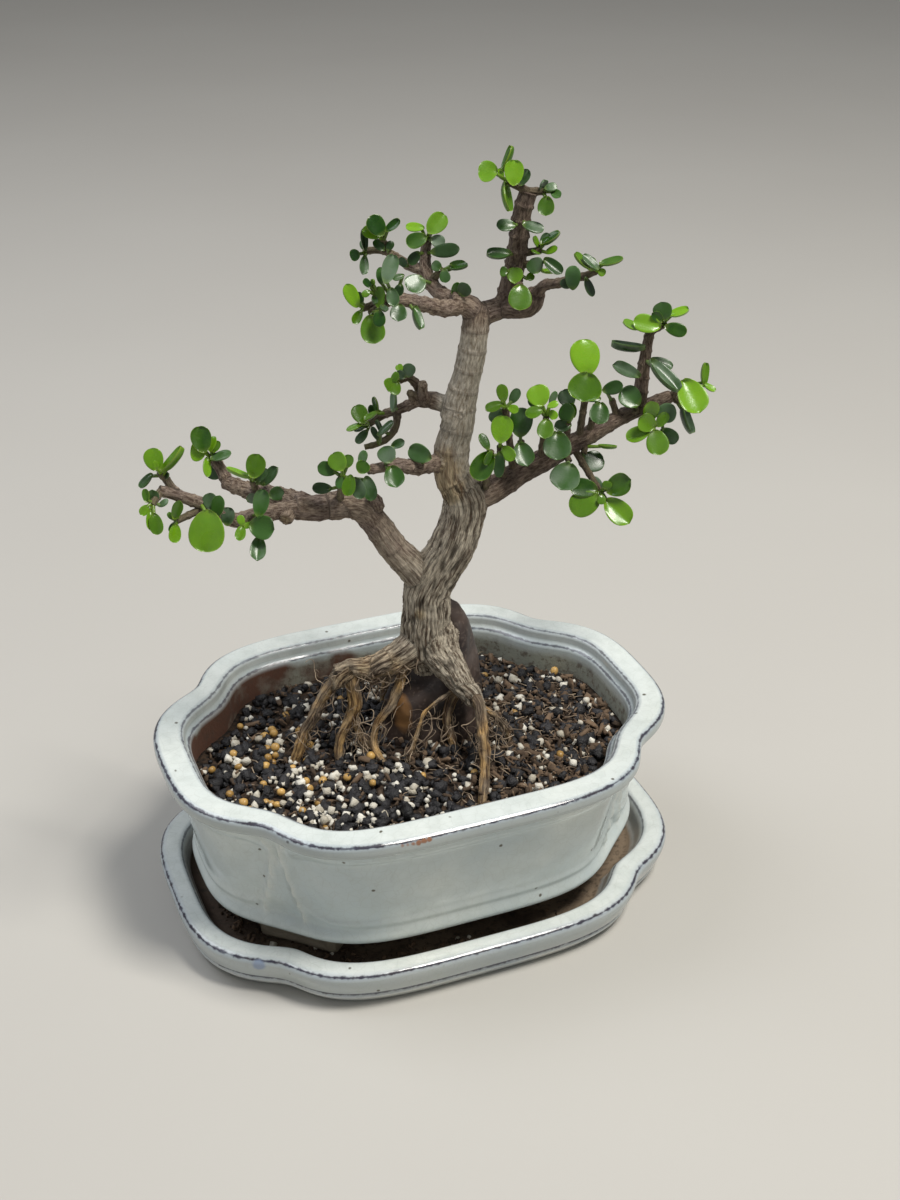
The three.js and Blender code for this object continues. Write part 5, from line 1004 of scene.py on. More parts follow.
        ["bright", 99, 0, 7, 4.5, [36, 3, 207], [35.5, 2, 210]],
        ["deep", 56, 20, 6.5, 4, [36, 3, 207], [38, 4, 208.5]],
        ["bright", 205, -20, 7, 4.5, [36, 3, 207], [35, 1, 209.5]],
        ["bright", 305, 0, 4.5, 3.5, [36, 3, 207], [37, 1, 208.5]],
        ["deep", 227, 0, 6.5, 5, [36, 3.5, 206], [35, 5, 206]],
    ],
    "right_grey_pair": [
        ["deep", 84, 0, 11.5, 9, [42.5, 9, 190], [42, 6.5, 193.5]],
        ["deep", 289, 0, 10, 8, [42.5, 9, 190], [41.5, 5.5, 191.5]],
    ],
    "right_mid_rosette": [
        ["bright", 113, 0, 8.5, 9, [52, 9, 201], [50.5, 7.5, 206]],
        ["deep", 83, -35, 6, 3.5, [52, 9, 201], [53, 9.5, 205.5]],
        ["bright", 201, -30, 7, 5, [52, 9, 201], [50.5, 6.5, 205]],
        ["bright", 20, 35, 4.5, 3, [52, 9, 201], [52, 5.5, 206.5]],
        ["bright", 265, 0, 8, 6.5, [52, 9, 201], [52, 5.5, 201.5]],
        ["bright", 297, 0, 4, 3.5, [52, 9, 201], [53.5, 7.5, 204.5]],
        ["deep", 156, 0, 6.5, 5, [52, 9, 201], [49.5, 12.5, 203]],
    ],
    "right_grey_round": [
        ["deep", 270, 0, 11.5, 11, [56, 12.5, 190], [56, 8.5, 195]],
    ],
    "right_back_leaves": [
        ["deep", 156, 0, 6.5, 7, [61, 19.5, 193.5], [63.5, 17, 198]],
        ["deep", 189, 0, 7, 5, [61, 19.5, 193.5], [62.5, 19, 193.5]],
        ["bright", 76, 0, 6, 4, [61, 19.5, 193.5], [63.5, 21, 195.5]],
        ["deep", 118, 0, 7.5, 7, [61, 19.5, 193.5], [62.5, 23, 199]],
    ],
    "right_big_pair": [
        ["bright", 99, 0, 14, 12, [68, 18, 211], [67.5, 14.5, 215.5]],
        ["bright", 259, 0, 11.5, 13, [68, 18, 211], [67.5, 12.5, 217.5]],
    ],
    "right_big_under": [
        ["deep", 260, 0, 9, 8, [72, 23, 199], [73.5, 20.5, 202]],
        ["deep", 190, 0, 9, 5, [72, 23, 199], [74, 23.5, 202]],
    ],
    "right_under": [
        ["deep", 42, 0, 10.5, 9, [68, 22.5, 181], [66, 20.5, 175.5]],
        ["bright", 0, 75, 7.5, 3.5, [68.5, 23.5, 182], [73.5, 21.5, 183]],
    ],
    "right_under_round": [
        ["deep", 250, 0, 11.5, 12, [61.5, 17, 179.5], [62.5, 14, 179]],
    ],
    "right_lower_rosette": [
        ["bright", 201, 0, 13, 10.5, [74.5, 14.5, 167], [74.5, 11, 166]],
        ["bright", 313, 0, 13.5, 9.5, [74.5, 14.5, 167], [76.5, 11, 164.5]],
        ["bright", 23, 0, 11, 9, [74.5, 14.5, 167], [77, 12, 168]],
        ["deep", 106, 0, 7, 4.5, [75.5, 17, 166], [75.5, 15, 167]],
        ["bright", 172, 0, 11, 8, [74, 15, 167.5], [73.5, 13, 168]],
        ["bright", 72, 0, 3.5, 4, [74.5, 14.5, 167], [76, 10, 170]],
        ["bright", 259, 0, 4, 3.5, [74.5, 14.5, 167], [75, 10, 167.5]],
    ],
    "right_node_grey": [
        ["deep", 15, 0, 8.5, 5.5, [79.5, 31, 198], [75, 30, 203]],
    ],
    "right_fork_round": [
        ["deep", 111, 0, 9.5, 9, [89, 32.5, 194], [90, 30.5, 196.5]],
    ],
    "right_front_bright": [
        ["bright", 149, 0, 8, 7.5, [96, 30.5, 188.5], [96, 27.5, 188.5]],
        ["bright", 283, 0, 10.5, 9, [96, 30.5, 188.5], [96, 27.5, 187.5]],
        ["bright", 202, -25, 10.5, 7, [96, 30.5, 188.5], [95, 28.5, 187]],
        ["bright", 123, 0, 9, 7, [94.5, 33.5, 189], [94.5, 31.5, 190]],
        ["bright", 54, 0, 7, 4.5, [96, 30.5, 188.5], [97, 29.5, 188]],
    ],
    "right_front_dark": [
        ["deep", 324, 0, 8.5, 6, [100, 36.5, 188.5], [99.5, 36, 184]],
    ],
    "right_front_grey": [
        ["deep", 13, 0, 8.5, 8, [97.5, 37, 194.5], [97, 35, 191.5]],
    ],
    "right_tip": [
        ["bright", 295, 0, 15, 12, [107, 39, 201.5], [106.5, 34.5, 205.5]],
        ["bright", 97, -45, 9.5, 4, [107, 39, 201.5], [115.5, 38.5, 201.5]],
        ["bright", 335, 35, 5.5, 3.5, [107, 39, 201.5], [115.5, 37.5, 202.5]],
    ],
    "right_hanging": [
        ["deep", 283, 58, 12.5, 7, [106, 42, 194.5], [107.5, 42, 192]],
    ],
    "right_upright": [
        ["deep", 177, -15, 12.5, 5.5, [91, 38, 206], [89.5, 34, 207]],
        ["deep", 178, -60, 13.5, 6, [92.5, 39.5, 217], [91.5, 36, 217.5]],
        ["deep", 306, 35, 17, 6.5, [92, 39, 213], [92.5, 33.5, 213.5]],
        ["deep", 339, 25, 9.5, 5.5, [92, 39, 212], [94, 39.5, 212]],
        ["bright", 166, 0, 11, 7.5, [96.5, 40.5, 225.5], [97, 34.5, 227.5]],
        ["bright", 171, -40, 7.5, 6, [94, 40, 223.5], [89, 37, 225.5]],
        ["deep", 101, 0, 7.5, 7.5, [98.5, 41, 226.5], [98.5, 37, 229.5]],
        ["bright", 143, 0, 5.5, 4, [98, 40.5, 226.5], [97.5, 36, 229.5]],
        ["bright", 7, 40, 8.5, 5, [98.5, 41, 226.5], [100, 38, 230.5]],
        ["bright", 343, 0, 9, 5.5, [98.5, 41, 226.5], [98.5, 36, 227.5]],
    ],
}
STONE = [[-15, -9, 48], [2, -17, 48], [24, -12, 48], [33, 6, 48], [22, 24, 48], [-6, 22, 48],
    [-12, -6, 84], [0, -12, 84], [20, -9, 84], [27, 7, 86], [20, 20, 84], [-4, 15, 84],
    [-2, 4, 100], [22, 0, 104], [26, 9, 104], [13, 17, 108], [11, 8, 123], [15, 9, 123],
    [19, 9, 119], [22, 10, 113], [19, 14, 115]]
NUBS = [  # small cut stubs and swollen nodes: [start, end], radii
    dict(radii=[2.6, 1.7], route=[[-12, -10, 172], [-13, -13, 177], [-15, -15, 180]]),
    dict(radii=[2.2, 1.6], route=[[2, 8, 208], [1, 4, 212], [0, 2, 214]]),
    dict(radii=[2.4, 1.8], route=[[6, 8, 208], [5, 3, 214], [5, 1, 218]]),
    dict(radii=[4.2, 4.2], route=[[20, -12, 93], [24, -13, 89], [25, -14, 86]]),
    dict(radii=[4.6, 3.6], route=[[-10, -8, 102], [-14, -10, 101], [-18, -11, 98]]),
    dict(radii=[4.2, 3.0], route=[[-26, -12, 100], [-29, -13, 98], [-31, -14, 94]]),
    dict(radii=[5.0, 9.6], route=[[5, 2, 124], [7, 1, 116], [9, 0, 108]]),
    dict(radii=[6.4, 6.0], route=[[17, 1, 203], [18, 1, 206]]),
    dict(radii=[5.6, 5.3], route=[[-26, -13, 174], [-30, -15, 175]]),
]
TREE_AXES = np.array([[math.cos(TREE_TURN), -math.sin(TREE_TURN), 0], [math.sin(TREE_TURN),
    math.cos(TREE_TURN), 0], [0, 0, 1]])


def in_tree(points):
    """Points given as across, away and up, in the part's own frame."""
    return np.asarray(points, float) @ TREE_AXES.T + TREE_BASE


LEAFY = [(node, row) for node, rows in FOLIAGE.items() for row in rows]
print("limbs:", len(LIMBS), "roots:", len(ROOTS), "leaves:", len(LEAFY))


# %% [markdown]
# ## Smooth curves through marked places
# A centripetal Catmull-Rom curve passes through every marked place without loops, which suits
# branches. It is walked at equal steps, and a frame that never twists goes along with it, so that
# bark can follow the limb.

# %% Curve helpers
def catmull_rom(route, divisions=200):
    """Points along the curve at equal steps of its parameter."""
    route = np.asarray(route, float)
    padded = np.vstack([2 * route[0] - route[1], route, 2 * route[-1] - route[-2]])
    points = []
    spans = len(route) - 1
    for share in np.arange(divisions + 1) / divisions * spans:
        span = min(int(share), spans - 1)
        t = share - span
        p0, p1, p2, p3 = padded[span:span + 4]
        d0, d1, d2 = (max(float(np.sum((b - a) ** 2)) ** 0.25, 1e-4) for a, b in ((p0, p1), (p1,
            p2), (p2, p3)))
        m1 = ((p1 - p0) / d0 - (p2 - p0) / (d0 + d1) + (p2 - p1) / d1) * d1
        m2 = ((p2 - p1) / d1 - (p3 - p1) / (d1 + d2) + (p3 - p2) / d2) * d1
        points.append(p1 + m1 * t + (3 * (p2 - p1) - 2 * m1 - m2) * t ** 2
                      + (2 * (p1 - p2) + m1 + m2) * t ** 3)
    return np.array(points)


def walk(route, count):
    """count + 1 points at equal distances along the curve, and its length."""
    fine = catmull_rom(route)
    lengths = np.concatenate([[0], np.cumsum(np.linalg.norm(np.diff(fine, axis=0), axis=1))])
    at = np.linspace(0, lengths[-1], count + 1)
    return np.stack([np.interp(at, lengths, fine[:, axis]) for axis in range(3)], 1), lengths[-1]


def frames_along(points):
    """Tangents, and two sideways directions that turn as little as they can."""
    tangents = np.gradient(points, axis=0)
    tangents /= np.linalg.norm(tangents, axis=1)[:, None]
    side = np.cross(tangents[0], [0.3, 0.2, 0.93])
    sides = []
    for tangent in tangents:
        side = side - tangent * (side @ tangent)
        side = side / np.linalg.norm(side)
        sides.append(side)
    sides = np.array(sides)
    return tangents, sides, np.cross(tangents, sides)


def tubes(name, paths, sides):
    """One mesh of closed tubes: paths are (points, radii) in millimetres."""
    curve = bpy.data.curves.new(name, "CURVE")
    curve.dimensions = "3D"
    curve.bevel_depth = MM
    curve.bevel_resolution = (sides - 4) // 2
    curve.use_fill_caps = True
    for points, radii in paths:
        spline = curve.splines.new("POLY")
        spline.points.add(len(points) - 1)
        flat = np.hstack([np.asarray(points) * MM, np.ones((len(points), 1))])
        spline.points.foreach_set("co", flat.ravel())
        spline.points.foreach_set("radius", np.asarray(radii, float))
    piece = bpy.data.objects.new(name, curve)
    bpy.context.scene.collection.objects.link(piece)
    make_active(piece)
    bpy.ops.object.convert(target="MESH")
    edit(piece, (bpy.ops.mesh.remove_doubles, {"threshold": 1e-6}),
        (bpy.ops.mesh.normals_make_consistent, {"inside": False}))
    return piece


# %% [markdown]
# ## Trunk, limbs and roots
# The wood is one grown body: limbs and roots swell into each other at every fork. Tubes along
# the curves are joined and remeshed as one skin with cells of 0.6 mm, and smoothed so that the
# crotches fill. Old jade bark is fibrous and furrowed along the grain, with rings where leaves
# once sat, so each point finds its nearest limb and is lifted by a noise stretched along it.

# %% Wood tubes
STEP = 1.0  # between samples along a limb


def limb_samples(route, radii, root=False):
    count = max(3, round(walk(route, 10)[1] / STEP))
    points, length = walk(in_tree(route), count)
    share = np.linspace(0, 1, count + 1)
    return dict(points=points, radii=radii[0] + (radii[1] - radii[0]) * share, s=share * length,
        root=root)


def root_route(root):
    end = root["route"][-1]
    return root["route"] + [[end[0], end[1], end[2] - ROOT_DEPTH]]


own_limbs = [limb for limb in LIMBS if limb["node"] == "tree_wood"]
wood_paths = [limb_samples(limb["route"], limb["radii"]) for limb in own_limbs + NUBS]
root_paths = [limb_samples(root_route(root), root["radii"], True) for root in ROOTS]
for number, path in enumerate(wood_paths + root_paths):
    wobble = np.array([noise.noise((number * 7.3, 0, s * 0.09)) for s in path["s"]])
    path["radii"] = path["radii"] * (1 + (0.16 if path["root"] else 0.09) * wobble)
tree_wood = tubes("tree_wood_skin", [(p["points"], p["radii"]) for p in wood_paths + root_paths],
    16)
apply_modifier(tree_wood, "REMESH", mode="VOXEL", voxel_size=0.62 * MM)
apply_modifier(tree_wood, "SMOOTH", factor=0.5, iterations=5)
print("wood skin:", len(tree_wood.data.vertices), "points")


# %% Which limb each point belongs to
def bark_grain(points, paths):
    """For each point: place across and along its nearest limb, that limb's radius, and root."""
    centres, radii, axes, tags = [], [], [], []
    for number, path in enumerate(paths):
        tangents, sides, others = frames_along(path["points"])
        centres.append(path["points"])
        radii.append(path["radii"])
        axes.append(np.stack([sides, others, tangents], 1))
        tags.append(np.stack([path["s"], np.full(len(path["s"]), 37.0 * number),
            np.full(len(path["s"]), float(path["root"]))], 1))
    centres, radii = np.vstack(centres), np.concatenate(radii)
    axes, tags = np.concatenate(axes), np.vstack(tags)
    nearest = []
    for start in range(0, len(points), 2000):
        gap = points[start:start + 2000, None, :] - centres[None]
        nearest.append(np.argmin(np.sqrt((gap ** 2).sum(2)) - radii, axis=1))
    nearest = np.concatenate(nearest)
    local = np.einsum("nij,nj->ni", axes[nearest], points - centres[nearest])
    grain = local + np.stack([tags[nearest, 1] * 0, tags[nearest, 1], tags[nearest, 0]], 1)
    return grain, radii[nearest], tags[nearest, 2]


wood_points = points_of(tree_wood)
grain, girth, is_root = bark_grain(wood_points, wood_paths + root_paths)
normals = np.empty(len(wood_points) * 3)
tree_wood.data.vertices.foreach_get("normal", normals)
normals = normals.reshape(-1, 3)


# %% Bark relief
PEELED = [  # straw-coloured spots where bark has peeled or a stub was cut: place, radius
    ([12, -6, 186], 10), ([14, -6, 176], 6), ([-46, -28, 175], 3.2), ([27, -14, 85], 3.5),
    ([-12, -9, 177], 2.5), ([4, -7, 124], 4), ([-20, -12, 101], 4), ([-7, -9, 103], 4)]


def fibre_relief(grain, girth, is_root, low):
    """Furrows along the grain, deeper on thick old wood, knobs on roots, and leaf scars."""
    relief = np.empty(len(grain))
    for i, (x, y, s) in enumerate(grain.tolist()):
        wander = 1.2 * noise.noise((x * 0.1, y * 0.1, s * 0.07))
        furrow = noise.fractal((x * 0.6 + wander, y * 0.6 + wander, s * 0.1), 1.0, 2.0, 3)
        knob = noise.noise((x * 0.35, y * 0.35, s * 0.3))
        relief[i] = (-abs(furrow) * (1.5 - 0.9 * is_root[i]) + 0.35 * (1 - is_root[i])
                     + knob * (0.35 + 0.5 * is_root[i]))
    s = grain[:, 2]
    spacing = np.where(girth > 6.5, 13.0, 8.0)
    phase = np.abs((s / spacing) % 1 - 0.5) * spacing
    ring = np.exp(-(phase / 0.8) ** 2) * (is_root < 0.5) * smoothstep(12, 6, girth)
    depth = np.interp(girth, [0.8, 2, 3, 6.8, 7.6, 11], [0.1, 0.2, 0.2, 0.3, 0.85, 1.0])
    depth = np.maximum(depth + is_root * 0.35, low * 0.8)
    return relief * depth + ring * 0.25, ring


def limb_tones(points):
    """Tones from place: shaded right limb, root-like low left, peeled spots, upper trunk."""
    away = (points - TREE_BASE) @ TREE_AXES
    across, up = away[:, 0], away[:, 2]
    trunk = (smoothstep(172, 186, up) * smoothstep(246, 234, up) * smoothstep(9, 12,
        across) * smoothstep(31, 28, across))
    peeled = sum(np.exp(-((away - at) ** 2).sum(1) / radius ** 2) for at, radius in PEELED)
    return (smoothstep(26, 38, across), smoothstep(113, 101, up) * smoothstep(6, -8, across),
        np.minimum(peeled, 1), trunk)


low = smoothstep(118, 108, (wood_points - TREE_BASE)[:, 2]) * (is_root < 0.5)
relief, scars = fibre_relief(grain, girth, is_root, low)
move_points(tree_wood, wood_points + normals * relief[:, None])
shaded, rooty, peeled, trunk = limb_tones(wood_points)
for key, values in (("grain", grain), ("girth", np.maximum(girth, 7 * np.maximum(low, trunk))),
        ("relief", relief), ("root", np.maximum(is_root, 0.7 * rooty)), ("shaded", shaded),
        ("peeled", peeled), ("scar", scars), ("pale", trunk)):
    store(tree_wood, key, values)
tree_wood = place_at_origin(tree_wood, "trunk_limbs_and_roots")
make_active(tree_wood)
bpy.ops.object.shade_smooth()
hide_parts("tree_wood")
print("bark relief from", round(float(relief.min()), 2), "to", round(float(relief.max()), 2), "mm")


# %% [markdown]
# ## Bark
# Dwarf jade bark is papery and dry. On the trunk it is a grey tan that splits into fibres along
# the grain; on younger limbs it is a smoother purple brown; green shows on this year's stems.
# Roots that were once below the soil are amber and tan. All of it is matt.

# %% Bark material
def bark_material():
    material, bsdf = new_material("fibrous_jade_bark", Roughness=0.86, IOR=1.45)
    grain = add_node(material, "Attribute", attribute_name="grain").outputs["Vector"]
    girth = add_node(material, "Attribute", attribute_name="girth").outputs["Fac"]
    root = add_node(material, "Attribute", attribute_name="root").outputs["Fac"]
    relief = add_node(material, "Attribute", attribute_name="relief").outputs["Fac"]
    shaded = add_node(material, "Attribute", attribute_name="shaded").outputs["Fac"]
    peeled = add_node(material, "Attribute", attribute_name="peeled").outputs["Fac"]
    scar = add_node(material, "Attribute", attribute_name="scar").outputs["Fac"]
    pale = add_node(material, "Attribute", attribute_name="pale").outputs["Fac"]

    # Fibres about 0.4 mm wide and 5 mm long: the grain is in millimetres.
    along = add_node(material, "VectorMath", {0: grain, 1: (2.4, 2.4, 0.22)}, operation="MULTIPLY")
    fibres = add_node(material, "TexNoise", {"Vector": along.outputs[0], "Scale": 1.0,
        "Detail": 6.0, "Roughness": 0.65})
    strand = add_node(material, "VectorMath", {0: grain, 1: (0.85, 0.85, 0.06)},
        operation="MULTIPLY")
    strands = add_node(material, "TexNoise", {"Vector": strand.outputs[0], "Scale": 1.0,
        "Detail": 3.0})
    both = add_node(material, "Math", {0: fibres.outputs["Fac"], 1: strands.outputs["Fac"]},
        operation="ADD")
    fibre = add_node(material, "MapRange", {0: both.outputs[0], 1: 0.84, 2: 1.14})
    blotch = add_node(material, "VectorMath", {0: grain, 1: (0.16, 0.16, 0.09)},
        operation="MULTIPLY")
    blotches = add_node(material, "TexNoise", {"Vector": blotch.outputs[0], "Scale": 1.0,
        "Detail": 4.0})
    patch = add_node(material, "MapRange", {0: blotches.outputs["Fac"], 1: 0.38, 2: 0.62})
    # Younger bark is smoother: short wrinkles in both directions.
    wrinkle = add_node(material, "VectorMath", {0: grain, 1: (1.2, 1.2, 0.34)},
        operation="MULTIPLY")
    wrinkles = add_node(material, "TexNoise", {"Vector": wrinkle.outputs[0], "Scale": 1.0,
        "Detail": 6.0, "Roughness": 0.7})
    wrinkled = add_node(material, "MapRange", {0: wrinkles.outputs["Fac"], 1: 0.38, 2: 0.62})

    thick = add_node(material, "MapRange", {0: girth, 1: 5.2, 2: 6.8})
    thin = add_node(material, "MapRange", {0: girth, 1: 1.1, 2: 2.0, 3: 0.9, 4: 0.0})
    smooth = add_node(material, "Math", {0: pale, 1: 0.85}, operation="MULTIPLY")
    # Painted shade: the right limb is darkened for the shade of the leaves above it.
    shade = add_node(material, "Math", {0: shaded, 1: 0.5}, operation="MULTIPLY")
    torn = add_node(material, "Math", {0: peeled, 1: blotches.outputs["Fac"]},
        operation="MULTIPLY")
    torn = add_node(material, "MapRange", {0: torn.outputs[0], 1: 0.2, 2: 0.42, 4: 0.8})
    # A dark line lies below each old leaf scar, and furrows hold dust and shade.
    line = add_node(material, "MapRange", {0: scar, 1: 0.25, 2: 0.6, 4: 0.3})
    deep = add_node(material, "MapRange", {0: relief, 1: -0.7, 2: 0.1, 3: 0.75, 4: 0.0})

    # Each look of the bark runs between a dark and a light tone.
    looks = {"line": linear("#41332a"), "furrow": linear("#2c2219")}
    for look, share, dark, light in (("old", fibre, "#6c5c4a", "#f6ead4"), ("old worn", fibre,
            "#6a5a4b", "#e2d5be"), ("young", wrinkled, "#5d493b", "#bca994"), ("young worn",
            wrinkled, "#544138", "#a8968a"), ("root", fibre, "#5f4122", "#dcb478"), ("root worn",
            fibre, "#54453a", "#b8a58b"), ("green", fibre, "#5b5138", "#7f7f55"), ("smooth",
            wrinkled, "#a3957f", "#f4ebda"), ("shade", wrinkled, "#2c1f16", "#5c4838"), ("torn",
            fibre, "#7d6040", "#e3cda4")):
        mixed = add_node(material, "Mix", {0: share.outputs[0], MIX_A: linear(dark),
            MIX_B: linear(light)}, data_type="RGBA")
        looks[look] = mixed.outputs[MIX_RESULT]
    # Each row lays one look over another, from the first to the last.
    for look, share, below, above in (("old", patch.outputs[0], "old", "old worn"), ("young",
            patch.outputs[0], "young", "young worn"), ("root", patch.outputs[0], "root",
            "root worn"), ("bark", thick.outputs[0], "young", "old"), ("bark", smooth.outputs[0],
            "bark", "smooth"), ("bark", thin.outputs[0], "bark", "green"), ("bark",
            shade.outputs[0], "bark", "shade"), ("bark", root, "bark", "root"), ("bark",
            torn.outputs[0], "bark", "torn"), ("bark", line.outputs[0], "bark", "line"), ("bark",
            deep.outputs[0], "bark", "furrow")):
        mixed = add_node(material, "Mix", {0: share, MIX_A: looks[below], MIX_B: looks[above]},
            data_type="RGBA")
        looks[look] = mixed.outputs[MIX_RESULT]
    link(material, looks["bark"], bsdf.inputs["Base Color"])
    rough = add_node(material, "Mix", {0: thick.outputs[0], 2: wrinkles.outputs["Fac"],
        3: fibres.outputs["Fac"]})
    bump = add_node(material, "Bump", {"Height": rough.outputs[0], "Strength": 1.0,
        "Distance": 0.0018})
    link(material, bump.outputs[0], bsdf.inputs["Normal"])
    return material


bark = bark_material()
tree_wood.data.materials.append(bark)
print("bark:", bark.name)


# %% [markdown]
# ## Fine roots
# The bared roots carry a fleece of wiry rootlets that curl round them and hang to the soil. Hair
# would suit, but the library drops hair, so each rootlet is a thin closed tube that swings round
# its parent root by a seeded draw.

# %% Rootlets
rng = np.random.default_rng(41)


def unit(vector):
    return vector / np.linalg.norm(vector)


def rootlet(path, rng):
    """One wiry root that leaves its parent and wanders down to the soil."""
    count = len(path["points"])
    start = int(rng.integers(0, max(2, int(count * 0.8))))
    away = unit(rng.normal(size=3) * [1, 1, 0.5])
    at = path["points"][start] + away * path["radii"][start] * 0.7
    heading = unit(away * 0.5 + [0, 0, -0.7])
    points, home = [], path["points"]
    for step in range(int(rng.integers(12, 46))):
        points.append(at)
        nearest = home[np.argmin(((home - at) ** 2).sum(1))]
        back = (nearest - at) * 0.035
        heading = unit(heading + rng.normal(0, 0.3, 3) + back + [0, 0, -0.1])
        at = at + heading * 0.95
        if at[2] < SOIL_Z + 1:
            break
    points = np.array(points)
    if len(points) > 4:
        points[1:-1] = (points[:-2] + 2 * points[1:-1] + points[2:]) / 4
    return points


fleece = []
hairy = root_paths + wood_paths[3:4] * 3
while len(fleece) < 330:
    points = rootlet(hairy[int(rng.integers(0, len(hairy)))], rng)
    if len(points) > 8:
        thickness = rng.uniform(0.12, 0.3)
        fleece.append((points, thickness * np.linspace(1, 0.5, len(points))))
rootlets = place_at_origin(tubes("rootlets", fleece, 6), "fine_rootlets")
wiry, bsdf = new_material("dry_rootlet_skin", Roughness=0.8)
place = add_node(wiry, "TexCoord").outputs["Object"]
streak = add_node(wiry, "TexNoise", {"Vector": place, "Scale": 160.0, "Detail": 3.0})
tint = add_node(wiry, "MapRange", {0: streak.outputs["Fac"], 1: 0.35, 2: 0.65})
tan = add_node(wiry, "Mix", {0: tint.outputs[0], MIX_A: linear("#4c3c2f"),
    MIX_B: linear("#b3a088")}, data_type="RGBA")
link(wiry, tan.outputs[MIX_RESULT], bsdf.inputs["Base Color"])
rootlets.data.materials.append(wiry)
make_active(rootlets)
bpy.ops.object.shade_smooth()
print("rootlets:", len(fleece), "faces:", len(rootlets.data.polygons))


# %% [markdown]
# ## The stone
# The tree clasps a water-worn stone. A hull round a few corners gives its lump, a remesh gives it
# even cells, and smoothing and a slow noise wear it as a stream would.

# %% Stone
deselect_all()
bpy.ops.mesh.primitive_cube_add(size=MM)
stone = bpy.context.object
edit(stone, (bpy.ops.mesh.subdivide, {"number_cuts": 1}))
corners = in_tree(STONE)
spare = np.repeat(corners[:1], len(stone.data.vertices) - len(corners), axis=0)
move_points(stone, np.vstack([corners, spare]))
edit(stone, (bpy.ops.mesh.delete, {"type": "ONLY_FACE"}), (bpy.ops.mesh.select_all,
    {"action": "SELECT"}), (bpy.ops.mesh.convex_hull, {}), (bpy.ops.mesh.delete_loose, {}))
apply_modifier(stone, "REMESH", mode="VOXEL", voxel_size=1.1 * MM)
apply_modifier(stone, "SMOOTH", factor=0.6, iterations=14)
stone_points = points_of(stone)
stone_normals = np.empty(len(stone_points) * 3)
stone.data.vertices.foreach_get("normal", stone_normals)
wear = np.array([0.9 * noise.noise(tuple(p * 0.09)) + 0.35 * noise.noise(tuple(p * 0.3))
    for p in stone_points])
move_points(stone, stone_points + stone_normals.reshape(-1, 3) * wear[:, None])
stone = place_at_origin(stone, "clasped_stone")
make_active(stone)
bpy.ops.object.shade_smooth()
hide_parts("stone")

# Water-worn chert: banded amber to purple brown, half polished by the water. The bands are
# kept very dark: painted shade for the gap between the roots, where the stone shows.
worn, bsdf = new_material("water_worn_chert", Roughness=0.42, IOR=1.54)
place = add_node(worn, "TexCoord").outputs["Object"]
turned = add_node(worn, "Mapping", {"Vector": place, "Rotation": (0.5, 0.3, 0.9),
    "Scale": (1.0, 1.0, 2.6)})
bands = add_node(worn, "TexNoise", {"Vector": turned.outputs[0], "Scale": 42.0, "Detail": 6.0,
    "Distortion": 0.6})
band = add_node(worn, "MapRange", {0: bands.outputs["Fac"], 1: 0.36, 2: 0.64})
brown = add_node(worn, "Mix", {0: band.outputs[0], MIX_A: linear("#2c2422"),
    MIX_B: linear("#54463f")}, data_type="RGBA")
grain_fleck = add_node(worn, "TexNoise", {"Vector": place, "Scale": 600.0, "Detail": 3.0})
fleck = add_node(worn, "MapRange", {0: grain_fleck.outputs["Fac"], 1: 0.55, 2: 0.7, 4: 0.5})
brown = add_node(worn, "Mix", {0: fleck.outputs[0], MIX_A: brown.outputs[MIX_RESULT],
    MIX_B: linear("#75675e")}, data_type="RGBA")
# One corner is clear amber, where the water has polished it most.
amber_at = tuple(float(value) * MM for value in in_tree([-5, -13, 81]))
ragged = add_node(worn, "VectorMath", {0: bands.outputs["Color"], 1: (0.006,) * 3},
    operation="MULTIPLY")
away = add_node(worn, "VectorMath", {0: place, 1: ragged.outputs[0]}, operation="ADD")
away = add_node(worn, "VectorMath", {0: away.outputs[0], 1: tuple(value + 0.003
    for value in amber_at)}, operation="SUBTRACT")
away = add_node(worn, "VectorMath", {0: away.outputs[0], 1: (1.3, 1.0, 0.5)}, operation="MULTIPLY")
away = add_node(worn, "VectorMath", {0: away.outputs[0]}, operation="LENGTH")
amber = add_node(worn, "MapRange", {0: away.outputs["Value"], 1: 0.0045, 2: 0.0065, 3: 0.9,
    4: 0.0})
brown = add_node(worn, "Mix", {0: amber.outputs[0], MIX_A: brown.outputs[MIX_RESULT],
    MIX_B: linear("#a3784a")}, data_type="RGBA")
link(worn, brown.outputs[MIX_RESULT], bsdf.inputs["Base Color"])
bump = add_node(worn, "Bump", {"Height": bands.outputs["Fac"], "Strength": 0.4, "Distance": 0.001})
link(worn, bump.outputs[0], bsdf.inputs["Normal"])
stone.data.materials.append(worn)
print("stone faces:", len(stone.data.polygons))


# %% [markdown]
# ## The soil
# Bonsai soil is a loose mix that drains fast: black lava, white perlite, bark crumbs and fibres,
# with round golden prills of slow-release feed. A dark lumpy bed fills the pot, and the grit is
# scattered over it by seeded draws. Each kind is modelled once, as a small cube with its faces
# divided and its corners pulled about, and then copied.

# %% Soil bed
def soil_level(x, y):
    """Height of the bed: level at the walls, with a low mound round the roots."""
    from_roots = np.hypot(x - TREE_BASE[0], y - TREE_BASE[1] + 12) / 45
    return SOIL_Z - 1.2 + 4 * np.exp(-from_roots ** 2)


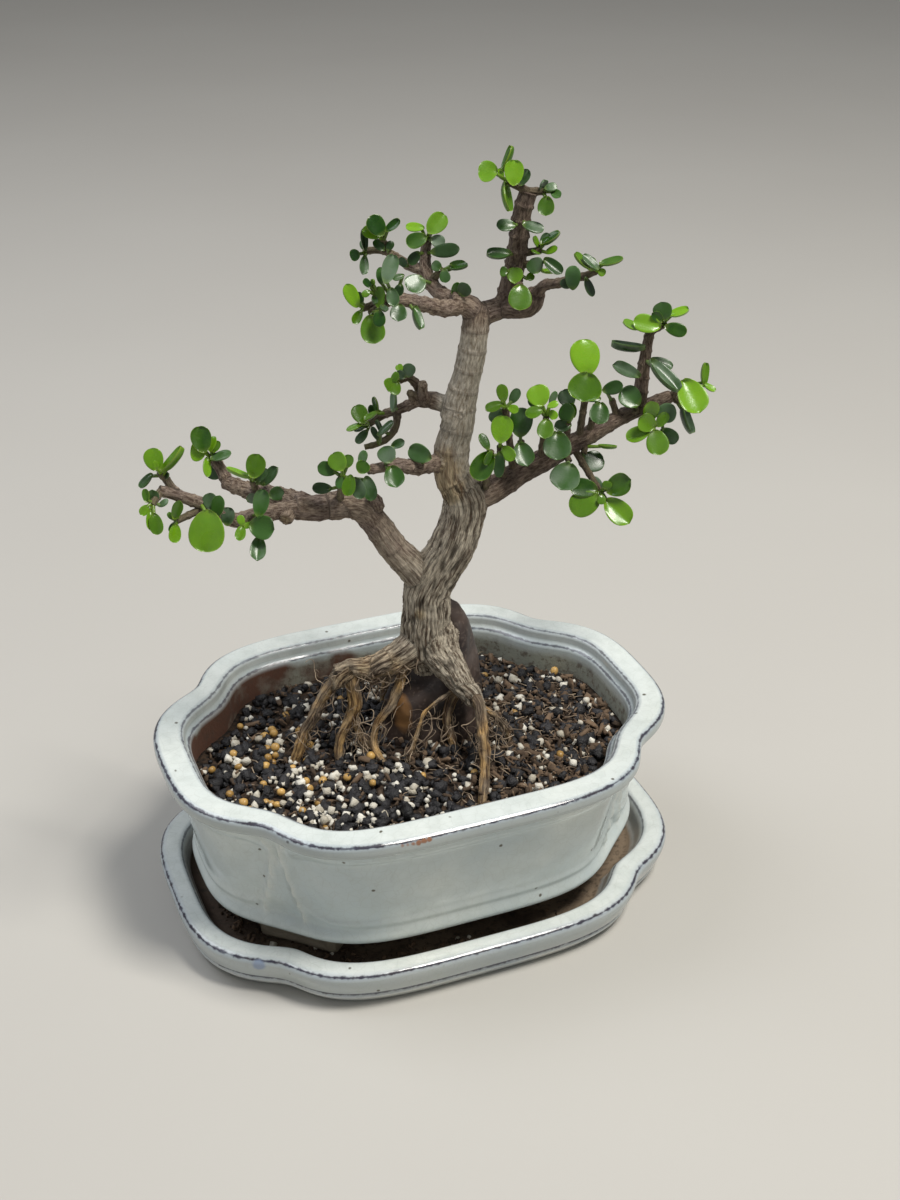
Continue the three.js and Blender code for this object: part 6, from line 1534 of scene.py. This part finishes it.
BED_RINGS = 58
deselect_all()
bpy.ops.mesh.primitive_circle_add(vertices=224, radius=0.05)
bed = bpy.context.object
edit(bed, *[(bpy.ops.mesh.extrude_region_move, {"TRANSFORM_OT_translate": {"value": (0, 0,
    MM)}})] * BED_RINGS)
points = points_of(bed)
ring = np.clip(np.round(points[:, 2]).astype(int), 0, BED_RINGS)
angle = np.arctan2(points[:, 1], points[:, 0])
wall_inset = np.interp(ring, [0, 4, 8], [8.5, 4.5, 3.0])
scale = np.interp(ring, [8, BED_RINGS], [1.0, 0.02])
radius = lobed(angle, RIM_INNER, wall_inset) * scale
x, y = radius * np.cos(angle), radius * np.sin(angle)
lumps = np.array([1.5 * noise.noise((a * 0.21, b * 0.21, 5.0)) + 0.8 * noise.noise((a * 0.6,
    b * 0.6, 9.0)) for a, b in zip(x.tolist(), y.tolist())])
z = np.where(ring < 8, np.interp(ring, [0, 4, 8], [25.3, 45, SOIL_Z - 1.5]), soil_level(x,
    y) + lumps * np.clip((ring - 8) / 3, 0, 1))
move_points(bed, np.stack([x, y, z], 1))
close_ends(bed, ring, BED_RINGS)
bed = place_at_origin(bed, "soil_bed")
make_active(bed)
bpy.ops.object.shade_smooth()
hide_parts("soil")
humus, bsdf = new_material("dark_bonsai_soil", Roughness=0.95)
place = add_node(humus, "TexCoord").outputs["Object"]
crumbs = add_node(humus, "TexNoise", {"Vector": place, "Scale": 420.0, "Detail": 6.0})
crumb = add_node(humus, "MapRange", {0: crumbs.outputs["Fac"], 1: 0.35, 2: 0.68})
earth = add_node(humus, "Mix", {0: crumb.outputs[0], MIX_A: linear("#14100d"),
    MIX_B: linear("#4f3d2e")}, data_type="RGBA")
link(humus, earth.outputs[MIX_RESULT], bsdf.inputs["Base Color"])
bump = add_node(humus, "Bump", {"Height": crumbs.outputs["Fac"], "Strength": 1.0,
    "Distance": 0.002})
link(humus, bump.outputs[0], bsdf.inputs["Normal"])
bed.data.materials.append(humus)
print("soil bed faces:", len(bed.data.polygons))


# %% Grit: copies of a few blanks
def mesh_parts(piece):
    """A blank's points in millimetres and its faces, as rows of corners."""
    faces = [tuple(polygon.vertices) for polygon in piece.data.polygons]
    return points_of(piece), faces


def build_copies(name, points, faces, per_copy=None):
    """One mesh of many copies. points has a row of points for each copy, faces are the
    blank's, and per_copy gives numbers to keep for every point of a copy."""
    copies, size = points.shape[:2]
    mesh = bpy.data.meshes.new(name)
    corners = np.concatenate([np.array(face) for face in faces])
    totals = np.array([len(face) for face in faces])
    mesh.vertices.add(copies * size)
    mesh.vertices.foreach_set("co", (points * MM).ravel())
    mesh.loops.add(copies * len(corners))
    offsets = np.repeat(np.arange(copies) * size, len(corners))
    mesh.loops.foreach_set("vertex_index", np.tile(corners, copies) + offsets)
    mesh.polygons.add(copies * len(faces))
    all_totals = np.tile(totals, copies)
    mesh.polygons.foreach_set("loop_start", np.concatenate([[0], np.cumsum(all_totals)[:-1]]))
    mesh.update(calc_edges=True)
    mesh.validate()
    piece = bpy.data.objects.new(name, mesh)
    bpy.context.scene.collection.objects.link(piece)
    for key, values in (per_copy or {}).items():
        store(piece, key, np.repeat(values, size))
    return piece


def crumb_blank(rough, cuts=1, roundness=1.0, seed=0):
    """A small lump: a cube with divided faces, rounded and then pulled about."""
    deselect_all()
    bpy.ops.mesh.primitive_cube_add(size=MM)
    lump = bpy.context.object
    edit(lump, (bpy.ops.mesh.subdivide, {"number_cuts": cuts}))
    points, faces = mesh_parts(lump)
    bpy.data.objects.remove(lump)
    ball = points / np.linalg.norm(points, axis=1)[:, None] * 0.5
    points = points * (1 - roundness) + ball * roundness
    draw = np.random.default_rng(seed)
    points = points * (1 + draw.uniform(-rough, rough, (len(points), 1)))
    return points, faces


def random_turns(count, rng):
    """Random rotations, from unit quaternions."""
    q = rng.normal(size=(count, 4))
    w, x, y, z = (q / np.linalg.norm(q, axis=1)[:, None]).T
    return np.stack([1 - 2 * (y * y + z * z), 2 * (x * y - z * w), 2 * (x * z + y * w),
        2 * (x * y + z * w), 1 - 2 * (x * x + z * z), 2 * (y * z - x * w), 2 * (x * z - y * w),
        2 * (y * z + x * w), 1 - 2 * (x * x + y * y)], 1).reshape(-1, 3, 3)


def over_soil(count, rng, margin=3.0, weight=None):
    """Seeded places on the soil, clear of the walls, thinned by weight(x, y) from 0 to 1."""
    places = []
    while len(places) < count:
        x, y = rng.uniform(-90, 90), rng.uniform(-66, 66)
        radius = lobed(math.atan2(y, x), RIM_INNER, 3.5 + margin)
        if math.hypot(x, y) > radius or (weight and rng.uniform() > weight(x, y)):
            continue
        places.append((x, y))
    return np.array(places)


def scatter(name, blanks, count, size, material, rng, squash=(1, 1, 1), sink=0.15, spread=1.6,
        weight=None, smooth=False, places=None, level=soil_level):
    """Copies of the blanks lying on the soil, as one piece with its own finish."""
    if places is None:
        places = over_soil(count, rng, size[1] / 2, weight)
    sizes = size[0] + (size[1] - size[0]) * rng.power(0.7, count) ** 1.5
    turns = random_turns(count, rng)
    lift = rng.uniform(0, spread, count) - sink * sizes
    pieces = []
    for kind, (blank, faces) in enumerate(blanks):
        own = np.arange(count) % len(blanks) == kind
        stretch = np.array(squash) * (1 + rng.uniform(-0.15, 0.15, (own.sum(), 3)))
        local = blank[None] * stretch[:, None, :] * sizes[own, None, None]
        spun = np.einsum("nij,nkj->nki", turns[own], local)
        x, y = places[own].T
        z = level(x, y) + sizes[own] * 0.3 + lift[own]
        points = spun + np.stack([x, y, z], 1)[:, None, :]
        pieces.append(build_copies(name, points, faces, {"mood": rng.uniform(0, 1, own.sum())}))
    make_active(pieces[0])
    for piece in pieces[1:]:
        piece.select_set(True)
    bpy.ops.object.join()
    piece = place_at_origin(bpy.context.object, name)
    piece.data.materials.append(material)
    make_active(piece)
    if smooth:
        bpy.ops.object.shade_smooth()
    print(name, count, "copies,", len(piece.data.polygons), "faces")
    return piece


# %% Grit finishes
def grit_material(name, dark, light, roughness, pit_mm, bump_mm):
    """A mineral or crumb whose copies vary from dark to light, with pits of pit_mm."""
    material, bsdf = new_material(name, Roughness=roughness)
    place = add_node(material, "TexCoord").outputs["Object"]
    mood = add_node(material, "Attribute", attribute_name="mood").outputs["Fac"]
    pits = add_node(material, "TexNoise", {"Vector": place, "Scale": 1000 / pit_mm, "Detail": 4.0})
    blend = add_node(material, "Math", {0: pits.outputs["Fac"], 1: 0.7, 2: mood},
        operation="MULTIPLY_ADD")
    share = add_node(material, "MapRange", {0: blend.outputs[0], 1: 0.15, 2: 1.45})
    colour = add_node(material, "Mix", {0: share.outputs[0], MIX_A: linear(dark),
        MIX_B: linear(light)}, data_type="RGBA")
    link(material, colour.outputs[MIX_RESULT], bsdf.inputs["Base Color"])
    bump = add_node(material, "Bump", {"Height": pits.outputs["Fac"], "Strength": 0.9,
        "Distance": bump_mm * MM})
    link(material, bump.outputs[0], bsdf.inputs["Normal"])
    return material


lava_rock = grit_material("black_lava_rock", "#08080a", "#323134", 0.55, 0.9, 0.9)
perlite_grain = grit_material("expanded_perlite", "#a89f8c", "#f1eee2", 0.9, 0.8, 0.4)
feed_prill = grit_material("resin_coated_prill", "#86652f", "#dfb56c", 0.35, 3.0, 0.05)
bark_crumb = grit_material("composted_bark_crumb", "#221a13", "#7d6752", 0.92, 1.5, 0.5)

# %% Scatter the grit
grit_rng = np.random.default_rng(7)
angular = [crumb_blank(0.3, 1, 0.15, seed) for seed in range(6)]
chips = [crumb_blank(0.22, 1, 0.3, seed + 20) for seed in range(6)]
ball = [crumb_blank(0.02, 2, 1.0, 40)]


def front_left(x, y):
    """More white grit lies along the front left of the rim."""
    return 0.25 + 0.75 * math.exp(-((x + 52) ** 2 + (y + 28) ** 2) / 34 ** 2)


def left_cluster(x, y):
    return 0.12 + 0.88 * math.exp(-((x + 60) ** 2 + (y - 2) ** 2) / 24 ** 2)


def right_side(x, y):
    return 0.2 + 0.8 * smoothstep(-10, 40, x)


scatter("lava_grit", angular, 1820, (1.5, 5.0), lava_rock, grit_rng, (1, 0.8, 0.65))
scatter("perlite_grit", chips, 620, (1.6, 3.6), perlite_grain, grit_rng, (1, 0.85, 0.75),
    spread=2.6, weight=front_left)
scatter("feed_prills", ball, 62, (3.1, 3.8), feed_prill, grit_rng, spread=2.8, weight=left_cluster,
    smooth=True)
scatter("bark_crumbs", angular, 1500, (0.9, 3.4), bark_crumb, grit_rng, (1.7, 0.7, 0.45),
    spread=2.6, weight=right_side)

# %% Debris in the saucer
def saucer_floor(x, y):
    return 6.0 + 0 * x


def washed_out(count, rng):
    """Places on the saucer's floor beside the pot, mostly on its left."""
    places = []
    while len(places) < count:
        angle = rng.normal(math.pi, 0.75)
        inner, outer = (float(lobed(angle, plan, inset)) for plan, inset in ((RIM_OUTER, 24),
            (SAUCER_OUTER, 18)))
        radius = rng.uniform(inner, outer)
        places.append((radius * math.cos(angle), radius * math.sin(angle)))
    return np.array(places)


scatter("saucer_dirt", angular, 440, (0.5, 2.2), bark_crumb, grit_rng, (1.5, 0.8, 0.5), spread=0.2,
    places=washed_out(440, grit_rng), level=saucer_floor)
scatter("saucer_perlite", chips, 22, (1.2, 3.2), perlite_grain, grit_rng, spread=0.2,
    places=washed_out(22, grit_rng), level=saucer_floor)

# %% Fibres in the soil
threads = []
for x, y in over_soil(300, grit_rng, 6, right_side):
    heading, count = grit_rng.uniform(0, 2 * math.pi), int(grit_rng.integers(8, 22))
    at, points = np.array([x, y]), []
    height = grit_rng.uniform(0.6, 2.6)
    for step in range(count):
        heading += grit_rng.normal(0, 0.35)
        at = at + np.array([math.cos(heading), math.sin(heading)]) * 0.9
        points.append([at[0], at[1], soil_level(*at) + height + 0.5 * math.sin(step * 0.7)])
    points = np.array(points)
    if lobed(math.atan2(at[1], at[0]), RIM_INNER, 4.5) < math.hypot(*at):
        continue
    threads.append((points, np.linspace(0.26, 0.12, count)))
fibres = place_at_origin(tubes("fibres", threads, 6), "soil_fibres")
fibres.data.materials.append(wiry)
print("fibres:", len(threads))


# %% [markdown]
# ## How the leaves sit
# Each leaf grows from its stem on a short claw and turns its face to the light. Small seeded
# draws vary its lean, its twist and how far it is cupped. A leaf that would touch a neighbouring
# stem or leaf bends clear by the mildest bend that frees it, as leaves do.

# %% Leaf rules
LEAF_PEAK, LEAF_THINNEST, STALK_RADIUS = 0.58, 1.0, 0.7
LEAF_LEAN, LEAF_TWIST, CLAW_DRAW = (-8, 22), (-12, 12), 30000
LEAF_CLEARANCE, WOOD_CLEARANCE = 2.2, 1.4
BENDS = [0, 10, -10, 20, -20, 32, -32, 45]
SWINGS = [0, 14, -14, 28, -28]
UP_IN_VIEW = np.array([0, math.sin(LOOK_DOWN), math.cos(LOOK_DOWN)])
TO_VIEWER = np.array([0, -math.cos(LOOK_DOWN), math.sin(LOOK_DOWN)])


def chance(key):
    """The same seeded draw from 0 to 1 for the same key."""
    value = math.sin(key * 12.9898 + 78.233) * 43758.5453
    return value - math.floor(value)


def drawn(limits, key):
    """A seeded angle between two limits in degrees, in radians."""
    return math.radians(limits[0] + (limits[1] - limits[0]) * chance(key))


def half_width(leaf, u):
    """A narrow foot and a broad round end."""
    peak = LEAF_PEAK
    short = np.clip(np.where(u < peak, 1 - u / peak, (u - peak) / (1 - peak)), 0, 1)
    share = np.where(u < peak, (1 - short ** 1.6) ** 0.8, np.sqrt(1 - short ** 2.4))
    return np.maximum(share * leaf["width"] / 2, np.where(u < 0.2, STALK_RADIUS, 0))


def round_half_width(leaf, u):
    """The same outline with a rounder foot, as the finished blade has."""
    short = np.clip(np.where(u < LEAF_PEAK, 1 - u / LEAF_PEAK, 0), 0, 1)
    return np.where(u < LEAF_PEAK, (1 - short ** 1.9) ** 0.6 * leaf["width"] / 2, half_width(leaf,
        u))


def leaf_points(leaf, u, v, lift=0, half_width=half_width):
    """Points of the leaf's middle surface at shares u along and v across it."""
    u, v = np.asarray(u, float), np.asarray(v, float)
    rise = leaf["length"] * leaf["cup"] * (v * v + (u - 0.5) ** 2) + lift
    return (leaf["base"] + leaf["along"] * (u * leaf["length"])[:,
        None] + leaf["across"] * (v * half_width(leaf, u))[:, None] + leaf["face"] * rise[:, None])


def place_leaf(row, number):
    """A leaf on its stem, before it is bent clear."""
    tone, turn, roll, length, width, foot, base = row
    way = math.radians(turn)
    twist = math.radians(roll) + drawn(LEAF_TWIST, number + 0.5)
    along = np.array([math.cos(way), 0, 0]) + UP_IN_VIEW * math.sin(way)
    beside = np.array([-math.sin(way), 0, 0]) + UP_IN_VIEW * math.cos(way)
    step = [0.5 * chance(number + CLAW_DRAW + more) - 0.25 for more in (0.1, 0.2, 0.3)]
    return dict(tone=tone, length=length, width=width, along=along, foot=np.array(foot) + step,
        face=TO_VIEWER * math.cos(twist) + beside * math.sin(twist), base=np.array(base, float),
        cup=0.05 + 0.13 * chance(number), lean=drawn(LEAF_LEAN, number + 0.25))


def spin(vector, axis, angle):
    return (vector * math.cos(angle) + np.cross(axis,
        vector) * math.sin(angle) + axis * (axis @ vector) * (1 - math.cos(angle)))


def aim_leaf(leaf, bend, swing):
    """The leaf with its tip bent towards its face, and swung in its own plane."""
    across = np.cross(leaf["face"], leaf["along"])
    lean = -leaf["lean"] - math.radians(bend)
    face = spin(leaf["face"], across, lean)
    along = spin(spin(leaf["along"], across, lean), face, math.radians(swing))
    return dict(leaf, along=along, face=face, across=np.cross(face, along))


SAMPLE_U, SAMPLE_V = (grid.ravel() for grid in np.meshgrid([0.14, 0.34, 0.54, 0.74, 0.94],
    [-0.85, -0.4, 0, 0.4, 0.85], indexing="ij"))


def gap_between(samples, others):
    return np.sqrt(((samples[:, None] - others[None]) ** 2).sum(2)).min(axis=0)


def crowding(leaf, samples, node, taken, bark):
    """How much room a leaf lacks beside the leaves and the bark of other nodes."""
    lack = 0.0
    for other in taken:
        reach = leaf["length"] + other["leaf"]["length"] + LEAF_CLEARANCE
        if other["node"] != node and np.linalg.norm(leaf["base"] - other["leaf"]["base"]) < reach:
            lack = max(lack, LEAF_CLEARANCE - gap_between(samples, other["samples"]).min())
    centres, keep, nodes = bark
    near = (nodes != node) & (np.linalg.norm(leaf["base"] - centres,
        axis=1) < leaf["length"] + keep)
    if near.any():
        lack = max(lack, (keep[near] - gap_between(samples, centres[near])).max())
    return lack


# %% Bend every leaf clear
def bark_balls():
    centres, keep, nodes = [], [], []
    claws = [dict(node=node, route=row[5:], radii=[STALK_RADIUS] * 2) for node, row in LEAFY]
    for part in LIMBS + claws:
        count = math.ceil(walk(part["route"], 1)[1] / 2.5)
        points = walk(part["route"], count)[0]
        start, end = part["radii"]
        for i in range(count + 1):
            centres.append(points[i])
            keep.append(start + (end - start) * i / count + WOOD_CLEARANCE)
            nodes.append(part["node"])
    return np.array(centres), np.array(keep), np.array(nodes)


balls = bark_balls()
placed = []
for number, (node, row) in enumerate(LEAFY):
    leaf, best = place_leaf(row, number), None
    for bend in BENDS:
        for swing in SWINGS:
            if best is not None and best[0] == 0:
                break
            aimed = aim_leaf(leaf, bend, swing)
            samples = leaf_points(aimed, SAMPLE_U, SAMPLE_V)
            lack = crowding(aimed, samples, node, placed, balls)
            if best is None or lack < best[0]:
                best = (lack, aimed, samples)
    placed.append(dict(node=node, leaf=best[1], samples=best[2], lack=best[0]))
print("leaves:", len(placed), "still crowded:", sum(p["lack"] > 0 for p in placed))


# %% [markdown]
# ## The leaf
# A jade leaf is a fat little paddle: a narrow foot, a round plump blade about a seventh as thick
# as it is long, and a thin rim. A ball is modelled for the blade and a rod for the claw. The
# ball's equator becomes the rim and its poles the two faces, and each copy is bent to its leaf.

# %% Leaf blank
deselect_all()
bpy.ops.mesh.primitive_cylinder_add(vertices=8, radius=MM, depth=2 * MM, end_fill_type="TRIFAN",
    location=(0, 0, -9 * MM))
bpy.ops.mesh.primitive_uv_sphere_add(segments=32, ring_count=16, radius=MM)
bpy.ops.object.select_all(action="SELECT")
blank = bpy.context.object
for piece in list(bpy.context.selected_objects):
    piece.select_set(piece == blank or piece.name.startswith("Cylinder"))
bpy.ops.object.join()
blank_points, blank_faces = mesh_parts(blank)
bpy.data.objects.remove(blank)
IN_CLAW = blank_points[:, 2] < -5
CLAW_SHARE = (blank_points[:, 2] + 10) / 2
CLAW_ROUND = blank_points[:, :2]
flat = np.hypot(blank_points[:, 0], blank_points[:, 1]).clip(0, 1)
BLANK_U = np.where(IN_CLAW, 0, (1 + blank_points[:, 0]) / 2)
reach = np.sqrt(np.maximum(1 - blank_points[:, 0] ** 2, 1e-9))
BLANK_V = np.where(IN_CLAW, 0, np.clip(blank_points[:, 1] / reach, -1, 1))
BLANK_RISE = np.sign(np.round(blank_points[:, 2], 6)) * (1 - flat ** 2.6) ** 0.5
BLANK_RIM = np.where(IN_CLAW, 0, flat)


def grow_leaf(leaf, number):
    """The blank bent to this leaf, in the part's frame."""
    thick = max(leaf["length"] * 0.19, LEAF_THINNEST) / 2
    foot = 0.55 + 0.45 * smoothstep(0.0, 0.3, BLANK_U)
    u, v = BLANK_U, BLANK_V
    wave = 0.03 * leaf["length"] * np.sin(v * 2.4 + 6 * chance(number * 5 + 2)) * (u - 0.3)
    points = leaf_points(leaf, u, v, BLANK_RISE * thick * foot + wave * np.abs(v),
        round_half_width)
    inside = leaf_points(leaf, np.array([0.16]), np.array([0.0]))[0]
    axis = inside - leaf["foot"]
    axis = axis / np.linalg.norm(axis)
    side = np.cross(axis, leaf["face"])
    side = side / np.linalg.norm(side)
    centre = leaf["foot"] + CLAW_SHARE[:, None] * (inside - leaf["foot"])
    around = CLAW_ROUND[:, :1] * side + CLAW_ROUND[:, 1:] * np.cross(side, axis)
    claw = centre + around * np.where(CLAW_SHARE < 0.5, 0.8, 0.6)[:, None]
    return in_tree(np.where(IN_CLAW[:, None], claw, points))


print("leaf blank:", len(blank_points), "points,", len(blank_faces), "faces")


# %% [markdown]
# ## Waxy leaves
# The skin of a jade leaf is wax over fleshy green, so it shines softly and light glows in it.
# Young leaves are yellow green with a pale, slightly red rim. Old ones are darker, and a bloom of
# wax and dust greys them. Undersides are paler in life; here both faces take the same finish.

# %% Leaf materials
def leaf_material(name, deep, fresh, rim, bloom, bloom_amount, roughness, glow):
    material, bsdf = new_material(name, IOR=1.45, Subsurface_Weight=glow,
        Subsurface_Radius=(0.4, 1.0, 0.15), Subsurface_Scale=0.0016, Coat_Weight=0.18,
        Coat_Roughness=0.15)
    place = add_node(material, "TexCoord").outputs["Object"]
    blade = add_node(material, "Attribute", attribute_name="blade").outputs["Vector"]
    parts = add_node(material, "SeparateXYZ", {0: blade})
    mood = add_node(material, "Attribute", attribute_name="mood").outputs["Fac"]
    mottle = add_node(material, "TexNoise", {"Vector": place, "Scale": 260.0, "Detail": 4.0})
    tint = add_node(material, "Math", {0: mottle.outputs["Fac"], 1: 0.3, 2: mood},
        operation="MULTIPLY_ADD")
    tinted = add_node(material, "MapRange", {0: tint.outputs[0], 1: 0.15, 2: 1.15})
    colour = add_node(material, "Mix", {0: tinted.outputs[0], MIX_A: linear(deep),
        MIX_B: linear(fresh)}, data_type="RGBA")
    # Bloom: dull grey-green wax in slow patches, with fine dust.
    patches = add_node(material, "TexNoise", {"Vector": place, "Scale": 110.0, "Detail": 5.0})
    dusty = add_node(material, "MapRange", {0: patches.outputs["Fac"], 1: 0.36, 2: 0.62,
        4: bloom_amount})
    # Some leaves are dustier than others.
    other = add_node(material, "Math", {0: mood, 1: 7.3}, operation="MULTIPLY")
    other = add_node(material, "Math", {0: other.outputs[0]}, operation="FRACT")
    dusty = add_node(material, "Math", {0: dusty.outputs[0], 1: other.outputs[0]},
        operation="MULTIPLY")
    colour = add_node(material, "Mix", {0: dusty.outputs[0], MIX_A: colour.outputs[MIX_RESULT],
        MIX_B: linear(bloom)}, data_type="RGBA")
    # Paler foot and rim.
    foot = add_node(material, "MapRange", {0: parts.outputs["X"], 1: 0.0, 2: 0.22, 3: 0.45,
        4: 0.0})
    colour = add_node(material, "Mix", {0: foot.outputs[0], MIX_A: colour.outputs[MIX_RESULT],
        MIX_B: linear("#7f9440")}, data_type="RGBA")
    edge = add_node(material, "MapRange", {0: parts.outputs["Z"], 1: 0.93, 2: 1.0, 4: 0.5})
    colour = add_node(material, "Mix", {0: edge.outputs[0], MIX_A: colour.outputs[MIX_RESULT],
        MIX_B: linear(rim)}, data_type="RGBA")
    link(material, colour.outputs[MIX_RESULT], bsdf.inputs["Base Color"])
    rough = add_node(material, "MapRange", {0: patches.outputs["Fac"], 1: 0.3, 2: 0.7,
        3: roughness, 4: roughness + 0.2})
    link(material, rough.outputs[0], bsdf.inputs["Roughness"])
    skin = add_node(material, "TexNoise", {"Vector": place, "Scale": 1500.0, "Detail": 2.0})
    bump = add_node(material, "Bump", {"Height": skin.outputs["Fac"], "Strength": 0.25,
        "Distance": 0.0002})
    link(material, bump.outputs[0], bsdf.inputs["Normal"])
    return material


LEAF_FINISH = {"bright": leaf_material("young_jade_leaf", "#184200", "#77a81a", "#90a73c",
    "#5d8238", 0.3, 0.2, 0.1), "deep": leaf_material("old_jade_leaf", "#102d02", "#37621a",
    "#5c7836", "#6b8069", 0.9, 0.26, 0.06),}

# %% Build each leafy stem
SPRIG_MOOD = {  # sprigs whose leaves are darker (below 0) or paler than the rest
    "low_limb_big": -0.5, "low_limb_front": -0.3, "stub_drop": -0.35,
    "top_left_side_limb": -0.3, "right_bright_low": -0.35, "right_big_pair": 0.3,
    "right_tip": 0.25, "right_front_bright": 0.35, "right_mid_rosette": 0.3,
    "left_small_rosette": 0.3}
NODE_RING = 0.16  # how far a leaf scar stands out of a young stem, as a share of its radius


def stem_path(route, radii, spacing):
    """A leafy stem's centre line and radii, with a ring at each old leaf scar."""
    count = max(4, round(walk(route, 10)[1] / 0.6))
    points, length = walk(in_tree(route), count)
    s = np.linspace(0, length, count + 1)
    radii = radii[0] + (radii[1] - radii[0]) * s / length
    ring = np.exp(-((np.abs((s / spacing) % 1 - 0.5) * spacing) / 0.55) ** 2)
    return dict(points=points, radii=radii * (1 + NODE_RING * ring), s=s, root=False)


def build_sprig(node):
    own = [stem_path(limb["route"], limb["radii"], 5.5) for limb in LIMBS if limb["node"] == node]
    stems = tubes(node + "_stems", [(path["points"], path["radii"]) for path in own], 10)
    points = points_of(stems)
    grain, girth, is_root = bark_grain(points, own)
    for key, values in (("grain", grain), ("girth", girth), ("root", is_root), ("relief",
            girth * 0), ("shaded", limb_tones(points)[0]), ("peeled", girth * 0), ("scar",
            girth * 0), ("pale", girth * 0)):
        store(stems, key, values)
    stems.data.materials.append(bark)
    tones = []
    for tone in ("bright", "deep"):
        leaves = [(i, p["leaf"]) for i,
            p in enumerate(placed) if p["node"] == node and p["leaf"]["tone"] == tone]
        if not leaves:
            continue
        grown = np.array([grow_leaf(leaf, i) for i, leaf in leaves])
        moods = [min(max(chance(i * 1.7 + 11) + SPRIG_MOOD.get(node, 0), 0), 1) for i,
            leaf in leaves]
        blades = build_copies(node + "_" + tone, grown, blank_faces, {"mood": moods})
        blade = np.stack([BLANK_U, BLANK_V, BLANK_RIM], 1)
        store(blades, "blade", np.tile(blade, (len(leaves), 1)))
        blades.data.materials.append(LEAF_FINISH[tone])
        tones.append(blades)
    make_active(stems)
    for blades in tones:
        blades.select_set(True)
    bpy.ops.object.join()
    sprig = place_at_origin(stems, node + "_sprig")
    make_active(sprig)
    bpy.ops.object.shade_smooth_by_angle(angle=math.radians(50))
    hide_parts(node)
    return sprig


sprigs = [build_sprig(node) for node in FOLIAGE]
print("leafy stems:", len(sprigs), "faces:", sum(len(s.data.polygons) for s in sprigs))
